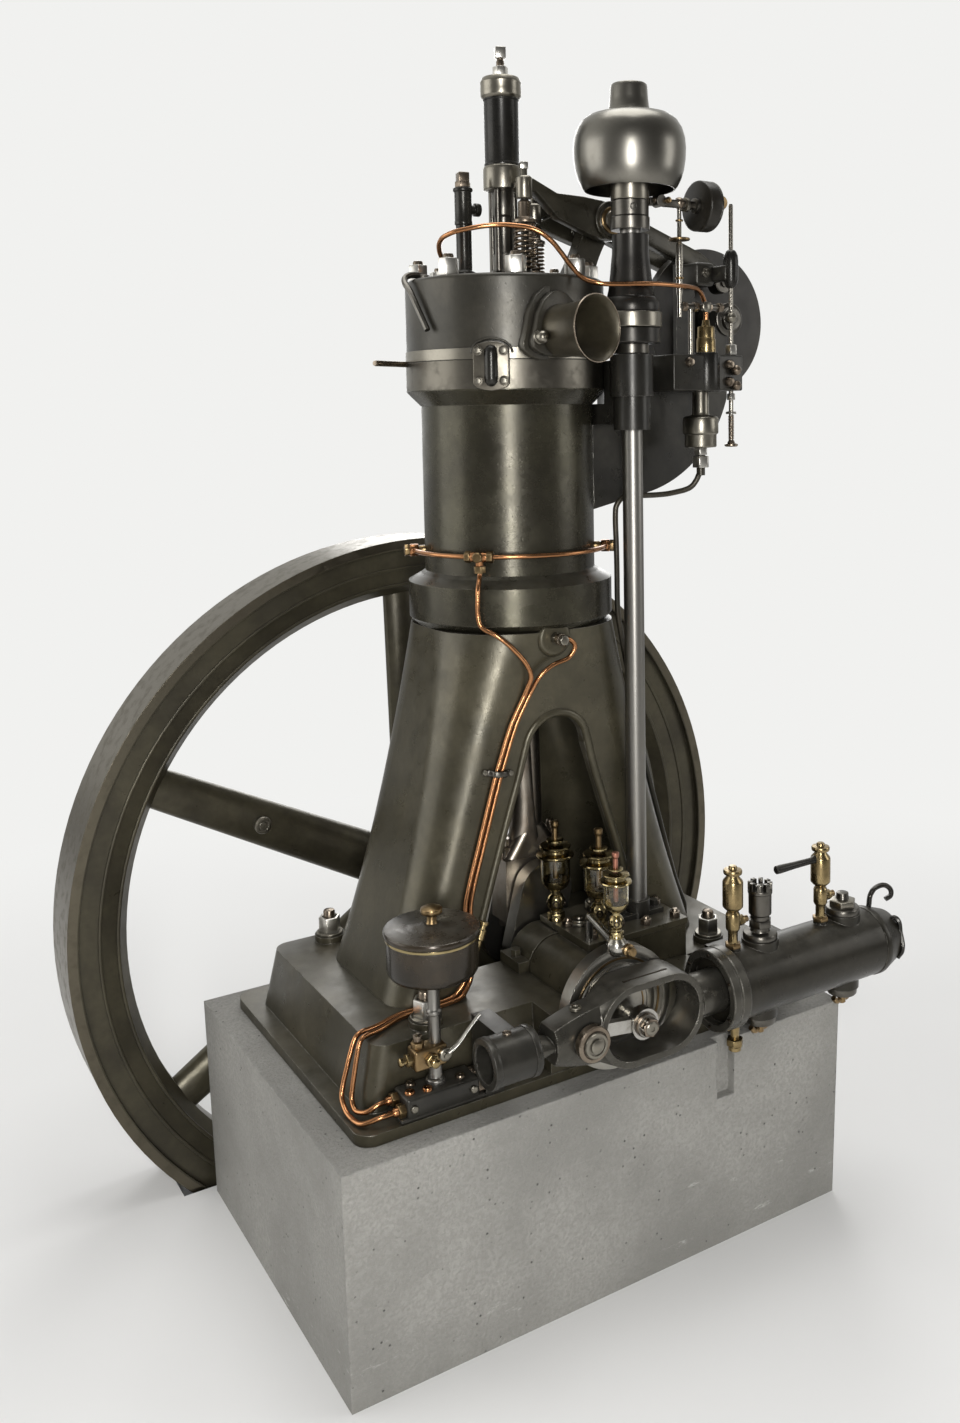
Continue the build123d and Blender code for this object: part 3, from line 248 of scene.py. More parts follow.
    def effect(self, kind: bpy.types.NodeTree, **values: object) -> bpy.types.Node:
        """Place a shared effect.

        Args:
            kind: The node group.
            values: Its inputs by name, with spaces written as underscores.

        Returns:
            The group node.
        """
        made = self.node("ShaderNodeGroup", node_tree=kind)
        for key, value in values.items():
            self.feed(made.inputs[key.replace("_", " ")], value)
        return made


@dataclass
class GroupMaker:
    """A shader node group under construction.

    Attributes:
        name: The group's name.
        inputs: Each input's name and its default, a number or a vector.
        outputs: Each output's name and its socket type.
    """

    name: str
    inputs: dict[str, object]
    outputs: dict[str, str]
    tree: bpy.types.NodeTree = field(init=False)
    wiring: Wiring = field(init=False)
    entry: bpy.types.Node = field(init=False)
    end: bpy.types.Node = field(init=False)

    def __post_init__(self) -> None:
        """Make the tree, its sockets and its two end nodes."""
        self.tree = bpy.data.node_groups.new(self.name, "ShaderNodeTree")
        for key, value in self.inputs.items():
            kind = "NodeSocketVector" if isinstance(value, tuple) else "NodeSocketFloat"
            made = self.tree.interface.new_socket(key, in_out="INPUT", socket_type=kind)
            made.default_value = value
        for key, kind in self.outputs.items():
            self.tree.interface.new_socket(key, in_out="OUTPUT", socket_type=kind)
        self.wiring = Wiring(self.tree)
        self.entry = self.wiring.node("NodeGroupInput")
        self.end = self.wiring.node("NodeGroupOutput")

    def take(self, name: str) -> Socket:
        """Return one of the group's inputs for use inside it."""
        return self.entry.outputs[name]

    def give(self, name: str, source: Socket) -> None:
        """Link a result to one of the group's outputs."""
        self.tree.links.new(source, self.end.inputs[name])


class Effects:
    """The effects that several finishes share, each built once as a node group."""

    def __init__(self) -> None:
        """Build every group."""
        self.mottle = self.build_mottle()
        self.wear = self.build_wear()
        self.crevice = self.build_crevice()
        self.grain = self.build_grain()
        self.dust = self.build_dust()
        self.turned = self.build_turned()

    @staticmethod
    def build_mottle() -> bpy.types.NodeTree:
        """Build soft patches with a chosen size and share of the surface."""
        group = GroupMaker("mottle", {"Scale": 8.0, "Low": 0.4, "High": 0.65}, {"Mask": "NodeSocketFloat"})
        wiring = group.wiring
        raw = wiring.noise(wiring.place(), group.take("Scale"), 6.0, 0.6)
        group.give("Mask", wiring.spread(raw, group.take("Low"), group.take("High")))
        return group.tree

    @staticmethod
    def build_wear() -> bpy.types.NodeTree:
        """Build worn outer edges: a broken mask and a normal rounded over each edge."""
        group = GroupMaker(
            "edge_wear", {"Width": 0.002, "Break Up": 60.0, "Amount": 0.6},
            {"Mask": "NodeSocketFloat", "Normal": "NodeSocketVector"})
        wiring = group.wiring
        rounded = wiring.node("ShaderNodeBevel", samples=4)
        wiring.feed(rounded.inputs["Radius"], group.take("Width"))
        true = wiring.node("ShaderNodeNewGeometry").outputs["Normal"]
        near = wiring.vector("DOT_PRODUCT", rounded.outputs["Normal"], true).outputs["Value"]
        edge = wiring.spread(wiring.calc("SUBTRACT", 1.0, near), 0.004, 0.12)
        broken = wiring.spread(wiring.noise(wiring.place(), group.take("Break Up"), 4.0, 0.65), 0.38, 0.62)
        mask = wiring.calc("MULTIPLY", wiring.calc("MULTIPLY", edge, broken), group.take("Amount"), True)
        group.give("Mask", mask)
        group.give("Normal", rounded.outputs["Normal"])
        return group.tree

    @staticmethod
    def build_crevice() -> bpy.types.NodeTree:
        """Build painted shade: a mask, found by occlusion, of the corners and the feet of bosses, where the
        colour is darkened.
        """
        group = GroupMaker("crevice", {"Reach": 0.012, "Amount": 0.8}, {"Mask": "NodeSocketFloat"})
        wiring = group.wiring
        shade = wiring.node("ShaderNodeAmbientOcclusion", samples=4)
        wiring.feed(shade.inputs["Distance"], group.take("Reach"))
        deep = wiring.spread(shade.outputs["AO"], 0.85, 0.35)
        group.give("Mask", wiring.calc("MULTIPLY", deep, group.take("Amount"), True))
        return group.tree

    @staticmethod
    def build_grain() -> bpy.types.NodeTree:
        """Build the skin of a sand casting: a low swell, a fine tooth and small pits."""
        group = GroupMaker("casting_grain", {"Scale": 90.0, "Pits": 0.4}, {"Height": "NodeSocketFloat"})
        wiring = group.wiring
        place = wiring.place()
        swell = wiring.noise(place, wiring.calc("MULTIPLY", group.take("Scale"), 0.14), 2.0, 0.5)
        tooth = wiring.noise(place, group.take("Scale"), 6.0, 0.7)
        pit = wiring.spread(
            wiring.cells(place, wiring.calc("MULTIPLY", group.take("Scale"), 1.3)), 0.22, 0.04)
        height = wiring.calc("ADD", swell, wiring.calc("MULTIPLY", tooth, 0.35))
        group.give("Height", wiring.calc("SUBTRACT", height, wiring.calc(
            "MULTIPLY", pit, group.take("Pits"))))
        return group.tree

    @staticmethod
    def build_dust() -> bpy.types.NodeTree:
        """Build the dust that settles on faces that look up."""
        group = GroupMaker("dust", {"Amount": 0.4, "Scale": 30.0}, {"Mask": "NodeSocketFloat"})
        wiring = group.wiring
        true = wiring.node("ShaderNodeNewGeometry").outputs["Normal"]
        split = wiring.node("ShaderNodeSeparateXYZ")
        wiring.feed(split.inputs[0], true)
        level = wiring.spread(split.outputs["Z"], 0.55, 0.98)
        cloud = wiring.spread(wiring.noise(wiring.place(), group.take("Scale"), 6.0, 0.7), 0.25, 0.75)
        mask = wiring.calc("MULTIPLY", wiring.calc("MULTIPLY", level, cloud), group.take("Amount"), True)
        group.give("Mask", mask)
        return group.tree

    @staticmethod
    def build_turned() -> bpy.types.NodeTree:
        """Build the fine rings that a lathe leaves round a line through a centre."""
        group = GroupMaker(
            "turned_rings", {"Centre": (0.0, 0.0, 0.0), "Line": (0.0, 0.0, 1.0), "Pitch": 900.0},
            {"Height": "NodeSocketFloat", "Radius": "NodeSocketFloat"})
        wiring = group.wiring
        reach = wiring.vector("SUBTRACT", wiring.place(), group.take("Centre")).outputs["Vector"]
        along = wiring.vector("DOT_PRODUCT", reach, group.take("Line")).outputs["Value"]
        out = wiring.vector("CROSS_PRODUCT", reach, group.take("Line")).outputs["Vector"]
        radius = wiring.vector("LENGTH", out).outputs["Value"]
        joined = wiring.node("ShaderNodeCombineXYZ")
        wiring.feed(joined.inputs["X"], radius)
        wiring.feed(joined.inputs["Y"], along)
        group.give("Height", wiring.noise(joined.outputs["Vector"], group.take("Pitch"), 3.0, 0.7))
        group.give("Radius", radius)
        return group.tree


@dataclass(frozen=True)
class Band:
    """A machined zone of a casting, between two heights along an axis.

    Attributes:
        axis: 0, 1 or 2 for X, Y or Z, or 3 for the distance from the finish's line.
        low: Where the zone starts.
        high: Where it ends.
    """

    axis: int
    low: float
    high: float


@dataclass(frozen=True)
class Casting:
    """Iron or steel as it is cast, rubbed with graphite or painted, with its machined zones.

    Attributes:
        name: The material's name.
        skin: The main colour.
        patch: The colour of its thinner patches.
        bare: The metal that shows where it is worn or machined.
        gloss: Roughness of the shiniest and the dullest places.
        metal: How metallic the skin is.
        grain: Features per metre of the skin's tooth.
        depth: The depth of that tooth.
        rounding: The radius that edges are worn to.
        wear: How much bare metal shows along edges.
        dust: How much dust lies on faces that look up.
        bands: The machined zones.
        line: A point and a direction for zones measured by radius.
    """

    name: str
    skin: Colour = (0.075, 0.07, 0.056)
    patch: Colour = (0.105, 0.098, 0.078)
    bare: Colour = (0.36, 0.34, 0.30)
    gloss: tuple[float, float] = (0.30, 0.46)
    metal: float = 0.55
    grain: float = 95.0
    depth: float = 0.00035
    rounding: float = 0.0022
    wear: float = 0.55
    dust: float = 0.22
    bands: tuple[Band, ...] = ()
    line: tuple[Point, Point] = ((0.0, 0.0, 0.0), (0.0, 0.0, 1.0))

    def machined(self, wiring: Wiring, effects: Effects) -> tuple[Socket, Socket]:
        """Return the mask of the machined zones and the height of their tool marks."""
        centre, direction = self.line
        rings = wiring.effect(effects.turned, Centre=centre, Line=direction, Pitch=700.0)
        split = wiring.node("ShaderNodeSeparateXYZ")
        wiring.feed(split.inputs[0], wiring.place())
        places = [*split.outputs, rings.outputs["Radius"]]
        mask: Socket | None = None
        for band in self.bands:
            above = wiring.calc("GREATER_THAN", places[band.axis], band.low)
            below = wiring.calc("LESS_THAN", places[band.axis], band.high)
            zone = wiring.calc("MULTIPLY", above, below)
            mask = zone if mask is None else wiring.calc("MAXIMUM", mask, zone)
        return mask, rings.outputs["Height"]

    def build(self, effects: Effects) -> bpy.types.Material:
        """Build the material.

        Args:
            effects: The shared node groups.

        Returns:
            The material.
        """
        material, wiring, shader = blank_material(self.name)
        broad = wiring.effect(effects.mottle, Scale=7.0, Low=0.36, High=0.66).outputs["Mask"]
        fine = wiring.effect(effects.mottle, Scale=85.0, Low=0.3, High=0.75).outputs["Mask"]
        edge = wiring.effect(effects.wear, Width=self.rounding, Break_Up=55.0, Amount=self.wear)
        dust = wiring.effect(effects.dust, Amount=self.dust, Scale=26.0).outputs["Mask"]
        shade_mask = wiring.effect(effects.crevice, Reach=0.014, Amount=0.75).outputs["Mask"]
        grain = wiring.effect(effects.grain, Scale=self.grain, Pits=0.35).outputs["Height"]
        colour = wiring.blend(broad, self.skin, self.patch)
        colour = wiring.blend(
            wiring.calc("MULTIPLY", fine, 0.22), colour, tuple(c * 0.45 for c in self.skin))
        rough = wiring.spread(wiring.noise(wiring.place(), 22.0, 5.0, 0.65), 0.2, 0.8, self.gloss)
        metal: object = self.metal
        height = grain
        if self.bands:
            zone, rings = self.machined(wiring, effects)
            stain = wiring.effect(effects.mottle, Scale=38.0, Low=0.42, High=0.72).outputs["Mask"]
            worked = wiring.blend(
                wiring.calc("MULTIPLY", stain, 0.35), self.bare, tuple(c * 0.42 for c in self.bare))
            colour = wiring.blend(zone, colour, worked)
            rough = wiring.mix(zone, rough, wiring.spread(stain, 0.0, 1.0, (0.32, 0.44)))
            metal = wiring.mix(zone, metal, 1.0)
            height = wiring.mix(zone, height, wiring.calc("MULTIPLY", rings, 0.25))
        # painted shade: the colour is darkened in corners and crevices
        colour = wiring.blend(shade_mask, colour, tuple(c * 0.3 for c in self.skin))
        colour = wiring.blend(edge.outputs["Mask"], colour, self.bare)
        colour = wiring.blend(dust, colour, (0.24, 0.225, 0.19))
        metal = wiring.mix(edge.outputs["Mask"], metal, 0.95)
        metal = wiring.mix(dust, metal, 0.1)
        rough = wiring.mix(dust, rough, 0.75)
        wiring.feed(shader.inputs["Base Color"], colour)
        wiring.feed(shader.inputs["Metallic"], metal)
        wiring.feed(shader.inputs["Roughness"], rough)
        wiring.feed(shader.inputs["Normal"], wiring.bump(height, self.depth, edge.outputs["Normal"]))
        return material


@dataclass(frozen=True)
class Bright:
    """Bare metal that has been turned and polished, and has aged a little.

    Attributes:
        name: The material's name.
        metal: The clean colour.
        tarnish: The colour of its stains.
        gloss: Roughness of the clean and the stained places.
        stained: The share of the surface that is stained, 0 to 1.
        centre: A point on the line that the piece was turned about.
        line: The direction of that line.
        rounding: The radius that edges are worn to.
    """

    name: str
    metal: Colour = (0.47, 0.455, 0.42)
    tarnish: Colour = (0.16, 0.145, 0.115)
    gloss: tuple[float, float] = (0.17, 0.38)
    stained: float = 0.45
    centre: Point = (0.0, 0.0, 0.0)
    line: Point = (0.0, 0.0, 1.0)
    rounding: float = 0.0008

    def build(self, effects: Effects) -> bpy.types.Material:
        """Build the material.

        Args:
            effects: The shared node groups.

        Returns:
            The material.
        """
        material, wiring, shader = blank_material(self.name)
        low = 0.75 - 0.4 * self.stained
        stain = wiring.effect(effects.mottle, Scale=34.0, Low=low - 0.2, High=low + 0.22).outputs["Mask"]
        specks = wiring.effect(effects.mottle, Scale=260.0, Low=0.58, High=0.72).outputs["Mask"]
        shade_mask = wiring.effect(effects.crevice, Reach=0.006, Amount=0.85).outputs["Mask"]
        edge = wiring.effect(effects.wear, Width=self.rounding, Break_Up=90.0, Amount=0.35)
        rings = wiring.effect(effects.turned, Centre=self.centre, Line=self.line,
                              Pitch=1500.0).outputs["Height"]
        dirty = wiring.calc(
            "MAXIMUM", wiring.calc("MULTIPLY", stain, 0.3 + 0.6 * self.stained),
            wiring.calc("MULTIPLY", specks, 0.35))
        colour = wiring.blend(dirty, self.metal, self.tarnish)
        # painted shade: the colour is darkened, and made less metallic, in corners and crevices
        colour = wiring.blend(shade_mask, colour, tuple(c * 0.3 for c in self.tarnish))
        rough = wiring.spread(dirty, 0.0, 0.8, self.gloss)
        wiring.feed(shader.inputs["Base Color"], colour)
        wiring.feed(shader.inputs["Metallic"], wiring.mix(shade_mask, 1.0, 0.4))
        wiring.feed(shader.inputs["Roughness"], rough)
        height = wiring.calc(
            "ADD", wiring.calc("MULTIPLY", rings, 0.5), wiring.calc("MULTIPLY", specks, 0.5))
        wiring.feed(shader.inputs["Normal"], wiring.bump(height, 0.00006, edge.outputs["Normal"]))
        return material


@dataclass(frozen=True)
class Concrete:
    """Cast concrete with chipped edges, air holes and pale marks.

    Attributes:
        name: The material's name.
        cement: The main colour.
        damp: Its darker patches.
        lime: Its pale marks.
    """

    name: str = "concrete"
    cement: Colour = (0.315, 0.306, 0.280)
    damp: Colour = (0.215, 0.209, 0.190)
    lime: Colour = (0.56, 0.55, 0.51)

    def build(self, effects: Effects) -> bpy.types.Material:
        """Build the material.

        Args:
            effects: The shared node groups.

        Returns:
            The material.
        """
        material, wiring, shader = blank_material(self.name)
        place = wiring.place()
        broad = wiring.effect(effects.mottle, Scale=3.2, Low=0.35, High=0.7).outputs["Mask"]
        sand = wiring.noise(place, 420.0, 4.0, 0.8)
        grit = wiring.effect(effects.mottle, Scale=150.0, Low=0.35, High=0.7).outputs["Mask"]
        edge = wiring.effect(effects.wear, Width=0.006, Break_Up=30.0, Amount=0.55)
        holes = wiring.spread(wiring.cells(place, 62.0), 0.16, 0.07)
        sparse = wiring.effect(effects.mottle, Scale=21.0, Low=0.5, High=0.6).outputs["Mask"]
        holes = wiring.calc("MULTIPLY", holes, sparse)
        smear = wiring.noise(wiring.stretch(place, (6.0, 6.0, 22.0)), 1.0, 6.0, 0.75)
        split = wiring.node("ShaderNodeSeparateXYZ")
        wiring.feed(split.inputs[0], place)
        low_down = wiring.spread(split.outputs["Z"], 0.47, 0.38)
        marks = wiring.calc("MULTIPLY", wiring.spread(smear, 0.6, 0.72), low_down)
        scratch = wiring.noise(wiring.stretch(place, (9.0, 9.0, 240.0), (0.2, 0.1, 3.0)), 1.0, 3.0, 0.6)
        marks = wiring.calc("MAXIMUM", wiring.calc("MULTIPLY", marks, 0.75), wiring.calc(
            "MULTIPLY", wiring.spread(scratch, 0.68, 0.8), 0.22))
        colour = wiring.blend(broad, self.cement, self.damp)
        colour = wiring.blend(wiring.calc("MULTIPLY", grit, 0.65), colour, self.damp)
        colour = wiring.blend(wiring.spread(sand, 0.58, 0.76, (0.0, 0.6)), colour, self.lime)
        colour = wiring.blend(
            wiring.spread(sand, 0.4, 0.22, (0.0, 0.55)), colour, tuple(c * 0.45 for c in self.damp))
        colour = wiring.blend(marks, colour, self.lime)
        # painted shade: the air holes are darkened as if shadowed inside
        colour = wiring.blend(holes, colour, tuple(c * 0.35 for c in self.damp))
        colour = wiring.blend(wiring.calc("MULTIPLY", edge.outputs["Mask"], 0.6), colour, self.lime)
        height = wiring.calc("ADD", wiring.calc("MULTIPLY", sand, 0.4), wiring.calc("MULTIPLY", grit, 0.45))
        height = wiring.calc("SUBTRACT", height, holes)
        wiring.feed(shader.inputs["Base Color"], colour)
        wiring.feed(shader.inputs["Roughness"], wiring.spread(sand, 0.2, 0.8, (0.8, 0.95)))
        wiring.feed(shader.inputs["Normal"], wiring.bump(height, 0.0022, edge.outputs["Normal"]))
        return material


@dataclass(frozen=True)
class ClearGlass:
    """The glass of the oil cups, with a thumbed surface.

    Attributes:
        name: The material's name.
        tint: The glass's colour.
    """

    name: str = "cup_glass"
    tint: Colour = (0.80, 0.74, 0.56)

    def build(self, effects: Effects) -> bpy.types.Material:
        """Build the material, whose transmission is a plain value.

        Args:
            effects: The shared node groups.

        Returns:
            The material.
        """
        material, wiring, shader = blank_material(self.name)
        haze = wiring.effect(effects.mottle, Scale=120.0, Low=0.35, High=0.8).outputs["Mask"]
        shader.inputs["Transmission Weight"].default_value = 1.0
        shader.inputs["IOR"].default_value = 1.48
        wiring.feed(shader.inputs["Base Color"], wiring.blend(
            haze, self.tint, tuple(c * 0.9 for c in self.tint)))
        wiring.feed(shader.inputs["Roughness"], wiring.spread(haze, 0.0, 1.0, (0.02, 0.1)))
        return material


@dataclass(frozen=True)
class StagePaint:
    """The plain matt paint of the floor round the engine.

    Attributes:
        name: The material's name.
        paint: Its colour.
        distance: The colour that it fades to far from the engine, the same as the room's.
    """

    name: str = "stage_floor"
    paint: Colour = (0.80, 0.795, 0.78)
    distance: Colour = (0.88, 0.88, 0.865)

    def build(self, effects: Effects) -> bpy.types.Material:
        """Build the material.

        Args:
            effects: The shared node groups.

        Returns:
            The material.
        """
        material, wiring, shader = blank_material(self.name)
        cloud = wiring.effect(effects.mottle, Scale=1.5, Low=0.2, High=0.8).outputs["Mask"]
        wiring.feed(shader.inputs["Base Color"], wiring.blend(
            cloud, self.paint, tuple(c * 0.985 for c in self.paint)))
        shader.inputs["Roughness"].default_value = 0.85
        away = wiring.node("ShaderNodeVectorMath", operation="LENGTH")
        wiring.feed(away.inputs[0], wiring.place())
        far = wiring.spread(away.outputs["Value"], 1.1, 2.9)
        path = wiring.node("ShaderNodeLightPath")
        seen = wiring.calc("MAXIMUM", path.outputs["Is Camera Ray"], path.outputs["Is Transmission Ray"])
        haze = wiring.node("ShaderNodeEmission")
        haze.inputs["Color"].default_value = (*self.distance, 1.0)
        mixed = wiring.node("ShaderNodeMixShader")
        wiring.feed(mixed.inputs["Fac"], wiring.calc("MULTIPLY", far, seen))
        wiring.feed(mixed.inputs[1], shader.outputs["BSDF"])
        wiring.feed(mixed.inputs[2], haze.outputs["Emission"])
        output = next(node for node in material.node_tree.nodes if node.type == "OUTPUT_MATERIAL")
        wiring.feed(output.inputs["Surface"], mixed.outputs["Shader"])
        return material


def blank_material(name: str) -> tuple[bpy.types.Material, Wiring, bpy.types.Node]:
    """Make a material with only its shader and output.

    Args:
        name: The material's name.

    Returns:
        The material, its wiring and its shader node.
    """
    material = bpy.data.materials.new(name)
    material.use_nodes = True
    material.node_tree.nodes.clear()
    wiring = Wiring(material.node_tree)
    shader = wiring.node("ShaderNodeBsdfPrincipled")
    output = wiring.node("ShaderNodeOutputMaterial")
    wiring.feed(output.inputs["Surface"], shader.outputs["BSDF"])
    return material, wiring, shader


class Shop:
    """The workshop: modelling steps that leave a finished piece at the origin."""

    def __init__(self, finishes: dict[str, bpy.types.Material]) -> None:
        """Keep the finishes that pieces are dressed with.

        Args:
            finishes: Every material by name.
        """
        self.finishes = finishes
        self.made: list[str] = []

    @staticmethod
    def clear() -> None:
        """Leave edit mode and deselect everything."""
        if bpy.context.object is not None and bpy.context.object.mode != "OBJECT":
            bpy.ops.object.mode_set(mode="OBJECT")
        bpy.ops.object.select_all(action="DESELECT")

    def pick(self, piece: bpy.types.Object) -> None:
        """Make one piece the only one selected, and active."""
        self.clear()
        piece.select_set(True)
        bpy.context.view_layer.objects.active = piece

    def apply(self, piece: bpy.types.Object, kind: str, **settings: object) -> None:
        """Add a modifier and apply it.

        Args:
            piece: The piece.
            kind: The modifier's type.
            settings: Its settings.
        """
        self.pick(piece)
        modifier = piece.modifiers.new(kind.lower(), kind)
        for key, value in settings.items():
            setattr(modifier, key, value)
        bpy.ops.object.modifier_apply(modifier=modifier.name)

    def turn(self, piece: bpy.types.Object, facing: Facing, at: Point, spin: float = 0.0) -> None:
        """Stand a piece that was made along Z in its place.

        Args:
            piece: The piece, made round the Z axis from height 0.
            facing: Where its top points.
            at: Where its foot stands.
            spin: Its turn about its own line, in degrees.
        """
        stand = Vector((0.0, 0.0, 1.0)).rotation_difference(Vector(facing.value)).to_matrix().to_4x4()
        self.move(piece, Matrix.Translation(at) @ stand @ Matrix.Rotation(math.radians(spin), 4, "Z"))

    def move(self, piece: bpy.types.Object, matrix: Matrix) -> None:
        """Move a piece by a matrix and put the move into its mesh."""
        self.pick(piece)
        piece.matrix_world = matrix @ piece.matrix_world
        bpy.ops.object.transform_apply(location=True, rotation=True, scale=True)

    def close(self, piece: bpy.types.Object, soft: float = 0.0, angle: float = 32.0, cuts: int = 2) -> None:
        """Merge doubles, turn the faces outwards, round the edges and smooth a piece.

        Args:
            piece: The piece.
            soft: The width of its edge rounding, or 0 for none.
            angle: Edges sharper than this stay crisp, in degrees.
            cuts: The segments of the rounding.
        """
        self.pick(piece)
        bpy.ops.object.mode_set(mode="EDIT")
        bpy.ops.mesh.select_all(action="SELECT")
        bpy.ops.mesh.remove_doubles(threshold=0.00001)
        bpy.ops.mesh.normals_make_consistent(inside=False)
        bpy.ops.object.mode_set(mode="OBJECT")
        if soft > 0.0:
            self.apply(piece, "BEVEL", width=soft, segments=cuts, limit_method="ANGLE",
                       angle_limit=math.radians(angle), use_clamp_overlap=True)
        self.pick(piece)
        bpy.ops.object.shade_smooth_by_angle(angle=math.radians(angle + 6.0))

    def finish(self, piece: bpy.types.Object, name: str, finish: str, body: Body = Body.ENGINE,
               instead_of: tuple[str, ...] = ()) -> bpy.types.Object:
        """Name a piece, dress it and make it ride.

        Args:
            piece: The piece.
            name: Its name.
            finish: The finish's name.
            body: The body that it rides on.
            instead_of: The nodes that it stands for.

        Returns:
            The piece.
        """
        self.clear()
        piece.name = name
        piece.data.name = name
        piece.data.materials.clear()
        piece.data.materials.append(self.finishes[finish])
        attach(piece, body.value)
        if instead_of:
            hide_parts(*instead_of)
        self.made.append(name)
        return piece

    def fit(self, piece: bpy.types.Object, facing: Facing, at: Point, name: str, finish: str,
            spin: float = 0.0, body: Body = Body.ENGINE, instead_of: tuple[str,
                                                                           ...] = ()) -> bpy.types.Object:
        """Stand a piece that was made along Z in its place, then name and dress it.

        Args:
            piece: The piece, made round the Z axis from height 0.
            facing: Where its top points.
            at: Where its foot stands.
            name: Its name.
            finish: The finish's name.
            spin: Its turn about its own line, in degrees.
            body: The body that it rides on.
            instead_of: The nodes that it stands for.

        Returns:
            The piece.
        """
        self.turn(piece, facing, at, spin)
        return self.finish(piece, name, finish, body, instead_of)

    def copies(self, piece: bpy.types.Object, name: str, places: list[Matrix], finish: str,
               body: Body = Body.ENGINE) -> None:
        """Copy a dressed piece, each copy with its own mesh.

        Args:
            piece: The first one.
            name: The stem of the copies' names.
            places: The move from the first one to each copy.
            finish: The finish's name.
            body: The body that they ride on.
        """
        for index, place in enumerate(places, start=2):
            twin = piece.copy()
            twin.data = piece.data.copy()
            bpy.context.collection.objects.link(twin)
            self.move(twin, place)
            self.finish(twin, f"{name}_{index}", finish, body)

    def join(self, pieces: list[bpy.types.Object]) -> bpy.types.Object:
        """Join pieces into the first one and return it."""
        self.clear()
        for piece in pieces:
            piece.select_set(True)
        bpy.context.view_layer.objects.active = pieces[0]
        bpy.ops.object.join()
        return pieces[0]

    def lathe(self, profile: list[tuple[float, float]], sides: int = 40, soft: float = 0.0,
              closed: bool = True) -> bpy.types.Object:
        """Turn a solid about Z: a disc is extruded ring by ring up its profile.

        Args:
            profile: Radius and height of each ring, from the first to the last.
            sides: Segments round.
            soft: The width of the edge rounding.
            closed: Whether the last ring is filled and the solid ends there, or it joins the first ring.

        Returns:
            The turned piece, standing on Z.
        """
        self.clear()
        radius, height = profile[0]
        fill = "NGON" if closed else "NOTHING"
        bpy.ops.mesh.primitive_circle_add(
            vertices=sides, radius=max(radius, 0.00005), fill_type=fill, location=(0.0, 0.0, height))
        piece = bpy.context.object
        bpy.ops.object.transform_apply(location=True, rotation=False, scale=False)
        bpy.ops.object.mode_set(mode="EDIT")
        bpy.ops.mesh.select_mode(type="VERT")
        bpy.ops.mesh.select_all(action="SELECT")
        for next_radius, next_height in profile[1:]:
            bpy.ops.mesh.extrude_region_move(
                TRANSFORM_OT_translate={"value": (0.0, 0.0, next_height - height)})
            factor = max(next_radius, 0.00005) / max(radius, 0.00005)
            if abs(factor - 1.0) > 1e-6:
                bpy.ops.transform.resize(
                    value=(factor, factor, 1.0), center_override=(0.0, 0.0, next_height))
            radius, height = next_radius, next_height
        bpy.ops.object.mode_set(mode="OBJECT")
        self.close(piece, soft)
        return piece

    def prism(self, flats: float, height: float, sides: int = 6, chamfer: float = 0.12,
              bore: float = 0.0) -> bpy.types.Object:
        """Make a nut or a hexagonal head with chamfered ends, standing on Z from height 0.

        Args:
            flats: The size across flats.
            height: Its height.
            sides: Its sides.
            chamfer: The chamfer's share of the radius, seen at the corners.
            bore: Above 0 for a shallow recess in the top, whose size is set by the insets, or 0 for a
                slightly domed top.

        Returns:
            The nut.
        """
        self.clear()
        corner = flats / 2 / math.cos(math.pi / sides)
        bpy.ops.mesh.primitive_cylinder_add(
            vertices=sides, radius=corner, depth=height, location=(0.0, 0.0, height / 2))
        piece = bpy.context.object
        bpy.ops.object.transform_apply(location=True, rotation=False, scale=False)
        bpy.ops.object.mode_set(mode="EDIT")
        bpy.ops.mesh.select_all(action="DESELECT")
        bpy.ops.mesh.select_mode(type="FACE")
        bpy.ops.object.mode_set(mode="OBJECT")
        for face in piece.data.polygons:
            face.select = face.normal.z > 0.9
        bpy.ops.object.mode_set(mode="EDIT")
        bpy.ops.mesh.inset(thickness=corner * chamfer, depth=corner * chamfer * 0.45)
        if bore > 0.0:
            bpy.ops.mesh.inset(thickness=corner * 0.12, depth=0.0)
            bpy.ops.mesh.inset(thickness=0.0005, depth=-height * 0.15)
        else:
            bpy.ops.mesh.inset(thickness=corner * 0.3, depth=corner * 0.05)
        bpy.ops.object.mode_set(mode="OBJECT")
        self.close(piece, min(0.0008, flats * 0.03), 20.0)
        return piece

    def block(self, low: Point, high: Point, soft: float = 0.001, cuts: int = 2) -> bpy.types.Object:
        """Make a block with rounded edges between two corners.

        Args:
            low: Its lowest corner.
            high: Its highest corner.
            soft: The width of its edge rounding.
            cuts: The segments of that rounding.

        Returns:
            The block.
        """
        self.clear()
        middle = [(a + b) / 2 for a, b in zip(low, high)]
        bpy.ops.mesh.primitive_cube_add(size=1.0, location=middle)
        piece = bpy.context.object
        bpy.ops.transform.resize(value=[b - a for a, b in zip(low, high)])
        bpy.ops.object.transform_apply(location=True, rotation=True, scale=True)
        self.close(piece, soft, 30.0, cuts)
        return piece

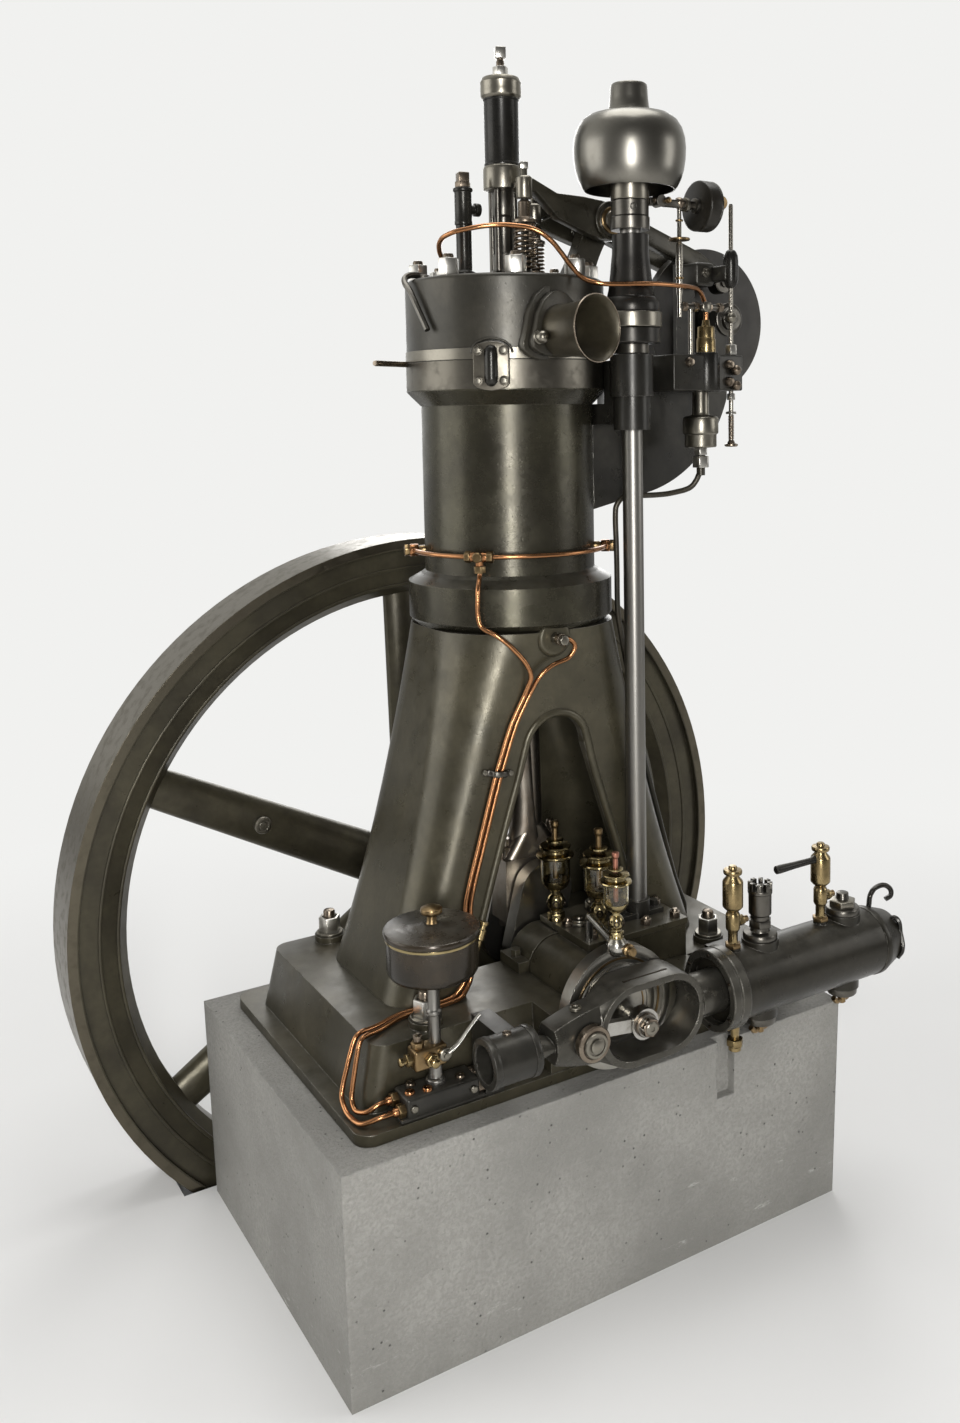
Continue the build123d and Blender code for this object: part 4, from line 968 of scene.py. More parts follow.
    def bar(self, route: list[Point], radius: float, sides: int = 12, flat: tuple[float,
                                                                                  float] | None = None,
            ends: tuple[float, float] = (1.0, 1.0)) -> bpy.types.Object:
        """Draw a rod, pipe or strip along a smooth route.

        Args:
            route: The points that it passes.
            radius: Its radius.
            sides: Segments round.
            flat: Half width and half thickness of a strip, in place of the radius.
            ends: Its size at the two ends, as shares of the radius.

        Returns:
            The rod as a mesh.
        """
        self.clear()
        bpy.ops.curve.primitive_bezier_curve_add(enter_editmode=False)
        curve = bpy.context.object
        data = curve.data
        data.dimensions = "3D"
        data.splines.clear()
        spline = data.splines.new("BEZIER")
        spline.bezier_points.add(len(route) - 1)
        for index, (knot, point) in enumerate(zip(spline.bezier_points, route)):
            knot.co = point
            knot.handle_left_type = knot.handle_right_type = "AUTO"
            share = index / max(len(route) - 1, 1)
            knot.radius = ends[0] * (1 - share) + ends[1] * share
        data.resolution_u = 10
        data.use_fill_caps = True
        if flat is None:
            data.bevel_depth = radius
            data.bevel_resolution = max(1, sides // 4 - 1)
        else:
            bpy.ops.mesh.primitive_circle_add(vertices=12, radius=1.0)
            shape = bpy.context.object
            shape.scale = (flat[0], flat[1], 1.0)
            self.pick(shape)
            bpy.ops.object.transform_apply(location=True, rotation=True, scale=True)
            bpy.ops.object.convert(target="CURVE")
            shape = bpy.context.object
            data.bevel_mode = "OBJECT"
            data.bevel_object = shape
        self.pick(curve)
        bpy.ops.object.convert(target="MESH")
        piece = bpy.context.object
        if flat is not None:
            bpy.data.objects.remove(shape)
        self.pick(piece)
        bpy.ops.object.transform_apply(location=True, rotation=True, scale=True)
        self.close(piece, 0.0)
        return piece

    def plate(self, outline: list[tuple[float, float]], thickness: float,
              soft: float = 0.001) -> bpy.types.Object:
        """Make a flat plate from an outline in X and Y, from height 0 up.

        Args:
            outline: Its corners, in order.
            thickness: Its thickness.
            soft: The width of the edge rounding.

        Returns:
            The plate.
        """
        self.clear()
        bpy.ops.mesh.primitive_circle_add(vertices=len(outline), radius=0.01, fill_type="NGON")
        piece = bpy.context.object
        for vertex, corner in zip(piece.data.vertices, outline):
            vertex.co = (*corner, 0.0)
        bpy.ops.object.mode_set(mode="EDIT")
        bpy.ops.mesh.select_all(action="SELECT")
        bpy.ops.mesh.extrude_region_move(TRANSFORM_OT_translate={"value": (0.0, 0.0, thickness)})
        bpy.ops.object.mode_set(mode="OBJECT")
        self.close(piece, soft)
        return piece

    def coil(self, radius: float, wire: float, turns: int, height: float) -> bpy.types.Object:
        """Wind a spring about Z from height 0.

        Args:
            radius: The radius of the wire's middle line.
            wire: The wire's radius.
            turns: Its turns.
            height: Its free height.

        Returns:
            The spring.
        """
        self.clear()
        bpy.ops.mesh.primitive_circle_add(
            vertices=8, radius=wire, fill_type="NOTHING", location=(radius, 0.0, wire),
            rotation=(math.pi / 2, 0.0, 0.0))
        piece = bpy.context.object
        bpy.ops.object.transform_apply(location=True, rotation=True, scale=True)
        self.apply(piece, "SCREW", screw_offset=(height - 2 * wire) / turns, iterations=turns, steps=20,
                   render_steps=20, angle=math.tau, axis="Z", use_merge_vertices=False)
        self.pick(piece)
        bpy.ops.object.mode_set(mode="EDIT")
        bpy.ops.mesh.select_all(action="SELECT")
        bpy.ops.mesh.fill_holes(sides=8)
        bpy.ops.object.mode_set(mode="OBJECT")
        self.close(piece)
        return piece

    def soften(self, node: str, width: float, angle: float = 34.0, cuts: int = 3,
               shape: Callable[[bpy.types.Object], None] | None = None) -> bpy.types.Object:
        """Copy a drawn solid, merge its triangles into faces and round its edges.

        Args:
            node: The solid's name.
            width: The width of the rounding.
            angle: Edges sharper than this are rounded, in degrees.
            cuts: The segments of the rounding.
            shape: What reshapes the copy before its edges are rounded.

        Returns:
            The rounded copy.
        """
        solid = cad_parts[node]
        copy = solid.copy()
        copy.data = solid.data.copy()
        bpy.context.collection.objects.link(copy)
        self.pick(copy)
        bpy.ops.object.mode_set(mode="EDIT")
        bpy.ops.mesh.select_mode(type="VERT")
        bpy.ops.mesh.select_all(action="SELECT")
        bpy.ops.mesh.remove_doubles(threshold=0.00002)
        bpy.ops.mesh.customdata_custom_splitnormals_clear()
        bpy.ops.mesh.dissolve_limited(angle_limit=math.radians(1.5))
        bpy.ops.object.mode_set(mode="OBJECT")
        if shape:
            shape(copy)
        self.apply(copy, "BEVEL", width=width, segments=cuts, limit_method="ANGLE",
                   angle_limit=math.radians(angle), use_clamp_overlap=True, harden_normals=False)
        self.pick(copy)
        bpy.ops.object.shade_smooth_by_angle(angle=math.radians(angle))
        return copy

    @staticmethod
    def touch(node: str, x: float, z: float, start: float = -0.6) -> float:
        """Return the Y where a line going back from the front meets a drawn solid.

        Args:
            node: The solid's name.
            x: The line's place across.
            z: Its height.
            start: The Y that it starts from.
        """
        hit, spot, _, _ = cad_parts[node].ray_cast(Vector((x, start, z)), Vector((0.0, 1.0, 0.0)))
        return spot.y if hit else start


def around(steps: int, first: int = 1, axis: Point = (0.0, 0.0, 1.0), centre: Point = (0.0, 0.0, 0.0),
           count: int | None = None) -> list[Matrix]:
    """Return the turns that carry one piece round a circle.

    Args:
        steps: How many places a full circle has.
        first: The first place to fill, counted from the piece's own.
        axis: The line it turns about.
        centre: A point on that line.
        count: How many places are filled, all the rest where it is left out.

    Returns:
        One matrix for each copy.
    """
    last = steps if count is None else first + count
    there, back = Matrix.Translation(centre), Matrix.Translation([-c for c in centre])
    return [there @ Matrix.Rotation(math.tau * k / steps, 4, axis) @ back for k in range(first, last)]


def moves(first: Point, others: list[Point]) -> list[Matrix]:
    """Return the straight moves from one place to others."""
    return [Matrix.Translation([b - a for a, b in zip(first, other)]) for other in others]


def on_jacket(angle: float, radius: float, height: float) -> Point:
    """Return a point at an angle round the cylinder's line, in degrees from +X."""
    turn = math.radians(angle)
    return (radius * math.cos(turn), radius * math.sin(turn), height)


def eased(points: list[Point], reach: float) -> list[Point]:
    """Round the corners of a route.

    Args:
        points: The route's corners.
        reach: How far before and after a corner its bend begins and ends.

    Returns:
        The route with three points at each corner.
    """
    route = [points[0]]
    for before, middle, after in zip(points, points[1:], points[2:]):
        corner = Vector(middle)
        back, onward = Vector(before) - corner, Vector(after) - corner
        cut = min(reach, back.length * 0.45, onward.length * 0.45)
        start, end = corner + back.normalized() * cut, corner + onward.normalized() * cut
        route += [tuple(start), tuple((start + corner * 2 + end) / 4), tuple(end)]
    return route + [points[-1]]


@dataclass
class CylinderHead:
    """The head's fittings: nuts and studs, machined rim, water cover, horn and the bent lever.

    Attributes:
        shop: The workshop.
        top: The height of the head's top.
        foot: The height of its joint with the jacket.
        radius: Its radius.
        stud_circle: The radius that the studs stand on.
        flats: The nuts' size across flats.
        cover_angle: Where the water cover sits, in degrees from +X.
    """

    shop: Shop
    top: float = 2.116
    foot: float = 1.962
    radius: float = 0.191
    stud_circle: float = 0.165
    flats: float = 0.034
    cover_angle: float = 232.6

    def build_nuts(self) -> None:
        """Screw the eight nuts down on their studs."""
        shop = self.shop
        x, y, _ = on_jacket(22.5, self.stud_circle, 0.0)
        nut = shop.fit(
            shop.prism(self.flats, 0.031, chamfer=0.1, bore=0.010), Facing.UP, (x, y, self.top),
            "head_nut_1", "nut_steel", spin=20.0, instead_of=("head_nuts",))
        shop.copies(nut, "head_nut", around(8), "nut_steel")
        stud = shop.fit(shop.lathe(
            [(0.0098, 0.02), (0.0098, 0.0365), (0.0084, 0.0395), (0.004, 0.0405)], sides=20), Facing.UP,
            (x, y, self.top), "head_stud_1", "aged_steel")
        shop.copies(stud, "head_stud", around(8), "aged_steel")

    def build_rim(self) -> None:
        """Turn the slightly proud machined rim at the head's foot."""
        low, high, out = self.foot + 0.0012, self.foot + 0.021, self.radius + 0.0022
        rim = self.shop.lathe([
            (self.radius - 0.002, low), (out, low), (out, high), (self.radius - 0.002, high + 0.001),
            (self.radius - 0.002, low)], sides=96, closed=False)
        self.shop.finish(rim, "head_rim", "rim_steel")

    def build_cover(self) -> None:
        """Make the water cover: a pointed plate, its bulge and four screws in raised bosses."""
        shop = self.shop
        half = [(-0.0325, -0.032), (-0.0325, 0.032), (-0.025, 0.039), (-0.012, 0.0425), (0.0, 0.044)]
        outline = half + [(-x, y) for x, y in half[-2::-1]] + [(0.025, -0.039), (0.012, -0.0425),
                                                               (0.0, -0.044),
                                                              (-0.012, -0.0425), (-0.025, -0.039)]
        plate = shop.plate(outline, 0.014, 0.0012)
        bulge = shop.lathe([
            (0.003, -0.037), (0.008, -0.0345), (0.0118, -0.0285), (0.0125, -0.022), (0.0125, 0.022),
            (0.0118, 0.0285), (0.008, 0.0345), (0.003, 0.037)], sides=28)
        shop.move(bulge, Matrix.Rotation(math.pi / 2, 4, "X"))
        shop.move(bulge, Matrix.Translation((0.0, 0.0, 0.012)))
        shop.move(plate, self.cover_place())
        shop.finish(plate, "water_cover_plate", "cover_iron", instead_of=("water_cover",))
        shop.move(bulge, self.cover_place())
        shop.finish(bulge, "water_cover_bulge", "tube_iron")
        boss = shop.lathe([(0.0088, 0.013), (0.0088, 0.0165), (0.0078, 0.0172)], sides=24)
        screw = shop.lathe([(0.0058, 0.017), (0.0062, 0.0205), (0.005, 0.0222), (0.001, 0.0226)], sides=20)
        corners = [(0.0232, 0.0268), (-0.0232, 0.0268), (0.0232, -0.0268), (-0.0232, -0.0268)]
        for index, (x, y) in enumerate(corners, start=1):
            for stem, first, finish in (("cover_boss", boss, "cover_iron"), ("cover_screw", screw,
                                                                             "rim_steel")):
                piece = first.copy()
                piece.data = first.data.copy()
                bpy.context.collection.objects.link(piece)
                shop.move(piece, self.cover_place() @ Matrix.Translation((x, y, 0.0)))
                shop.finish(piece, f"{stem}_{index}", finish)
        for first in (boss, screw):
            bpy.data.objects.remove(first)
        lip = [on_jacket(self.cover_angle + 11.2 * math.cos(math.radians(step)), self.radius + 0.0012,
                         self.foot + 0.011 + 0.026 * math.sin(math.radians(step))) for step in range(0, 181,
                                                                                                     15)]
        bead = shop.bar(lip, 0.0026, sides=8)
        shop.finish(bead, "cover_bead", "head_iron")

    def cover_place(self) -> Matrix:
        """Return the place of the cover: X along the rim, Y up, Z outwards."""
        turn = math.radians(self.cover_angle)
        out = Vector((math.cos(turn), math.sin(turn), 0.0))
        side = Vector((0.0, 0.0, 1.0)).cross(out) * -1.0
        frame_of = Matrix((-side, Vector((0.0, 0.0, 1.0)), out)).transposed().to_4x4()
        return Matrix.Translation(out * (self.radius - 0.004) + Vector((0.0, 0.0,
                                                                        self.foot - 0.012))) @ frame_of

    def build_horn(self) -> None:
        """Turn the intake horn with its flared mouth, its oval flange and the domed nut."""
        shop = self.shop
        turn = math.radians(14.0)
        out = Vector((math.sin(turn), -math.cos(turn), 0.0))
        foot = Vector((-0.015, -0.145, 2.012))
        stand = Vector((0.0, 0.0, 1.0)).rotation_difference(out).to_matrix().to_4x4()
        horn = shop.lathe([
            (0.048, 0.0), (0.0478, 0.05), (0.0475, 0.085), (0.0495, 0.112), (0.0545, 0.134),
            (0.0598, 0.1455), (0.0606, 0.148), (0.0592, 0.1492), (0.0572, 0.1478), (0.0515, 0.134),
            (0.046, 0.112), (0.0432, 0.085), (0.0428, 0.02), (0.03, 0.006), (0.001, 0.005)], sides=64)
        shop.move(horn, Matrix.Translation(foot) @ stand)
        shop.finish(horn, "horn_trumpet", "horn_iron", instead_of=("intake_horn",))
        lip = shop.lathe([
            (0.0597, 0.1472), (0.0607, 0.1478), (0.0602, 0.1497), (0.0590, 0.1497), (0.0586, 0.1485),
            (0.0597, 0.1472)], sides=64, closed=False)
        shop.move(lip, Matrix.Translation(foot) @ stand)
        shop.finish(lip, "horn_lip", "aged_steel")
        half = [
            (0.0, 0.084), (-0.022, 0.079), (-0.045, 0.062), (-0.063, 0.033), (-0.073, -0.004),
            (-0.080, -0.024), (-0.078, -0.036), (-0.066, -0.044), (-0.040, -0.052)]
        outline = half + [(-x, y) for x, y in half[:0:-1]]
        for name, reach, share, thickness in (("pad", 0.030, 1.0, 0.014), ("flange", 0.044, 0.86, 0.014)):
            flange = shop.plate([(x * share, y * share) for x, y in outline], thickness, 0.0026)
            face = Matrix((Vector((out.y * -1.0, out.x, 0.0)), Vector((0.0, 0.0, 1.0)),
                           out)).transposed().to_4x4()
            shop.move(flange, Matrix.Translation(foot + out * reach) @ face)
            shop.finish(flange, f"horn_{name}", "head_iron")
        for index, side in enumerate((-1.0, 1.0), start=1):
            spot = foot + out * 0.058 + Vector((-out.y, out.x, 0.0)) * 0.0565 * side + Vector((0.0, 0.0,
                                                                                               -0.0135))
            nut = shop.lathe([
                (0.0125, 0.0), (0.0125, 0.004), (0.0105, 0.005), (0.0115, 0.010), (0.0105, 0.0165),
                (0.0065, 0.0205), (0.0012, 0.0215)], sides=28)
            shop.move(nut, Matrix.Translation(spot) @ stand)
            shop.finish(nut, f"horn_bolt_{index}", "rim_steel")

    def build_levers(self) -> None:
        """Bend the lever that hangs over the rim, and push in the small rod at the left."""
        shop = self.shop
        lever = shop.bar([
            on_jacket(168.0, 0.162, 2.124), on_jacket(171.0, 0.188, 2.1245),
            on_jacket(173.0, 0.2005, 2.117), on_jacket(182.0, 0.2025, 2.088),
            on_jacket(196.0, 0.2025, 2.018)], 0.0062, ends=(1.0, 0.9))
        shop.finish(lever, "head_lever", "dark_steel")
        shop.fit(
            shop.lathe([(0.014, 0.0), (0.014, 0.009), (0.012, 0.0105)], sides=24, soft=0.0006), Facing.UP,
            on_jacket(167.0, 0.160, 2.1162), "head_lever_boss", "dark_steel")
        rod = shop.lathe([(0.0055, 0.0), (0.0055, 0.098), (0.0047, 0.1005), (0.001, 0.101)], sides=20)
        stand = Vector((0.0, 0.0, 1.0)).rotation_difference(Vector((-0.905, -0.425,
                                                                    0.0))).to_matrix().to_4x4()
        shop.move(rod, Matrix.Translation((-0.176, 0.062, 1.9605)) @ stand)
        shop.finish(rod, "head_side_rod", "aged_steel")

    def build(self) -> None:
        """Build every fitting of the head."""
        self.build_nuts()
        self.build_rim()
        self.build_cover()
        self.build_horn()
        self.build_levers()


@dataclass
class ValveGear:
    """What stands on the head: fuel valve, starting valve, sprung valves and rockers.

    Attributes:
        shop: The workshop.
        top: The height of the head's top.
        rocker_line: The rocker shaft's X and Z.
        front_valve: X and Y of the front valve.
        side_valve: X and Y of the side valve.
        front_rocker: The Y of the front rocker's middle.
        cam_line: The camshaft's X and Z.
    """

    shop: Shop
    top: float = 2.116
    rocker_line: tuple[float, float] = (0.200, 2.237)
    front_valve: tuple[float, float] = (0.005, -0.072)
    side_valve: tuple[float, float] = (0.088, 0.032)
    front_rocker: float = -0.058
    cam_line: tuple[float, float] = (0.484, 2.054)

    def build_fuel_valve(self) -> None:
        """Stack the tall fuel valve: gland, legs, collar, dark tube, cap, stem and square."""
        shop, top = self.shop, self.top
        parts = (
            ("fuel_valve_gland", "dark_steel", [
                (0.026, 0.0), (0.026, 0.018), (0.024, 0.022), (0.0205, 0.024), (0.0205, 0.052),
                (0.0175, 0.055), (0.0175, 0.122), (0.0205, 0.126), (0.0205, 0.173)]),
            ("fuel_valve_collar", "rim_steel", [
                (0.030, 0.172), (0.0368, 0.174), (0.0372, 0.178), (0.0372, 0.211), (0.0362, 0.216),
                (0.033, 0.219)]),
            ("fuel_valve_tube", "tube_iron", [
                (0.0345, 0.218), (0.0345, 0.222), (0.0332, 0.224), (0.0332, 0.338), (0.0345, 0.340),
                (0.0345, 0.343)]),
            ("fuel_valve_cap", "rim_steel", [
                (0.0345, 0.342), (0.0385, 0.347), (0.0392, 0.356), (0.0385, 0.369), (0.0395, 0.372),
                (0.0355, 0.381), (0.030, 0.383), (0.013, 0.384)]),
            ("fuel_valve_stem", "aged_steel", [
                (0.0078, 0.40), (0.0078, 0.412), (0.006, 0.415), (0.0062, 0.424)]))
        for name, finish, profile in parts:
            piece = shop.lathe(profile, sides=48, soft=0.0006)
            shop.turn(piece, Facing.UP, (0.0, 0.0, top))
            instead = ("fuel_valve",) if name == "fuel_valve_tube" else ()
            shop.finish(piece, name, finish, instead_of=instead)
        shop.fit(
            shop.prism(0.026, 0.019, chamfer=0.1), Facing.UP, (0.0, 0.0, top + 0.383), "fuel_valve_nut",
            "nut_steel", spin=10.0)
        shop.fit(
            shop.prism(0.0195, 0.020, sides=4, chamfer=0.14), Facing.UP, (0.0, 0.0, top + 0.418),
            "fuel_valve_square", "nut_steel", spin=25.0)
        for index, angle in enumerate((35.0, 125.0, 215.0, 305.0), start=1):
            x, y, _ = on_jacket(angle, 0.0235, 0.0)
            shop.fit(
                shop.lathe([(0.0065, 0.02), (0.0065, 0.172)], sides=16), Facing.UP, (x, y, top),
                f"fuel_valve_leg_{index}", "dark_steel")

    def build_starting_valve(self) -> None:
        """Stack the slim starting valve at the left of the head, with its side branch."""
        shop = self.shop
        x = -0.086
        shop.fit(shop.lathe([
            (0.021, 0.0), (0.021, 0.015), (0.0148, 0.019), (0.0148, 0.102), (0.017, 0.1035), (0.017, 0.109),
            (0.0163, 0.111), (0.0163, 0.163), (0.0188, 0.165), (0.0188, 0.170), (0.012, 0.1735)], sides=36,
            soft=0.0005), Facing.UP, (x, 0.0, self.top), "starting_valve_body", "tube_iron",
            instead_of=("starting_valve",))
        shop.fit(
            shop.prism(0.026, 0.011), Facing.UP, (x, 0.0, self.top + 0.1715), "starting_valve_nut",
            "aged_steel", spin=15.0)
        shop.fit(
            shop.prism(0.0205, 0.018, sides=4, chamfer=0.18), Facing.UP, (x, 0.0, self.top + 0.181),
            "starting_valve_cap", "aged_steel", spin=35.0)
        shop.fit(shop.lathe(
            [(0.0085, 0.0), (0.0085, 0.024), (0.0125, 0.026), (0.0125, 0.036)], sides=24, soft=0.0005),
            Facing.RIGHT, (-0.082, 0.012, self.top + 0.135), "starting_valve_branch", "tube_iron")

    def build_sprung_valve(self, name: str, x: float, y: float, coil: float, spring_top: float,
                           stem_top: float) -> None:
        """Build one valve with its spring.

        Args:
            name: The stem of its pieces' names.
            x: Its place across.
            y: Its place in depth.
            coil: The radius of its coil spring.
            spring_top: The height of the spring's end over the head.
            stem_top: The height of its stem over the head.
        """
        shop, top = self.shop, self.top
        shop.fit(shop.lathe([
            (coil + 0.007, 0.0), (coil + 0.007, 0.008), (coil + 0.004, 0.0105), (0.011, 0.0115),
            (0.011, 0.04), (0.0075, 0.042), (0.0075, stem_top)], sides=32, soft=0.0005), Facing.UP,
            (x, y, top), f"{name}_stem", "dark_steel",
            instead_of=("sprung_valves",) if "front" in name else ())
        shop.fit(
            shop.coil(coil - 0.0015, 0.0026, turns=9, height=spring_top - 0.0115), Facing.UP,
            (x, y, top + 0.0112), f"{name}_spring", "spring_steel")
        shop.fit(shop.lathe([
            (coil + 0.0025, spring_top - 0.001), (coil + 0.0025, spring_top + 0.005),
            (0.014, spring_top + 0.009), (0.0125, spring_top + 0.012), (0.0125, stem_top - 0.006),
            (0.009, stem_top - 0.003)], sides=32, soft=0.0005), Facing.UP, (x, y, top), f"{name}_cup",
            "aged_steel")

    def build_rocker(self, name: str, y: float, valve: tuple[float, float], nose: float) -> None:
        """Build one rocker: a curved tapering beam, its boss and ring, roller, nose and set screw.

        Args:
            name: The stem of its pieces' names.
            y: The middle of its thickness.
            valve: X and Y of the valve that it presses.
            nose: The height of the valve's end.
        """
        shop = self.shop
        x, z = self.rocker_line
        cam_x, cam_z = self.cam_line
        left = valve[0] - 0.008
        upper = [
            (left, nose + 0.036), (left + 0.03, nose + 0.0405), (x - 0.12, z + 0.0445),
            (x - 0.06, z + 0.043), (x - 0.02, z + 0.039), (x + 0.02, z + 0.033), (x + 0.06, z + 0.012),
            (cam_x - 0.06, cam_z + 0.136), (cam_x + 0.005, cam_z + 0.098)]
        lower = [
            (cam_x - 0.012, cam_z + 0.07), (cam_x - 0.07, cam_z + 0.1), (x + 0.05, z - 0.024),
            (x + 0.022, z - 0.036), (x - 0.022, z - 0.036), (x - 0.06, z - 0.024), (x - 0.12, z - 0.002),
            (left + 0.035, nose + 0.016), (left, nose + 0.012)]
        beam = shop.plate(upper + lower, 0.026, 0.0035)
        shop.move(beam, Matrix.Translation((0.0, y + 0.013, 0.0)) @ Matrix.Rotation(math.pi / 2, 4, "X"))
        shop.finish(
            beam, f"{name}_beam", "rocker_iron", instead_of=("rocker_arms",) if "front" in name else ())
        shop.fit(shop.lathe([
            (0.037, -0.0195), (0.0378, -0.017), (0.0378, 0.017), (0.037, 0.0195), (0.034, 0.0205),
            (0.0335, 0.0185), (0.0272, 0.0185), (0.0265, 0.0205), (0.0, 0.0205)], sides=48, soft=0.0006),
            Facing.FRONT, (x, y, z), f"{name}_boss", "rocker_iron")
        shop.fit(shop.lathe([
            (0.0195, -0.0155), (0.0215, -0.0135), (0.0215, 0.0135), (0.0195, 0.0155), (0.009, 0.0155),
            (0.008, 0.019), (0.001, 0.0195)], sides=36), Facing.FRONT,
            (cam_x, y, cam_z + 0.040 + 0.014 + 0.022), f"{name}_roller", "dark_steel")
        shop.fit(shop.lathe([
            (0.0145, 0.0), (0.0155, 0.002), (0.0155, 0.038), (0.013, 0.041), (0.0068, 0.042),
            (0.0068, 0.0555)], sides=32, soft=0.0005), Facing.UP, (valve[0], valve[1], nose + 0.0002),
            f"{name}_tip", "rim_steel")
        shop.fit(
            shop.prism(0.0145, 0.0125, sides=4, chamfer=0.16), Facing.UP,
            (valve[0], valve[1], nose + 0.0545), f"{name}_square", "nut_steel", spin=25.0)

    def build_rocker_pin(self) -> None:
        """Put the polished end and the brass ring on the rocker shaft."""
        shop = self.shop
        x, z = self.rocker_line
        front = self.front_rocker - 0.0205
        shop.fit(shop.lathe([
            (0.0262, -0.001), (0.0262, 0.0035), (0.0248, 0.0045), (0.0205, 0.0045), (0.0195, 0.003),
            (0.0195, -0.001), (0.0262, -0.001)], closed=False), Facing.FRONT, (x, front, z), "rocker_ring",
            "aged_brass")
        shop.fit(shop.lathe([
            (0.0192, -0.004), (0.0192, 0.006), (0.0175, 0.008), (0.006, 0.0085), (0.0052, 0.0068),
            (0.0005, 0.0066)]), Facing.FRONT, (x, front, z), "rocker_shaft_end", "rim_steel")

    def build_cam_end(self) -> None:
        """Put the polished boss, with its flange and end stub, on the camshaft's front end."""
        shop = self.shop
        x, z = self.cam_line
        shop.fit(shop.lathe([
            (0.0345, 0.0), (0.0345, 0.004), (0.032, 0.006), (0.0245, 0.007), (0.0235, 0.0135),
            (0.0215, 0.0155), (0.009, 0.016), (0.0085, 0.020), (0.001, 0.0205)], sides=44, soft=0.0005),
            Facing.FRONT, (x, -0.0858, z), "cam_bearing_cap", "dark_steel")

    def build(self) -> None:
        """Build the whole valve gear."""
        self.build_fuel_valve()
        self.build_starting_valve()
        self.build_sprung_valve("front_valve", *self.front_valve, 0.021, 0.104, 0.148)
        self.build_sprung_valve("side_valve", *self.side_valve, 0.019, 0.082, 0.118)
        self.build_rocker("front_rocker", self.front_rocker, self.front_valve, self.top + 0.148)
        self.build_rocker("side_rocker", self.side_valve[1], self.side_valve, self.top + 0.118)
        self.build_rocker_pin()
        self.build_cam_end()


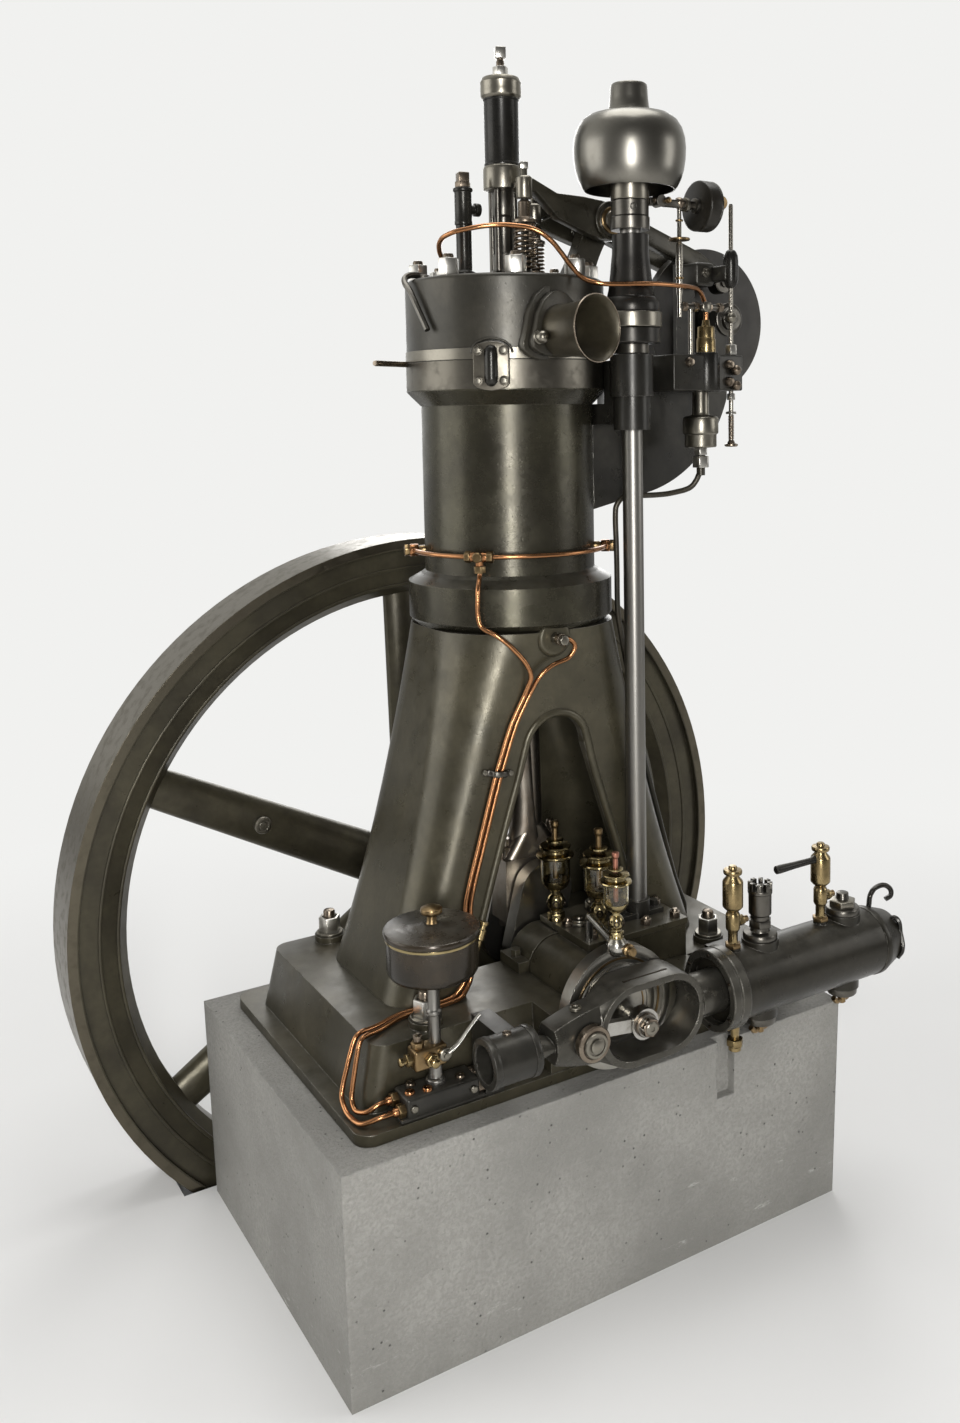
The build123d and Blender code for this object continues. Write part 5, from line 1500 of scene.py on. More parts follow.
@dataclass
class Governor:
    """The governor on top of the upright shaft: bell, sleeve and the drum of its gears.

    Attributes:
        shop: The workshop.
        x: The shaft's place across.
        y: The shaft's place in depth.
    """

    shop: Shop
    x: float = 0.164
    y: float = -0.189

    def stack(self, name: str, finish: str, profile: list[tuple[float, float]], body: Body,
              instead_of: tuple[str, ...] = (), sides: int = 64, soft: float = 0.0008) -> None:
        """Turn one ring of the stack and set it on the shaft's line.

        Args:
            name: The piece's name.
            finish: Its finish.
            profile: Radius and height of each ring.
            body: The body that it rides on.
            instead_of: The node that it stands for.
            sides: Segments round.
            soft: The width of the edge rounding.
        """
        first = profile[0]
        hollow = profile[-1] == first
        piece = self.shop.lathe(profile, sides=sides, soft=0.0 if hollow else soft, closed=not hollow)
        if hollow and soft > 0.0:
            self.shop.close(piece, soft)
        self.shop.turn(piece, Facing.UP, (self.x, self.y, 0.0))
        self.shop.finish(piece, name, finish, body, instead_of)

    def build(self) -> None:
        """Turn every ring of the governor."""
        spin, still = Body.GOVERNOR, Body.ENGINE
        sleeve_bore, drum_bore = 0.0197, 0.0262
        band_foot, band_top = 2.0215, 2.050
        self.stack("bell_shell", "bell_steel", [
            (0.0195, 2.462), (0.0315, 2.4655), (0.0335, 2.4635), (0.0345, 2.458), (0.0355, 2.440),
            (0.0375, 2.424), (0.0415, 2.4155), (0.0480, 2.4135), (0.0620, 2.4115), (0.0780, 2.4065),
            (0.0900, 2.3970), (0.0985, 2.3830), (0.1035, 2.3660), (0.1050, 2.3480), (0.1040, 2.3280),
            (0.1010, 2.3090), (0.0960, 2.2930), (0.0895, 2.2805), (0.0845, 2.2745), (0.0815, 2.2745),
            (0.0850, 2.2820), (0.0910, 2.2960), (0.0960, 2.3120), (0.0985, 2.3300), (0.0990, 2.3480),
            (0.0965, 2.3700), (0.0900, 2.3880), (0.0740, 2.3990), (0.0500, 2.4020), (sleeve_bore, 2.4020),
            (0.0195, 2.462)], spin, ("governor_bell",), 96, 0.0)
        self.stack("sleeve_top", "rim_steel", [
            (sleeve_bore, 2.2555), (0.0350, 2.2555), (0.0358, 2.257), (0.0358, 2.300), (0.0385, 2.3035),
            (0.0440, 2.308), (0.0440, 2.318), (sleeve_bore, 2.3195), (sleeve_bore, 2.2555)], spin,
            ("governor_sleeve",), 64, 0.0005)
        self.stack("sleeve_foot", "dark_steel", [
            (sleeve_bore, 2.2015), (0.0362, 2.2015), (0.0368, 2.203), (0.0368, 2.2245), (0.0352, 2.2265),
            (0.0352, 2.2545), (sleeve_bore, 2.2545), (sleeve_bore, 2.2015)], spin, (), 64, 0.0005)
        self.stack("drum_skirt", "skirt_iron", [
            (drum_bore, 2.082), (0.0455, 2.0785), (0.0440, 2.084), (0.0418, 2.094), (0.0395, 2.115),
            (0.0362, 2.145), (0.0345, 2.160), (0.0345, 2.193), (drum_bore, 2.1935), (drum_bore, 2.082)],
            still, ("gear_drum",))
        self.stack("drum_shoulder", "skirt_iron", [
            (drum_bore, band_top), (0.0535, band_top), (0.0545, 2.052), (0.0540, 2.066), (0.0500, 2.075),
            (0.0455, 2.0785), (drum_bore, 2.0785), (drum_bore, band_top)], still)
        self.stack("drum_band", "rim_steel", [
            (drum_bore, band_foot), (0.0572, band_foot), (0.0582, 2.023), (0.0582, 2.0485),
            (0.0572, band_top), (drum_bore, band_top), (drum_bore, band_foot)], still)
        self.stack("drum_lower", "skirt_iron", [
            (drum_bore, 1.992), (0.0535, 1.992), (0.0548, 1.994), (0.0548, 2.0195), (0.0535, band_foot),
            (drum_bore, band_foot), (drum_bore, 1.992)], still)
        self.stack("drum_neck", "dark_steel", [
            (drum_bore, 1.9735), (0.0335, 1.9735), (0.0335, 1.9915), (drum_bore, 1.9915),
            (drum_bore, 1.9735)], still)
        # the hole is a shallow dent in the darkest iron: painted shade inside it
        hole = self.shop.lathe([
            (0.0052, 0.0), (0.0062, 0.0006), (0.0062, 0.0022), (0.0046, 0.0024), (0.0042, 0.0005),
            (0.0004, 0.0004)], sides=24)
        view = Vector((-0.42, -0.907, 0.0))
        stand = Vector((0.0, 0.0, 1.0)).rotation_difference(view).to_matrix().to_4x4()
        spot = Vector((self.x, self.y, 2.2405)) + view * 0.0345
        self.shop.move(hole, Matrix.Translation(spot) @ stand)
        self.shop.finish(hole, "sleeve_hole_shade", "cam_iron", spin)


@dataclass
class Regulation:
    """The governor's lever with its weight, the link rod, the hand rod and the fuel pump.

    Attributes:
        shop: The workshop.
        y: The rods' place in depth.
        lever: The height of the lever.
        link_x: The link rod's place across.
        hand_x: The hand rod's place across.
        pump: X and Y of the pump's barrel.
    """

    shop: Shop
    y: float = -0.189
    lever: float = 2.258
    link_x: float = 0.279
    hand_x: float = 0.406
    pump: tuple[float, float] = (0.338, -0.177)
    cap: tuple[float, float] = (0.346, -0.185)
    weight: tuple[float, float] = (0.3205, 0.032)

    def build_lever(self) -> None:
        """Make the fork, its screws, the arm to the weight and the ball that the link hangs on."""
        shop, y, z = self.shop, self.y, self.lever
        arm = shop.block((0.2055, y - 0.0075, z - 0.0075), (0.3225, y + 0.0075, z + 0.0075), soft=0.003)
        shop.finish(arm, "lever_arm", "dark_steel", instead_of=("regulating_gear",))
        shop.fit(
            shop.lathe([(0.0105, 0.0), (0.0115, 0.001), (0.0115, 0.020), (0.0105, 0.021)], sides=28),
            Facing.FRONT, (0.222, y - 0.001, z), "lever_eye", "dark_steel")
        for index, x in enumerate((0.2135, 0.2345), start=1):
            shop.fit(shop.lathe([
                (0.0056, 0.0), (0.0062, 0.0015), (0.0060, 0.0050), (0.0045, 0.0072), (0.0008, 0.0078)],
                sides=24), Facing.FRONT, (x, y - 0.0105 if index == 1 else y - 0.0222, z + 0.001),
                f"lever_screw_{index}", "aged_brass" if index == 2 else "aged_steel")
        shop.fit(shop.lathe([
            (0.003, -0.0112), (0.0072, -0.0088), (0.0103, -0.0045), (0.0113, 0.0), (0.0103, 0.0045),
            (0.0072, 0.0088), (0.003, 0.0112)], sides=32), Facing.UP, (self.link_x, y, z + 0.002),
            "link_ball", "aged_steel")
        shop.fit(shop.lathe([
            (0.0122, 0.0), (0.0135, 0.001), (0.0135, 0.007), (0.0122, 0.008), (0.0075, 0.009),
            (0.0075, 0.020)], sides=28), Facing.RIGHT, (self.link_x + 0.011, y, z), "lever_collar",
            "rim_steel")

    def build_weight(self) -> None:
        """Turn the weight drum with its groove, and its polished pin."""
        shop = self.shop
        left, width = self.weight
        shop.fit(shop.lathe([
            (0.0445, 0.0), (0.0475, 0.0018), (0.048, 0.003), (0.048, width - 0.006),
            (0.0468, width - 0.0052), (0.0468, width - 0.0038), (0.048, width - 0.003),
            (0.0475, width - 0.0015), (0.0445, width), (0.014, width), (0.001, width)], sides=64),
            Facing.RIGHT, (left, self.y, self.lever), "weight_drum", "cam_iron")
        shop.fit(
            shop.lathe([(0.0135, 0.0), (0.0145, 0.001), (0.0145, 0.006), (0.0125, 0.0075)], sides=32),
            Facing.LEFT, (left + 0.0005, self.y, self.lever), "weight_hub", "dark_steel")
        shop.fit(shop.lathe([
            (0.0125, 0.0), (0.0132, 0.001), (0.0132, 0.019), (0.0118, 0.0212), (0.001, 0.0215)], sides=36),
            Facing.FRONT, (left + width + 0.018, self.y + 0.002, self.lever + 0.008), "weight_pin",
            "aged_brass")
        shop.fit(
            shop.lathe([(0.0075, 0.0), (0.0075, 0.036)], sides=24), Facing.RIGHT,
            (left + width - 0.002, self.y, self.lever + 0.004), "weight_stem", "aged_steel")

    def build_link(self) -> None:
        """Hang the link rod with its two brass discs and its lock nuts."""
        shop, y = self.shop, self.y
        shop.fit(shop.lathe([
            (0.0045, 2.045), (0.0045, 2.085), (0.006, 2.090), (0.0062, 2.118), (0.0072, 2.150),
            (0.0058, 2.184), (0.0042, 2.188), (0.0042, 2.252)], sides=24), Facing.UP, (self.link_x, y, 0.0),
            "link_rod", "thin_rod_steel")
        for name, low, radius, tall in (("wide", 2.190, 0.0205, 0.0045), ("upper", 2.2255, 0.0075, 0.004),
                                        ("lower", 2.117, 0.0085, 0.004)):
            shop.fit(shop.lathe([
                (radius - 0.001, 0.0), (radius, 0.0008), (radius, tall - 0.0008), (radius - 0.001, tall)],
                sides=36), Facing.UP, (self.link_x, y, low), f"link_disc_{name}", "aged_brass")
        shop.fit(
            shop.lathe([(0.0046, 1.970), (0.0046, 2.062)], sides=20), Facing.UP,
            (self.link_x + 0.026, y, 0.0), "link_foot_rod", "thin_rod_steel")
        shop.fit(
            shop.lathe([(0.0058, 0.0), (0.0065, 0.001), (0.0065, 0.106), (0.0058, 0.107)], sides=24),
            Facing.RIGHT, (self.link_x - 0.002, y, 2.066), "link_cross_rod", "dark_steel")
        for index, x in enumerate((0.283, 0.311, 0.343, 0.371), start=1):
            shop.fit(
                shop.prism(0.017, 0.011), Facing.RIGHT, (x, y, 2.066), f"link_cross_nut_{index}",
                "aged_steel", spin=12.0 * index)
        shop.fit(shop.lathe([
            (0.0095, 0.0), (0.0102, 0.001), (0.0102, 0.009), (0.0085, 0.0105), (0.001, 0.011)], sides=28),
            Facing.FRONT, (0.333, -0.1965, 2.066), "link_pivot", "rim_steel")

    def build_hand_rod(self) -> None:
        """Make the hand rod with its dark guide sleeve, stop balls, cap nuts, thread and foot."""
        shop, x, y = self.shop, self.hand_x, self.y
        shop.fit(shop.lathe(
            [(0.0046, 1.798), (0.0046, 2.264), (0.0036, 2.268), (0.0005, 2.2685)], sides=20), Facing.UP,
            (x, y, 0.0), "hand_rod_bar", "thin_rod_steel", instead_of=("hand_rod",))
        shop.fit(shop.lathe([
            (0.0075, 2.106), (0.0105, 2.109), (0.0145, 2.121), (0.0150, 2.156), (0.0140, 2.168),
            (0.0105, 2.176), (0.0075, 2.179)], sides=32, soft=0.0004), Facing.UP, (x, y, 0.0),
            "hand_rod_sleeve", "tube_iron")
        clamp = shop.block((x - 0.057, -0.152, 2.112), (x - 0.010, -0.086, 2.158), soft=0.007, cuts=4)
        shop.finish(clamp, "hand_rod_clamp", "small_iron")
        arm = shop.block((x - 0.018, y - 0.004, 2.120), (x + 0.004, -0.140, 2.150), soft=0.004, cuts=3)
        shop.finish(arm, "hand_rod_arm", "small_iron")
        shop.fit(shop.lathe([
            (0.0095, 0.0), (0.0095, 0.003), (0.0062, 0.004), (0.0062, 0.009), (0.001, 0.0105)], sides=28),
            Facing.FRONT, (x - 0.034, -0.152, 2.138), "hand_rod_clamp_screw", "rim_steel")
        for name, low, radius in (("ball", 2.048, 0.0125), ("ball_low", 1.944, 0.0105),
                                  ("ball_foot", 1.914, 0.0105)):
            ball = shop.lathe([
                (0.0045, low - radius * 0.9), (radius * 0.75, low - radius * 0.62), (radius, low),
                (radius * 0.75, low + radius * 0.62), (0.0045, low + radius * 0.9)], sides=28)
            away = -0.0215 if "_" in name else 0.0
            shop.turn(ball, Facing.UP, (x - 0.004 if away else x, y + away, 0.0))
            shop.finish(ball, f"hand_rod_{name}", "aged_steel" if away else "rim_steel")
        for name, low, tall, flats in (("cap", 1.975, 0.019, 0.022), ("lock", 1.886, 0.012, 0.016),
                                       ("stop", 1.858, 0.004, 0.021)):
            shop.fit(
                shop.prism(flats, tall, chamfer=0.16), Facing.UP, (x, y, low), f"hand_rod_{name}",
                "nut_steel", spin=20.0)
        shop.fit(
            shop.coil(0.0050, 0.0011, turns=16, height=0.050), Facing.UP, (x, y, 1.806), "hand_rod_thread",
            "spring_steel")
        shop.fit(shop.lathe([
            (0.011, 1.793), (0.0135, 1.795), (0.0135, 1.798), (0.008, 1.800), (0.0055, 1.806)], sides=32),
            Facing.UP, (x, y, 0.0), "hand_rod_foot", "aged_steel")

    def build_pump(self) -> None:
        """Make the pump: its block with a round front, the stepped barrel, nuts and screws."""
        shop = self.shop
        x, y = self.pump
        block = shop.block((0.253, y - 0.026, 1.904), (0.425, -0.087, 1.974), soft=0.0035, cuts=3)
        shop.finish(block, "pump_block", "small_iron", instead_of=("fuel_pump",))
        shop.fit(shop.lathe(
            [(0.0262, 1.9035), (0.027, 1.905), (0.027, 1.976), (0.0255, 1.9785)], sides=48, soft=0.0006),
            Facing.UP, (*self.cap, 0.0), "pump_tower", "tube_iron")
        shop.fit(shop.lathe([
            (0.0120, 1.792), (0.030, 1.7935), (0.0315, 1.7955), (0.0315, 1.8185), (0.0345, 1.8205),
            (0.0352, 1.8225), (0.0352, 1.8495), (0.034, 1.852), (0.0305, 1.8545), (0.018, 1.8565),
            (0.0162, 1.862), (0.0162, 1.903)], sides=56, soft=0.0006), Facing.UP, (x, y, 0.0),
            "pump_barrel", "rim_steel")
        for name, low, tall, flats in (("gland", 1.7785, 0.0135, 0.024), ("union", 1.7535, 0.022, 0.030)):
            shop.fit(
                shop.prism(flats, tall, chamfer=0.13), Facing.UP, (x, y, low), f"pump_{name}_nut",
                "nut_steel", spin=14.0)
        shop.fit(
            shop.lathe([(0.0085, 1.738), (0.0085, 1.792)], sides=24), Facing.UP, (x, y, 0.0), "pump_tail",
            "black_pipe")
        for index, (sx, sz) in enumerate(((0.290, 1.9590), (0.389, 1.9550), (0.389, 1.9215)), start=1):
            shop.fit(shop.lathe([
                (0.0092, 0.0), (0.0098, 0.002), (0.009, 0.0065), (0.006, 0.0105), (0.0008, 0.0115)],
                sides=28), Facing.FRONT, (sx, y - 0.026, sz), f"pump_screw_{index}", "aged_steel")
        shop.fit(shop.lathe([
            (0.0165, 1.976), (0.0192, 1.978), (0.0192, 2.0035), (0.0183, 2.005), (0.0183, 2.0065),
            (0.0172, 2.0075), (0.0172, 2.027), (0.0158, 2.0295), (0.0085, 2.0305), (0.0068, 2.042)],
            sides=48, soft=0.0004), Facing.UP, (*self.cap, 0.0), "pump_brass_cap", "brass",
            instead_of=("pump_cap",))
        shop.fit(
            shop.prism(0.026, 0.012, chamfer=0.14), Facing.FRONT, (0.232, -0.109, 1.868), "bracket_bolt",
            "rim_steel", spin=8.0)
        shop.fit(
            shop.lathe([(0.0095, 0.0), (0.0095, 0.016), (0.0075, 0.018), (0.001, 0.0185)], sides=24),
            Facing.FRONT, (0.232, -0.109, 1.868), "bracket_bolt_end", "aged_steel")

    def build(self) -> None:
        """Build the whole regulation."""
        self.build_lever()
        self.build_weight()
        self.build_link()
        self.build_hand_rod()
        self.build_pump()


@dataclass
class FrameDress:
    """What dresses the tall frame: the bead round its arch, bosses, the pipe clip and the big-end bolts.

    Attributes:
        shop: The workshop.
        arch_centre: The height of the arch's round top.
        arch_radius: The radius of its round top.
        arch_foot: Half its width at the bed.
        bed: The height of the bed's top.
    """

    shop: Shop
    arch_centre: float = 1.235
    arch_radius: float = 0.062
    arch_foot: float = 0.205
    bed: float = 0.803

    def build_bead(self) -> None:
        """Lay the rounded bead round the arch, on the frame's front face."""
        shop = self.shop
        fall = self.arch_centre - self.bed
        slope = math.atan2(self.arch_foot - self.arch_radius, fall)
        route: list[tuple[float, float]] = []
        out = self.arch_radius + 0.007
        for z in (0.905, 0.96, 1.02, 1.08, 1.14, 1.19):
            half = self.arch_radius + 0.007 + (self.arch_centre - z) * math.tan(slope) * 0.985
            route.append((-half, z))
        for step in range(0, 11):
            angle = math.pi - slope * 0.6 - (math.pi - 1.2 * slope) * step / 10
            route.append((out * math.cos(angle), self.arch_centre + out * math.sin(angle)))
        route += [(-x, z) for x, z in reversed(route[:6])]
        points = [(x, shop.touch("a_frame", x, z) + 0.0025, z) for x, z in route]
        bead = shop.bar([p for p in points if p[1] > -0.5], 0.0085, sides=16)
        shop.finish(bead, "arch_bead", "frame_iron")

    def build_fitting(self) -> None:
        """Build the boss at the frame's top with the banjo union of the second oil pipe."""
        shop = self.shop
        x, z = -0.014, 1.450
        shop.fit(shop.lathe([
            (0.036, 0.0), (0.0345, 0.006), (0.0315, 0.0095), (0.028, 0.0105), (0.024, 0.0105)], sides=48,
            soft=0.0012), Facing.FRONT, (x, -0.1795, z), "frame_boss", "frame_iron")
        shop.fit(
            shop.prism(0.021, 0.010, chamfer=0.13), Facing.FRONT, (x, -0.190, z), "frame_union_nut",
            "rim_steel", spin=10.0)
        shop.fit(
            shop.lathe([(0.0102, 0.0), (0.0112, 0.001), (0.0112, 0.012), (0.0102, 0.013)], sides=32),
            Facing.FRONT, (x, -0.1995, z), "frame_banjo", "aged_steel")
        shop.fit(
            shop.prism(0.017, 0.009, chamfer=0.14), Facing.FRONT, (x, -0.2125, z), "frame_banjo_nut",
            "rim_steel", spin=25.0)

    def build_clip(self) -> None:
        """Screw down the clip that holds the two oil pipes on the frame's face."""
        shop = self.shop
        x, z = -0.134, 1.209
        y = shop.touch("a_frame", x, z)
        strip = shop.bar([
            (x - 0.024, y - 0.0015, z + 0.004), (x - 0.014, y - 0.003, z + 0.002),
            (x - 0.006, y - 0.0165, z + 0.001), (x + 0.016, y - 0.0165, z - 0.002),
            (x + 0.024, y - 0.003, z - 0.004), (x + 0.034, y - 0.0015, z - 0.005)], 0.001, sides=8,
            flat=(0.0011, 0.0055))
        shop.finish(strip, "pipe_clip", "dark_steel")
        for index, (sx, sz) in enumerate(((x - 0.0225, z + 0.004), (x + 0.0315, z - 0.005)), start=1):
            shop.fit(shop.lathe(
                [(0.0052, 0.0), (0.0055, 0.0035), (0.0042, 0.005), (0.0006, 0.0054)], sides=20),
                Facing.FRONT, (sx, y - 0.0018, sz), f"pipe_clip_screw_{index}", "rim_steel")

    def build_rod_end(self) -> None:
        """Flare the connecting rod into its big end and fit the bolts, nuts and lock nuts."""
        shop = self.shop
        pin = Vector((0.03106, 0.0, 0.9189))
        top = Vector((0.0, 0.0, 0.9189 + math.sqrt(0.54 ** 2 - 0.03106 ** 2)))
        lean = Vector((0.0, 0.0, 1.0)).rotation_difference(top - pin).to_matrix().to_4x4()
        place = Matrix.Translation(pin) @ lean
        flare = shop.lathe([
            (0.0285, 0.0615), (0.0290, 0.068), (0.0288, 0.074), (0.0272, 0.083), (0.0285, 0.1),
            (0.0280, 0.13), (0.0270, 0.18), (0.0262, 0.26), (0.0248, 0.36), (0.0235, 0.48)], sides=48)
        for vertex in flare.data.vertices:
            spread = max(0.0, 1.0 - (vertex.co.z - 0.0615) / 0.105)
            vertex.co.x *= 1.0 + 1.05 * spread * spread
        shop.move(flare, place)
        shop.finish(flare, "rod_shank", "rod_end_steel", Body.ROD)
        for side, name in ((-1.0, "left"), (1.0, "right")):
            nut = shop.prism(0.026, 0.017)
            shop.move(nut, place @ Matrix.Translation((0.057 * side, 0.0, 0.0622)))
            shop.finish(nut, f"rod_bolt_{name}_nut", "aged_steel", Body.ROD)
            lock = shop.prism(0.024, 0.009)
            shop.move(
                lock,
                place @ Matrix.Translation((0.057 * side, 0.0, 0.0792)) @ Matrix.Rotation(0.4, 4, "Z"))
            shop.finish(lock, f"rod_bolt_{name}_lock", "aged_steel", Body.ROD)
            bolt = shop.lathe([(0.0088, 0.06), (0.0088, 0.112), (0.0075, 0.1155), (0.0058, 0.117),
                               (0.0008, 0.1172)], sides=24)
            shop.move(bolt, place @ Matrix.Translation((0.057 * side, 0.0, 0.0)))
            shop.finish(bolt, f"rod_bolt_{name}", "aged_steel", Body.ROD)

    def build(self) -> None:
        """Dress the frame."""
        self.build_bead()
        self.build_fitting()
        self.build_clip()
        self.build_rod_end()


@dataclass
class Oilers:
    """The three sight oilers: one drawn once, then set on its feet at three places.

    Attributes:
        shop: The workshop.
        places: Where each one stands, its size and the finish of its spindle.
    """

    shop: Shop
    places: tuple[tuple[str, Point, float, str], ...] = (
        ("left", (0.020, -0.118, 0.880), 1.36, "aged_brass"),
        ("middle", (0.064, -0.205, 0.880), 1.36, "aged_brass"),
        ("front", (-0.020, -0.385, 0.946), 1.06, "red_spindle"))

    def parts(self, spindle: str) -> list[tuple[str, str, list[tuple[float, float]], int]]:
        """Return the turned parts of one oiler from its foot up: name, finish, profile and sides."""
        return [
            ("foot", "pale_brass", [
                (0.0125, 0.0), (0.0125, 0.002), (0.0085, 0.0105), (0.0075, 0.0125), (0.0078, 0.0145)], 32),
            ("cage", "pale_brass", [
                (0.0075, 0.0145), (0.0105, 0.0165), (0.0125, 0.021), (0.0128, 0.0265), (0.0122, 0.032),
                (0.0095, 0.0365), (0.0068, 0.0385), (0.0068, 0.0435)], 32),
            ("cup_seat", "pale_brass", [
                (0.007, 0.0435), (0.0125, 0.0455), (0.0175, 0.0500), (0.0202, 0.0560), (0.0207, 0.0600),
                (0.0197, 0.0605), (0.010, 0.0525)], 40),
            ("cap", "pale_brass", [
                (0.0215, 0.0925), (0.0262, 0.0935), (0.0272, 0.0955), (0.0262, 0.0975), (0.0205, 0.0990),
                (0.0165, 0.1000), (0.0160, 0.1035), (0.0185, 0.1055), (0.0222, 0.1065), (0.0228, 0.1082),
                (0.0215, 0.1098), (0.0110, 0.1105), (0.0085, 0.1112)], 44),
            ("collar", "pale_brass", [
                (0.0098, 0.1150), (0.0125, 0.1158), (0.0125, 0.1180), (0.0098, 0.1188)], 28),
            ("spindle", spindle, [
                (0.0042, 0.062), (0.0042, 0.1350), (0.0058, 0.1368), (0.0062, 0.1400), (0.0062, 0.1440),
                (0.0048, 0.1455), (0.0008, 0.1460)], 20)]

    def build(self) -> None:
        """Build the oilers and set them on their feet."""
        shop = self.shop
        for name, spot, size, spindle in self.places:
            place = Matrix.Translation(spot) @ Matrix.Scale(size, 4)
            for part, finish, profile, sides in self.parts(spindle):
                piece = shop.lathe(profile, sides=sides)
                shop.move(piece, place)
                instead = ()
                if part == "cage":
                    instead = {"left": ("bearing_oilers",), "front": ("disc_oiler",)}.get(name, ())
                shop.finish(piece, f"oiler_{name}_{part}", finish, instead_of=instead)
            hexagon = shop.prism(0.0225, 0.0095)
            shop.move(hexagon, place @ Matrix.Translation((0.0, 0.0, 0.001)))
            shop.finish(hexagon, f"oiler_{name}_nut", "pale_brass")
            glass = shop.lathe([
                (0.0192, 0.0585), (0.0208, 0.0605), (0.0212, 0.070), (0.0212, 0.0928), (0.0196, 0.0928),
                (0.0196, 0.070), (0.0192, 0.0625), (0.0192, 0.0585)], sides=44, closed=False)
            shop.move(glass, place)
            shop.finish(glass, f"oiler_{name}_glass", "cup_glass")
            for index, angle in enumerate((-120.0, -60.0, 30.0, 150.0), start=1):
                turn = math.radians(angle)
                out = Vector((math.cos(turn), math.sin(turn), 0.0))
                # each cage window is a dark recessed disc: painted shade for the opening
                window_shade = shop.lathe([(0.0044, 0.0), (0.0052, 0.0004), (0.0052, 0.0012), (0.0040, 0.0013),
                                     (0.0036, 0.0003), (0.0004, 0.0002)], sides=20)
                stand = Vector((0.0, 0.0, 1.0)).rotation_difference(out).to_matrix().to_4x4()
                shop.move(window_shade, place @ Matrix.Translation(out * 0.0122 + Vector((0, 0, 0.0265))) @ stand)
                shop.finish(window_shade, f"oiler_{name}_window_{index}", "shade_and_screw_black")
        shop.fit(shop.lathe([
            (0.004, -0.0188), (0.011, -0.0158), (0.0165, -0.0098), (0.0190, 0.0), (0.0165, 0.0098),
            (0.0125, 0.0148), (0.0118, 0.0165)]), Facing.UP, (-0.020, -0.385, 0.930), "oiler_ball",
            "rim_steel")
        shop.fit(shop.lathe([
            (0.010, 0.0), (0.0115, 0.0015), (0.0115, 0.0075), (0.0085, 0.0095), (0.0085, 0.0175),
            (0.006, 0.0205), (0.001, 0.0212)], sides=28), Facing.FRONT, (-0.008, -0.4005, 0.926),
            "oiler_ball_nut", "aged_brass")


@dataclass
class BedDress:
    """The bolts and small covers on the bed and on the gear case.

    Attributes:
        shop: The workshop.
        bolt_x: Half the spacing of the foundation bolts across.
        bolt_y: Half their spacing in depth.
        boss_top: The height of the bosses that they stand on.
        plate: The height of the gear case's plate.
    """

    shop: Shop
    bolt_x: float = 0.315
    bolt_y: float = 0.222
    boss_top: float = 0.815
    plate: float = 0.880

    def build_foundation_nuts(self) -> None:
        """Screw down the four foundation nuts on their washers."""
        shop = self.shop
        first = (-self.bolt_x, -self.bolt_y, self.boss_top)
        others = [(self.bolt_x, -self.bolt_y, self.boss_top), (-self.bolt_x, self.bolt_y, self.boss_top),
                  (self.bolt_x, self.bolt_y, self.boss_top)]
        parts = (
            ("foundation_washer", "rim_steel", shop.lathe(
                [(0.026, 0.0), (0.0268, 0.001), (0.0268, 0.0042), (0.0255, 0.0055)])),
            ("foundation_nut", "nut_steel", shop.prism(0.038, 0.030, chamfer=0.11, bore=0.0125)),
            ("foundation_stud", "aged_steel", shop.lathe([
                (0.0118, 0.02), (0.0118, 0.0455), (0.0102, 0.049), (0.0045, 0.0505), (0.0008, 0.0506)],
                sides=28)))
        for name, finish, piece in parts:
            lift = 0.0052 if name == "foundation_nut" else 0.0
            shop.turn(piece, Facing.UP, (first[0], first[1], first[2] + lift), 22.0)
            instead = ("foundation_bolts",) if name == "foundation_nut" else ()
            shop.finish(piece, f"{name}_1", finish, instead_of=instead)
            shop.copies(piece, name, moves(first, others), finish)

    def build_small_bolts(self) -> None:
        """Put the small hexagon bolts on the gear case, the bed and the shaft's foot."""
        shop = self.shop
        first = (0.028, -0.235, self.plate)
        others = [(0.218, -0.240, self.plate), (0.222, -0.170, self.plate), (0.150, -0.238, self.plate),
                  (0.020, -0.160, self.plate)]
        head = shop.fit(
            shop.prism(0.019, 0.0105, chamfer=0.14), Facing.UP, first, "plate_bolt_1", "aged_steel",
            spin=10.0)
        shop.copies(head, "plate_bolt", moves(first, others), "aged_steel")
        stub = shop.fit(shop.lathe(
            [(0.0062, 0.008), (0.0062, 0.0145), (0.0048, 0.0165), (0.0006, 0.017)], sides=20), Facing.UP,
            first, "plate_stud_1", "aged_steel")
        shop.copies(stub, "plate_stud", moves(first, others), "aged_steel")

    def build_filler(self) -> None:
        """Turn the filler cap with its raised rim and its knob."""
        shop = self.shop
        shop.fit(shop.lathe([
            (0.0265, 0.0), (0.0275, 0.002), (0.0275, 0.011), (0.0262, 0.0138), (0.0215, 0.0148),
            (0.0205, 0.0185), (0.0098, 0.0195), (0.0085, 0.0215), (0.0105, 0.0235), (0.0105, 0.0265),
            (0.0085, 0.0275), (0.001, 0.0278)], sides=48, soft=0.0004), Facing.UP,
            (0.120, -0.118, self.plate), "filler_lid", "rim_steel", instead_of=("filler_cap",))
        shop.fit(shop.lathe([
            (0.0205, 0.0), (0.0215, 0.0015), (0.0215, 0.006), (0.017, 0.0075), (0.0165, 0.0095),
            (0.008, 0.0102), (0.0078, 0.0135), (0.001, 0.014)], sides=44, soft=0.0003), Facing.UP,
            (0.046, -0.160, self.plate), "plate_plug", "rim_steel")

    def build(self) -> None:
        """Dress the bed and the gear case."""
        self.build_foundation_nuts()
        self.build_small_bolts()
        self.build_filler()


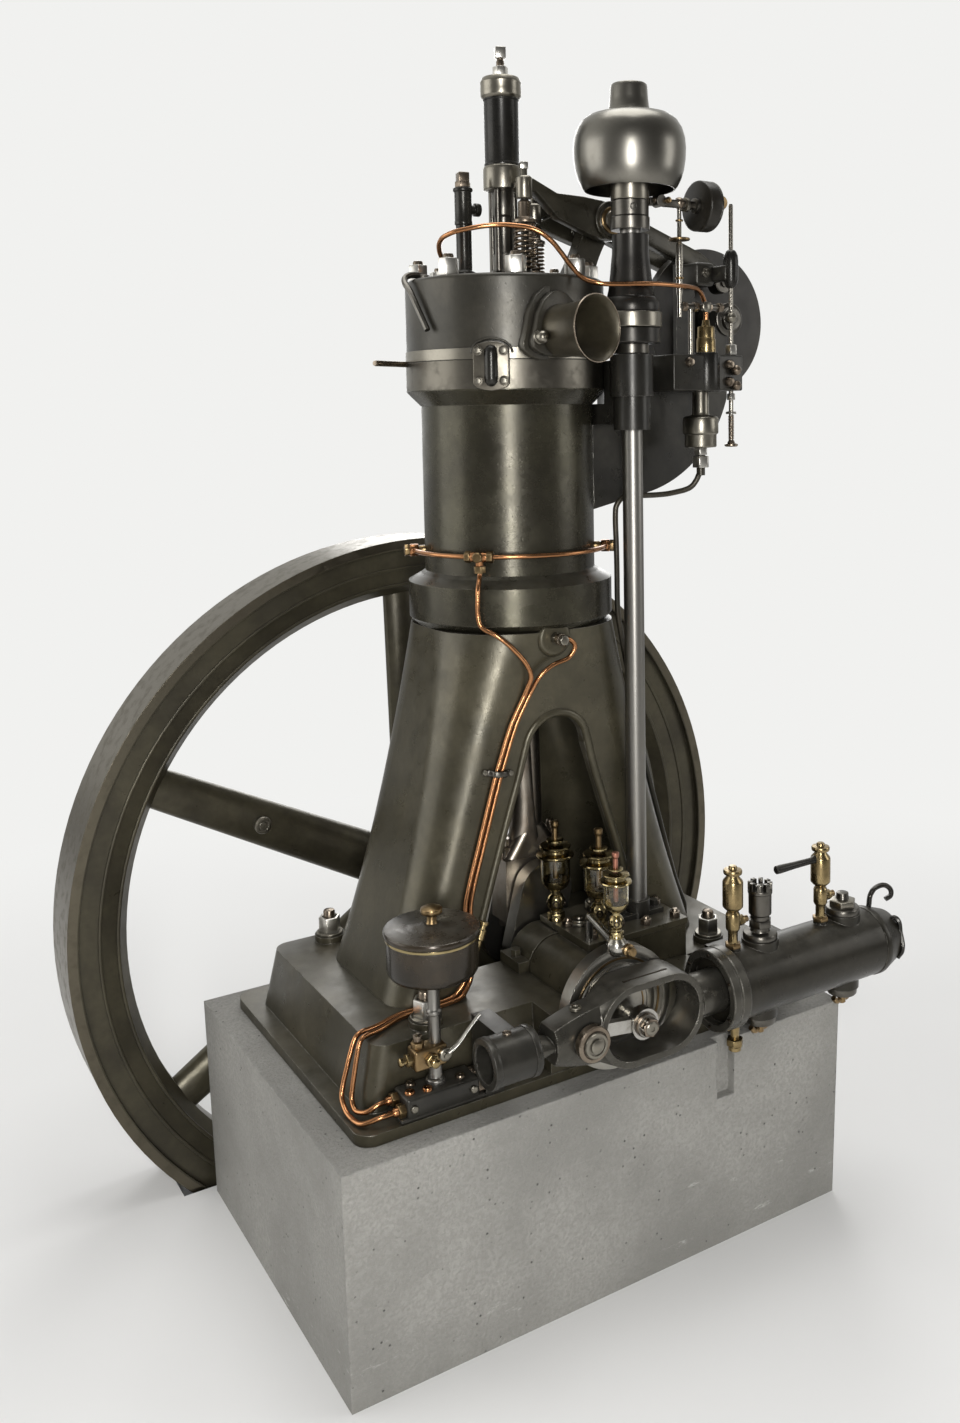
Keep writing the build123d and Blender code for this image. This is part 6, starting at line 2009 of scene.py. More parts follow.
@dataclass
class RunningGear:
    """The yoke, the disc on the shaft's end and the guide on the left.

    Attributes:
        shop: The workshop.
        y: The compressor's line in depth.
        z: The height of the shaft.
        pin: X and Z of the disc's pin.
        crosshead: Where the crosshead pin's cover sits across.
        front: The Y of the yoke's front face.
    """

    shop: Shop
    y: float = -0.405
    z: float = 0.803
    pin: tuple[float, float] = (0.019917, 0.786288)
    crosshead: float = -0.112
    front: float = -0.440

    def taper(self, casting: bpy.types.Object) -> None:
        """Draw the yoke in towards its left end and round its cheeks.

        Args:
            casting: The yoke before its edges are rounded.
        """
        cuts = [((x, 0.0, 0.0), (1.0, 0.0, 0.0)) for x in (-0.168, -0.158, -0.145, -0.130, -0.112, -0.096,
                                                           -0.085)]
        cuts += [((0.0, 0.0, self.z + step * 0.012), (0.0, 0.0, 1.0)) for step in (-4, -3, -2, -1, 1, 2, 3,
                                                                                   4)]
        bpy.ops.object.mode_set(mode="EDIT")
        for place, normal in cuts:
            bpy.ops.mesh.select_all(action="SELECT")
            bpy.ops.mesh.bisect(plane_co=place, plane_no=normal)
        bpy.ops.object.mode_set(mode="OBJECT")
        for vertex in casting.data.vertices:
            if -0.1765 < vertex.co.x < -0.0845:
                share = (vertex.co.z - self.z) / 0.063
                along = (-0.085 - vertex.co.x) / 0.091
                vertex.co.z = self.z + share * (0.050 - 0.020 * max(0.0, along) ** 1.6)
                vertex.co.y = self.y + (vertex.co.y - self.y) * math.sqrt(1.0 - 0.55 * min(1.0,
                                                                                           share * share))

    def build_yoke(self) -> None:
        """Round the yoke's edges and add its round cover, its oil hole and a dark strip of painted shade
        along its oil groove.
        """
        shop = self.shop
        yoke = shop.soften("compressor_yoke", 0.0055, shape=self.taper)
        shop.finish(yoke, "yoke_casting", "yoke_iron", instead_of=("compressor_yoke",))
        for name, finish, lift, profile in (
                ("rim", "aged_steel", 0.0, [(0.0318, 0.0), (0.0318, 0.0125), (0.030, 0.0145),
                                            (0.0245, 0.0148), (0.0235, 0.0132)]),
                ("cap", "rim_steel", 0.012, [(0.0222, 0.0), (0.0222, 0.0062), (0.0208, 0.008),
                                             (0.0165, 0.0082), (0.0158, 0.0062), (0.0128, 0.0062),
                                             (0.0122, 0.0098), (0.0088, 0.0115), (0.001, 0.012)])):
            shop.fit(
                shop.lathe(profile, sides=48), Facing.FRONT, (self.crosshead, self.front - lift, self.z),
                f"crosshead_{name}", finish)
        # a thin near-black rod on the yoke's top: painted shade along the oil groove
        shop.fit(
            shop.lathe([(0.0035, 0.0), (0.0035, 0.094)], sides=16), Facing.RIGHT, (-0.028, -0.415, 0.8748),
            "yoke_oil_groove_shade", "shade_and_screw_black")
        shop.fit(shop.lathe([
            (0.0105, 0.0), (0.0105, 0.004), (0.0078, 0.0055), (0.0045, 0.0055), (0.0035, 0.003)], sides=28),
            Facing.UP, (-0.12, -0.405, 0.8488), "yoke_oil_hole", "rim_steel")

    def build_disc(self) -> None:
        """Turn the disc's face rings and dress its pin, all riding on the crank."""
        shop = self.shop
        face = -0.3642
        rings = (
            ("outer", "crank_steel", [
                (0.0985, -0.001), (0.0985, 0.0006), (0.1085, 0.0008), (0.1124, -0.001), (0.0985, -0.001)]),
            ("line", "aged_brass", [
                (0.0865, -0.0055), (0.0865, -0.0035), (0.0905, -0.0035), (0.0905, -0.0055),
                (0.0865, -0.0055)]),
            ("inner", "crank_steel", [
                (0.060, -0.001), (0.060, 0.0012), (0.074, 0.0012), (0.0782, -0.001), (0.060, -0.001)]),
            ("hub_line", "aged_brass", [
                (0.050, -0.001), (0.050, 0.0009), (0.0525, 0.0009), (0.0525, -0.001), (0.050, -0.001)]))
        for name, finish, profile in rings:
            shop.fit(
                shop.lathe(profile, sides=72, closed=False), Facing.FRONT, (0.0, face, self.z),
                f"disc_ring_{name}", finish, body=Body.CRANK)
        x, z = self.pin
        parts = (
            (
                "washer", "aged_steel", shop.lathe([(0.0215, 0.0), (0.0215, 0.0045), (0.020, 0.006)]),
                -0.4155), ("nut", "aged_steel", shop.prism(0.031, 0.0125, chamfer=0.11), -0.4212),
            ("end", "rim_steel", shop.lathe([
                (0.0125, 0.0), (0.0125, 0.0025), (0.0108, 0.004), (0.0048, 0.0042), (0.0042, 0.0025),
                (0.0006, 0.0024)], sides=32), -0.4332))
        for name, finish, piece, at in parts:
            shop.turn(piece, Facing.FRONT, (x, at, z), 12.0)
            shop.finish(piece, f"disc_pin_{name}", finish, Body.CRANK)

    def build_guide(self) -> None:
        """Add the guide's end rings and its oil hole."""
        shop = self.shop
        for index, x in enumerate((-0.2985, -0.2215), start=1):
            ring = shop.lathe([
                (0.0385, 0.0), (0.0422, 0.0008), (0.0428, 0.003), (0.0428, 0.011), (0.0418, 0.0125)],
                sides=56)
            bore = shop.lathe([(0.0312, -0.002), (0.0312, 0.016)], sides=48)
            self.cut(ring, bore)
            shop.turn(ring, Facing.RIGHT, (x, self.y, self.z))
            shop.finish(ring, f"guide_ring_{index}", "small_iron")
        shop.fit(shop.lathe([
            (0.0078, 0.0), (0.0078, 0.0035), (0.0052, 0.0048), (0.0038, 0.0048), (0.0032, 0.002)],
            sides=24), Facing.UP, (-0.255, self.y, 0.8432), "guide_oil_hole", "aged_steel")

    def cut(self, piece: bpy.types.Object, tool: bpy.types.Object) -> None:
        """Cut one solid out of another and throw the tool away."""
        self.shop.apply(piece, "BOOLEAN", operation="DIFFERENCE", object=tool, solver="EXACT")
        bpy.data.objects.remove(tool)
        self.shop.close(piece)

    def build(self) -> None:
        """Build the running gear's dress."""
        self.build_yoke()
        self.build_disc()
        self.build_guide()


@dataclass
class Compressor:
    """The compressor's fittings: ring flange, lubricators, crown, delivery and drain valves.

    Attributes:
        shop: The workshop.
        y: Its line in depth.
        z: The height of its line.
        radius: The cylinder's radius.
    """

    shop: Shop
    y: float = -0.405
    z: float = 0.803
    radius: float = 0.066

    def build_ring(self) -> None:
        """Turn the polished ring flange, with its screws, and the cap at the right end."""
        shop = self.shop
        shop.fit(shop.lathe([
            (0.0608, 0.0), (0.0735, 0.0), (0.0752, 0.0015), (0.0752, 0.0158), (0.0742, 0.0168),
            (0.0742, 0.0212), (0.0752, 0.0222), (0.0752, 0.0382), (0.0735, 0.0402), (0.0664, 0.0405),
            (0.0608, 0.0)], sides=80, closed=False), Facing.RIGHT, (0.1712, self.y, self.z),
            "cylinder_ring", "yoke_iron")
        first = (0.1712, self.y + 0.0672 * math.cos(0.5), self.z + 0.0672 * math.sin(0.5))
        screw = shop.fit(shop.lathe(
            [(0.0036, 0.0), (0.0036, 0.0018), (0.0024, 0.0028), (0.0005, 0.0029)], sides=16), Facing.LEFT,
            first, "ring_screw_1", "shade_and_screw_black")
        shop.copies(
            screw, "ring_screw", around(6, axis=(1.0, 0.0, 0.0), centre=(0.0, self.y, self.z)),
            "shade_and_screw_black")
        shop.fit(
            shop.lathe([(0.0668, 0.0), (0.0676, 0.002), (0.0676, 0.012), (0.0668, 0.0145)], sides=72),
            Facing.RIGHT, (0.566, self.y, self.z), "cylinder_end_band", "compressor_iron")
        shop.fit(
            shop.prism(0.036, 0.014), Facing.RIGHT, (0.6215, self.y, self.z), "cylinder_end_plug",
            "aged_steel", spin=8.0)
        handle = shop.bar([
            (0.585, -0.400, 0.868), (0.592, -0.400, 0.894), (0.608, -0.402, 0.905), (0.630, -0.408, 0.902),
            (0.636, -0.412, 0.886), (0.622, -0.41, 0.878)], 0.0052)
        shop.finish(handle, "cylinder_handle", "tube_iron")
        hook = shop.bar([
            (0.612, -0.432, 0.842), (0.618, -0.44, 0.85), (0.622, -0.452, 0.82), (0.619, -0.46, 0.79),
            (0.615, -0.452, 0.772)], 0.0055, ends=(1.0, 0.7))
        shop.finish(hook, "cylinder_hook", "tube_iron")

    def build_lubricators(self) -> None:
        """Turn the two brass lubricators, with their plugs and the long handle of the right one."""
        shop = self.shop
        profile = [
            (0.0108, 0.0), (0.0108, 0.007), (0.0092, 0.009), (0.0092, 0.028), (0.0125, 0.033),
            (0.0134, 0.036), (0.0134, 0.061), (0.0118, 0.0650), (0.0092, 0.067), (0.0162, 0.0735),
            (0.0190, 0.0770), (0.0192, 0.079), (0.0192, 0.1235), (0.0182, 0.1265), (0.0118, 0.134),
            (0.0112, 0.138), (0.0168, 0.1392), (0.0176, 0.1412), (0.0176, 0.1452), (0.0165, 0.1472),
            (0.0082, 0.1482), (0.0078, 0.1525), (0.0062, 0.1542), (0.001, 0.1545)]
        for index, x in enumerate((0.228, 0.448), start=1):
            shop.fit(
                shop.lathe(profile, sides=44), Facing.UP, (x, self.y, 0.8752), f"lubricator_{index}",
                "brass", instead_of=("compressor_lubricators",) if index == 1 else ())
            shop.fit(
                shop.prism(0.0175, 0.012, chamfer=0.13), Facing.RIGHT, (x + 0.0118, self.y, 0.921),
                f"lubricator_plug_{index}", "brass", spin=15.0)
            shop.fit(
                shop.lathe([(0.0062, 0.0), (0.0062, 0.010), (0.0045, 0.0115)], sides=20), Facing.RIGHT,
                (x + 0.0235, self.y, 0.921), f"lubricator_tail_{index}", "aged_brass")
            shop.fit(
                shop.prism(0.028, 0.008), Facing.UP, (x, self.y, 0.8735), f"lubricator_foot_{index}",
                "aged_brass", spin=25.0)
        shop.fit(shop.lathe([
            (0.006, 0.0), (0.0078, 0.0015), (0.0082, 0.010), (0.0068, 0.045), (0.0062, 0.088), (0.008, 0.1),
            (0.008, 0.115)], sides=28), Facing.RIGHT, (0.333, self.y, 0.998), "lubricator_handle",
            "tube_iron")

    def build_valves(self) -> None:
        """Build the castellated crown valve, the delivery valve, and what hangs below."""
        shop = self.shop
        left, right = 0.294, 0.507
        top = self.z + self.radius + 0.008
        shop.fit(shop.lathe([
            (0.0325, 0.0), (0.0325, 0.009), (0.031, 0.0115), (0.0185, 0.0135), (0.0178, 0.018),
            (0.0178, 0.044), (0.0215, 0.0475), (0.0218, 0.086), (0.0232, 0.0875), (0.0232, 0.094),
            (0.0125, 0.0945), (0.0118, 0.101), (0.001, 0.1015)], sides=48, soft=0.0004), Facing.UP,
            (left, self.y, top), "crown_valve", "dark_steel", instead_of=("compressor_valves",))
        first = (left + 0.0182, self.y, top + 0.0925)
        tooth = shop.block(
            (first[0] - 0.0045, first[1] - 0.0042, first[2]),
            (first[0] + 0.0048, first[1] + 0.0042, first[2] + 0.0155), soft=0.0008)
        shop.finish(tooth, "crown_tooth_1", "dark_steel")
        shop.copies(tooth, "crown_tooth", around(8, centre=(left, self.y, 0.0)), "dark_steel")
        shop.fit(
            shop.prism(0.040, 0.013, chamfer=0.11), Facing.UP, (left, self.y, top + 0.0225),
            "crown_valve_nut", "dark_steel", spin=18.0)
        shop.fit(shop.lathe([
            (0.0335, 0.0), (0.0335, 0.010), (0.032, 0.0125), (0.022, 0.0135), (0.0205, 0.026),
            (0.0125, 0.0275), (0.0118, 0.0395), (0.0095, 0.0405)], sides=44, soft=0.0004), Facing.UP,
            (right, self.y, top), "delivery_valve", "dark_steel")
        shop.fit(
            shop.prism(0.047, 0.0125, chamfer=0.1), Facing.UP, (right, self.y, top + 0.0128),
            "delivery_valve_nut", "rim_steel", spin=10.0)
        low = self.z - self.radius
        shop.fit(shop.lathe([
            (0.0085, low - 0.066), (0.0122, low - 0.0635), (0.0122, low - 0.0565), (0.0085, low - 0.0545),
            (0.0085, low - 0.030), (0.0092, low - 0.028), (0.0092, low + 0.001)], sides=28), Facing.UP,
            (0.232, self.y, 0.0), "drain_valve", "brass")
        for index, (at, tall, flats) in enumerate(((low - 0.0545, 0.013, 0.028),
                                                   (low - 0.016, 0.0145, 0.024)),
                                                  start=1):
            shop.fit(
                shop.prism(flats, tall), Facing.UP, (0.232, self.y, at), f"drain_nut_{index}",
                "brass" if index == 1 else "aged_steel", spin=12.0 * index)
        for index, x in enumerate((left, right), start=1):
            shop.fit(shop.lathe([
                (0.022, low - 0.026), (0.028, low - 0.0245), (0.0295, low - 0.022), (0.0295, low - 0.0112),
                (0.0285, low - 0.0098)], sides=48, soft=0.0004), Facing.UP, (x, self.y, 0.0),
                f"lower_cover_{index}", "dark_steel")
            shop.fit(shop.lathe(
                [(0.0065, low - 0.046), (0.0078, low - 0.0445), (0.0078, low - 0.026)], sides=24),
                Facing.UP, (x, self.y, 0.0), f"lower_stud_{index}", "aged_brass")
            wing = shop.bar([
                (x - 0.026, self.y - 0.004, low - 0.030), (x - 0.014, self.y - 0.002, low - 0.040),
                (x, self.y, low - 0.036), (x + 0.014, self.y + 0.002, low - 0.040),
                (x + 0.026, self.y + 0.004, low - 0.030)], 0.0045, ends=(1.2, 1.2))
            shop.finish(wing, f"lower_wing_{index}", "aged_brass")

    def build(self) -> None:
        """Dress the compressor."""
        self.build_ring()
        self.build_lubricators()
        self.build_valves()


@dataclass
class OilSupply:
    """The oil tank on its stand, with its cocks, and the twin plunger pump below it.

    Attributes:
        shop: The workshop.
        x: The tank's place across.
        y: Its place in depth.
        low: The height of its underside.
        high: The height of its rim.
        radius: Its radius.
        flange: The height of the bed's flange.
    """

    shop: Shop
    x: float = -0.330
    y: float = -0.288
    low: float = 0.923
    high: float = 0.996
    radius: float = 0.078
    flange: float = 0.6925

    def build_tank(self) -> None:
        """Spin the tank with its brass rim, the lid and the mushroom knob."""
        shop, low, high, r = self.shop, self.low, self.high, self.radius
        shop.fit(shop.lathe([
            (0.020, low - 0.004), (0.050, low - 0.002), (r - 0.014, low + 0.001), (r - 0.005, low + 0.005),
            (r - 0.001, low + 0.011), (r, low + 0.017), (r, high - 0.008), (r + 0.0012, high - 0.0072),
            (r + 0.0012, high - 0.0005), (r - 0.002, high)], sides=80), Facing.UP, (self.x, self.y, 0.0),
            "tank_body", "tank_iron", instead_of=("oil_tank",))
        shop.fit(shop.lathe([
            (r, high - 0.006), (r + 0.0022, high - 0.0055), (r + 0.0026, high - 0.0035),
            (r + 0.0022, high - 0.0012), (r, high - 0.0008), (r, high - 0.006)], sides=80, closed=False),
            Facing.UP, (self.x, self.y, 0.0), "tank_rim", "pale_brass")
        shop.fit(shop.lathe([
            (r + 0.0032, high), (r + 0.0042, high + 0.0015), (r + 0.0042, high + 0.0075),
            (r + 0.0025, high + 0.0098), (r - 0.006, high + 0.0112), (0.045, high + 0.0125),
            (0.021, high + 0.0145), (0.018, high + 0.0165), (0.012, high + 0.017)], sides=80), Facing.UP,
            (self.x, self.y, 0.0), "tank_cover", "tank_iron", instead_of=("tank_lid",))
        shop.fit(shop.lathe([
            (0.0105, high + 0.0165), (0.0085, high + 0.020), (0.0082, high + 0.029),
            (0.0108, high + 0.0315), (0.0178, high + 0.0345), (0.0192, high + 0.0385),
            (0.0180, high + 0.0428), (0.0125, high + 0.0458), (0.001, high + 0.047)], sides=44), Facing.UP,
            (self.x, self.y, 0.0), "tank_knob", "aged_brass")

    def build_cock(self) -> None:
        """Fit the small brass cock on the tank's right side."""
        shop = self.shop
        x, z = self.x + self.radius, self.high - 0.026
        shop.fit(shop.lathe(
            [(0.0105, -0.002), (0.0105, 0.002), (0.0058, 0.003), (0.0058, 0.014)], sides=24), Facing.RIGHT,
            (x, self.y, z), "tank_cock_arm", "brass")
        body = shop.lathe([
            (0.0055, -0.028), (0.0068, -0.026), (0.0068, -0.009), (0.0088, -0.007), (0.0088, 0.009),
            (0.0068, 0.011), (0.0068, 0.018), (0.0092, 0.019), (0.0092, 0.0235), (0.003, 0.0245)], sides=28)
        shop.move(body, Matrix.Translation((x + 0.0125, self.y - 0.002,
                                            z)) @ Matrix.Rotation(math.radians(20.0), 4, "Y"))
        shop.finish(body, "tank_cock", "brass")

    def build_stand(self) -> None:
        """Build the polished stem, the brass valve block with its screws and the pale lever."""
        shop, x, y = self.shop, self.x, self.y
        shop.fit(shop.lathe([
            (0.0175, 0.7325), (0.0175, 0.739), (0.0155, 0.7415), (0.0118, 0.743), (0.0118, 0.772),
            (0.014, 0.774), (0.014, 0.780), (0.0102, 0.783), (0.0102, 0.852), (0.0132, 0.8545),
            (0.0132, 0.860), (0.0105, 0.8625), (0.0105, 0.908), (0.0165, 0.912), (0.0205, 0.918),
            (0.0205, 0.9195)], soft=0.0003), Facing.UP, (x, y, 0.0), "tank_stem", "shaft_steel",
            instead_of=("tank_stand",))
        block = shop.block(
            (x - 0.046, y - 0.020, 0.768), (x + 0.0135, y + 0.014, 0.804), soft=0.004, cuts=3)
        shop.finish(block, "valve_block", "aged_brass")
        for name, at, facing, finish in (("left", (x - 0.046, y - 0.003, 0.786), Facing.LEFT, "brass"),
                                         ("front", (x - 0.018, y - 0.020, 0.786), Facing.FRONT, "brass"),
                                         ("top", (x - 0.034, y - 0.003, 0.804), Facing.UP, "aged_brass")):
            shop.fit(shop.prism(0.0205, 0.010), facing, at, f"valve_nut_{name}", finish, spin=15.0)
            shop.fit(shop.lathe([
                (0.0062, 0.009), (0.0062, 0.016), (0.0078, 0.017), (0.0078, 0.0215), (0.0062, 0.0228),
                (0.001, 0.023)], sides=24), facing, at, f"valve_spindle_{name}",
                "aged_steel" if name == "top" else "brass")
        lever = shop.bar([
            (x + 0.010, y - 0.024, 0.790), (x + 0.026, y - 0.028, 0.800), (x + 0.047, y - 0.030, 0.822),
            (x + 0.070, y - 0.032, 0.846)], 0.0042, flat=(0.0062, 0.0032), ends=(1.0, 0.75))
        shop.finish(lever, "valve_lever", "nut_steel")
        shop.fit(shop.lathe([
            (0.0115, 0.0), (0.0115, 0.005), (0.0095, 0.0065), (0.0055, 0.0068), (0.005, 0.0105),
            (0.0008, 0.0108)], sides=28), Facing.FRONT, (x + 0.008, y - 0.021, 0.788), "valve_lever_eye",
            "rim_steel")

    def build_pump(self) -> None:
        """Build the pump's block with its oval flanges, unions, screws and plunger rods."""
        shop, floor = self.shop, self.flange
        left, right = -0.398, -0.262
        block = shop.block((left, -0.319, floor), (right, -0.264, floor + 0.040), soft=0.0045, cuts=3)
        shop.finish(block, "oil_pump_block", "small_iron", instead_of=("oil_pump",))
        foot = shop.block((-0.410, -0.3195, floor), (-0.250, -0.262, floor + 0.008), soft=0.003)
        shop.finish(foot, "oil_pump_foot", "small_iron")
        for row, (y, z) in enumerate(((-0.305, floor + 0.018), (-0.278, floor + 0.026)), start=1):
            shop.fit(
                shop.prism(0.0215, 0.0115), Facing.LEFT, (left, y, z), f"oil_union_nut_{row}", "aged_brass",
                spin=10.0 * row)
            shop.fit(
                shop.lathe([(0.0072, 0.0), (0.0072, 0.0165), (0.0058, 0.0185)], sides=24), Facing.LEFT,
                (-0.4, y, z), f"oil_union_{row}", "copper")
            shop.fit(
                shop.prism(0.023, 0.012), Facing.RIGHT, (right, y, z), f"plunger_gland_{row}", "aged_steel",
                spin=14.0)
            shop.fit(shop.lathe([
                (0.0047, 0.0), (0.0047, 0.046 + 0.012 * row), (0.0038, 0.048 + 0.012 * row)], sides=20),
                Facing.RIGHT, (-0.25, y, z), f"plunger_rod_{row}", "nut_steel")
            shop.fit(shop.lathe(
                [(0.0078, 0.0), (0.0082, 0.0008), (0.0082, 0.0062), (0.0074, 0.007)], sides=24),
                Facing.RIGHT, (-0.236, y, z), f"plunger_collar_{row}", "aged_steel")
        for index, (x, y) in enumerate(((-0.385, -0.300), (-0.355, -0.306), (-0.290, -0.300),
                                        (-0.372, -0.276)),
                                       start=1):
            shop.fit(shop.lathe([
                (0.0085, 0.0), (0.0088, 0.003), (0.0075, 0.0055), (0.002, 0.0062), (0.0018, 0.005)],
                sides=24), Facing.UP, (x, y, floor + 0.040), f"oil_pump_screw_{index}",
                "copper" if index < 3 else "aged_steel")
        for index, x in enumerate((-0.386, -0.274), start=1):
            shop.fit(shop.lathe(
                [(0.0066, 0.0), (0.0066, 0.0032), (0.0052, 0.0045), (0.0006, 0.0048)], sides=24),
                Facing.FRONT, (x, -0.319, floor + 0.022), f"oil_pump_face_screw_{index}", "rim_steel")

    def build(self) -> None:
        """Build the oil supply."""
        self.build_tank()
        self.build_cock()
        self.build_stand()
        self.build_pump()


@dataclass
class Pipework:
    """The copper and black pipes, drawn as smooth runs, with their unions.

    Attributes:
        shop: The workshop.
        ring_level: The height of the ring pipe.
        ring_radius: Its radius round the cylinder.
        tee: Where its tee sits, in degrees from +X.
    """

    shop: Shop
    ring_level: float = 1.605
    ring_radius: float = 0.188
    tee: float = 223.0

    def build_head_pipe(self) -> None:
        """Bend the copper pipe from the head to the fuel pump's brass cap."""
        shop = self.shop
        foot = (-0.134, -0.005, 2.116)
        route = [
            (-0.134, -0.005, 2.128), (-0.1345, -0.006, 2.147), (-0.1475, -0.018, 2.167),
            (-0.156, -0.040, 2.181), (-0.152, -0.070, 2.1905), (-0.134, -0.095, 2.196),
            (-0.093, -0.124, 2.2025), (-0.055, -0.138, 2.2025), (-0.020, -0.150, 2.196),
            (0.004, -0.165, 2.177), (0.018, -0.177, 2.155), (0.031, -0.189, 2.131), (0.047, -0.204, 2.108),
            (0.066, -0.224, 2.0975), (0.100, -0.237, 2.096), (0.145, -0.2405, 2.098),
            (0.185, -0.2395, 2.0995), (0.250, -0.227, 2.100), (0.290, -0.212, 2.100),
            (0.317, -0.200, 2.0965), (0.335, -0.191, 2.083), (0.345, -0.186, 2.062), (0.346, -0.185, 2.041)]
        pipe = shop.bar(route, 0.0046, sides=16)
        shop.finish(pipe, "head_copper_pipe", "copper", instead_of=("head_pipe",))
        shop.fit(shop.prism(0.0245, 0.0135), Facing.UP, foot, "head_pipe_nut", "nut_steel", spin=12.0)
        shop.fit(
            shop.lathe([(0.0095, 0.0135), (0.0085, 0.0175), (0.0058, 0.0235)], sides=24), Facing.UP, foot,
            "head_pipe_cone", "aged_brass")

    def build_ring(self) -> None:
        """Lay the ring pipe round the jacket, with its tee, unions and end fittings."""
        shop, level = self.shop, self.ring_level
        route = [on_jacket(angle, self.ring_radius, level) for angle in range(160, 326, 5)]
        ring = shop.bar(route, 0.0046, sides=16)
        shop.finish(ring, "ring_copper_pipe", "copper", instead_of=("jacket_ring_pipe",))
        for index, angle in enumerate((160.0, 325.0), start=1):
            turn = math.radians(angle)
            out = Vector((math.cos(turn), math.sin(turn), 0.0))
            stand = Vector((0.0, 0.0, 1.0)).rotation_difference(out).to_matrix().to_4x4()
            for name, finish, piece in (
                    ("neck", "aged_brass", shop.lathe([(0.009, -0.022), (0.009, -0.012), (0.0078, -0.010),
                                                       (0.0078, 0.0)], sides=24)),
                    ("eye", "copper", shop.lathe([(0.0108, -0.0085), (0.0118, -0.007), (0.0118, 0.007),
                                                  (0.0108, 0.0085)], sides=32)),
                    ("nut", "aged_brass", shop.prism(0.0205, 0.0095))):
                lift = Vector((0.0, 0.0, 0.0)) if name != "nut" else out * 0.0085
                shop.move(
                    piece,
                    Matrix.Translation(Vector(on_jacket(angle, self.ring_radius, level)) + lift) @ stand)
                shop.finish(piece, f"ring_end_{name}_{index}", finish)
        x, y, _ = on_jacket(self.tee, self.ring_radius, level)
        along = Matrix.Translation((x, y, level)) @ Matrix.Rotation(math.radians(self.tee), 4, "Z")
        lying = Matrix.Rotation(math.pi / 2, 4, "X")
        body = shop.lathe([(0.0085, -0.017), (0.0095, -0.015), (0.0095, 0.015), (0.0085, 0.017)], sides=28)
        shop.move(body, along @ lying)
        shop.finish(body, "ring_tee", "copper")
        for index, (at, side) in enumerate(((0.0165, 1.0), (-0.0265, 1.0)), start=1):
            nut = shop.prism(0.0195, 0.0105)
            shop.move(nut, along @ lying @ Matrix.Translation((0.0, 0.0, at * side)))
            shop.finish(nut, f"ring_tee_nut_{index}", "aged_brass")
        neck = shop.lathe([(0.0078, -0.026), (0.0078, -0.008), (0.0090, -0.006)], sides=24)
        shop.move(neck, along)
        shop.finish(neck, "ring_tee_neck", "copper")
        nut = shop.prism(0.0205, 0.0125)
        shop.move(nut, along @ Matrix.Translation((0.0, 0.0, -0.0295)))
        shop.finish(nut, "ring_tee_low_nut", "aged_brass")
        outlet = shop.lathe([(0.0095, 0.004), (0.0095, 0.0135), (0.0075, 0.0155), (0.001, 0.016)], sides=28)
        shop.move(outlet, along @ Matrix.Rotation(math.pi / 2, 4, "Y"))
        shop.finish(outlet, "ring_tee_plug", "aged_brass")

    def build_feeds(self) -> None:
        """Bend the two oil pipes that run side by side down the frame, and the black fuel pipe."""
        shop = self.shop
        over_bed = 0.808
        slope = [(-0.0745, 1.352), (-0.104, 1.296), (-0.134, 1.209), (-0.168, 1.094), (-0.2035, 0.977)]
        for name, node, shift, start, end in (
                ("jacket", "jacket_feed_pipe", 0.0,
                 [(-0.1375, -0.1282, 1.581), (-0.1375, -0.1282, 1.570), (-0.152, -0.146, 1.548),
                  (-0.152, -0.146, 1.480), (-0.128, -0.172, 1.464), (-0.107, -0.181, 1.445),
                  (-0.080, -0.190, 1.413), (-0.066, -0.190, 1.385)],
                 [(-0.232, -0.170, over_bed), (-0.345, -0.172, over_bed), (-0.400, -0.193, over_bed),
                  (-0.438, -0.204, 0.813), (-0.454, -0.209, 0.776), (-0.474, -0.215, 0.716),
                  (-0.475, -0.244, 0.6975), (-0.470, -0.288, 0.6975), (-0.440, -0.305, 0.7105),
                  (-0.416, -0.305, 0.7105)]),
                ("frame", "frame_feed_pipe", 0.0112,
                 [(-0.014, -0.202, 1.450), (0.006, -0.203, 1.450), (0.023, -0.202, 1.434),
                  (0.010, -0.198, 1.411), (-0.024, -0.194, 1.403), (-0.050, -0.190, 1.385)],
                 [(-0.222, -0.182, over_bed), (-0.345, -0.183, over_bed), (-0.396, -0.206, over_bed),
                  (-0.438, -0.222, 0.813), (-0.449, -0.227, 0.776), (-0.462, -0.233, 0.716),
                  (-0.463, -0.250, 0.702), (-0.452, -0.272, 0.706), (-0.432, -0.278, 0.7185),
                  (-0.416, -0.278, 0.7185)])):
            face = [(x + shift, shop.touch("a_frame", x, z) - 0.0056, z) for x, z in slope]
            foot = (face[-1][0] - 0.003, -0.171, 0.836)
            pipe = shop.bar(eased(start + face + [foot] + end, 0.016), 0.0045, sides=16)
            shop.finish(pipe, f"{name}_oil_pipe", "copper", instead_of=(node,))
        black = shop.bar(eased([
            (0.338, -0.177, 1.792), (0.338, -0.177, 1.745), (0.324, -0.167, 1.713), (0.277, -0.150, 1.702),
            (0.166, -0.150, 1.702), (0.152, -0.147, 1.684), (0.158, -0.141, 1.575), (0.166, -0.130, 1.470),
            (0.252, -0.096, 1.155), (0.333, -0.090, 0.883), (0.358, -0.088, 0.826), (0.358, -0.088, 0.803)],
            0.024), 0.0055, sides=16)
        shop.finish(black, "fuel_oil_pipe", "black_pipe", instead_of=("fuel_pipe",))

    def build(self) -> None:
        """Build the pipework."""
        self.build_head_pipe()
        self.build_ring()
        self.build_feeds()


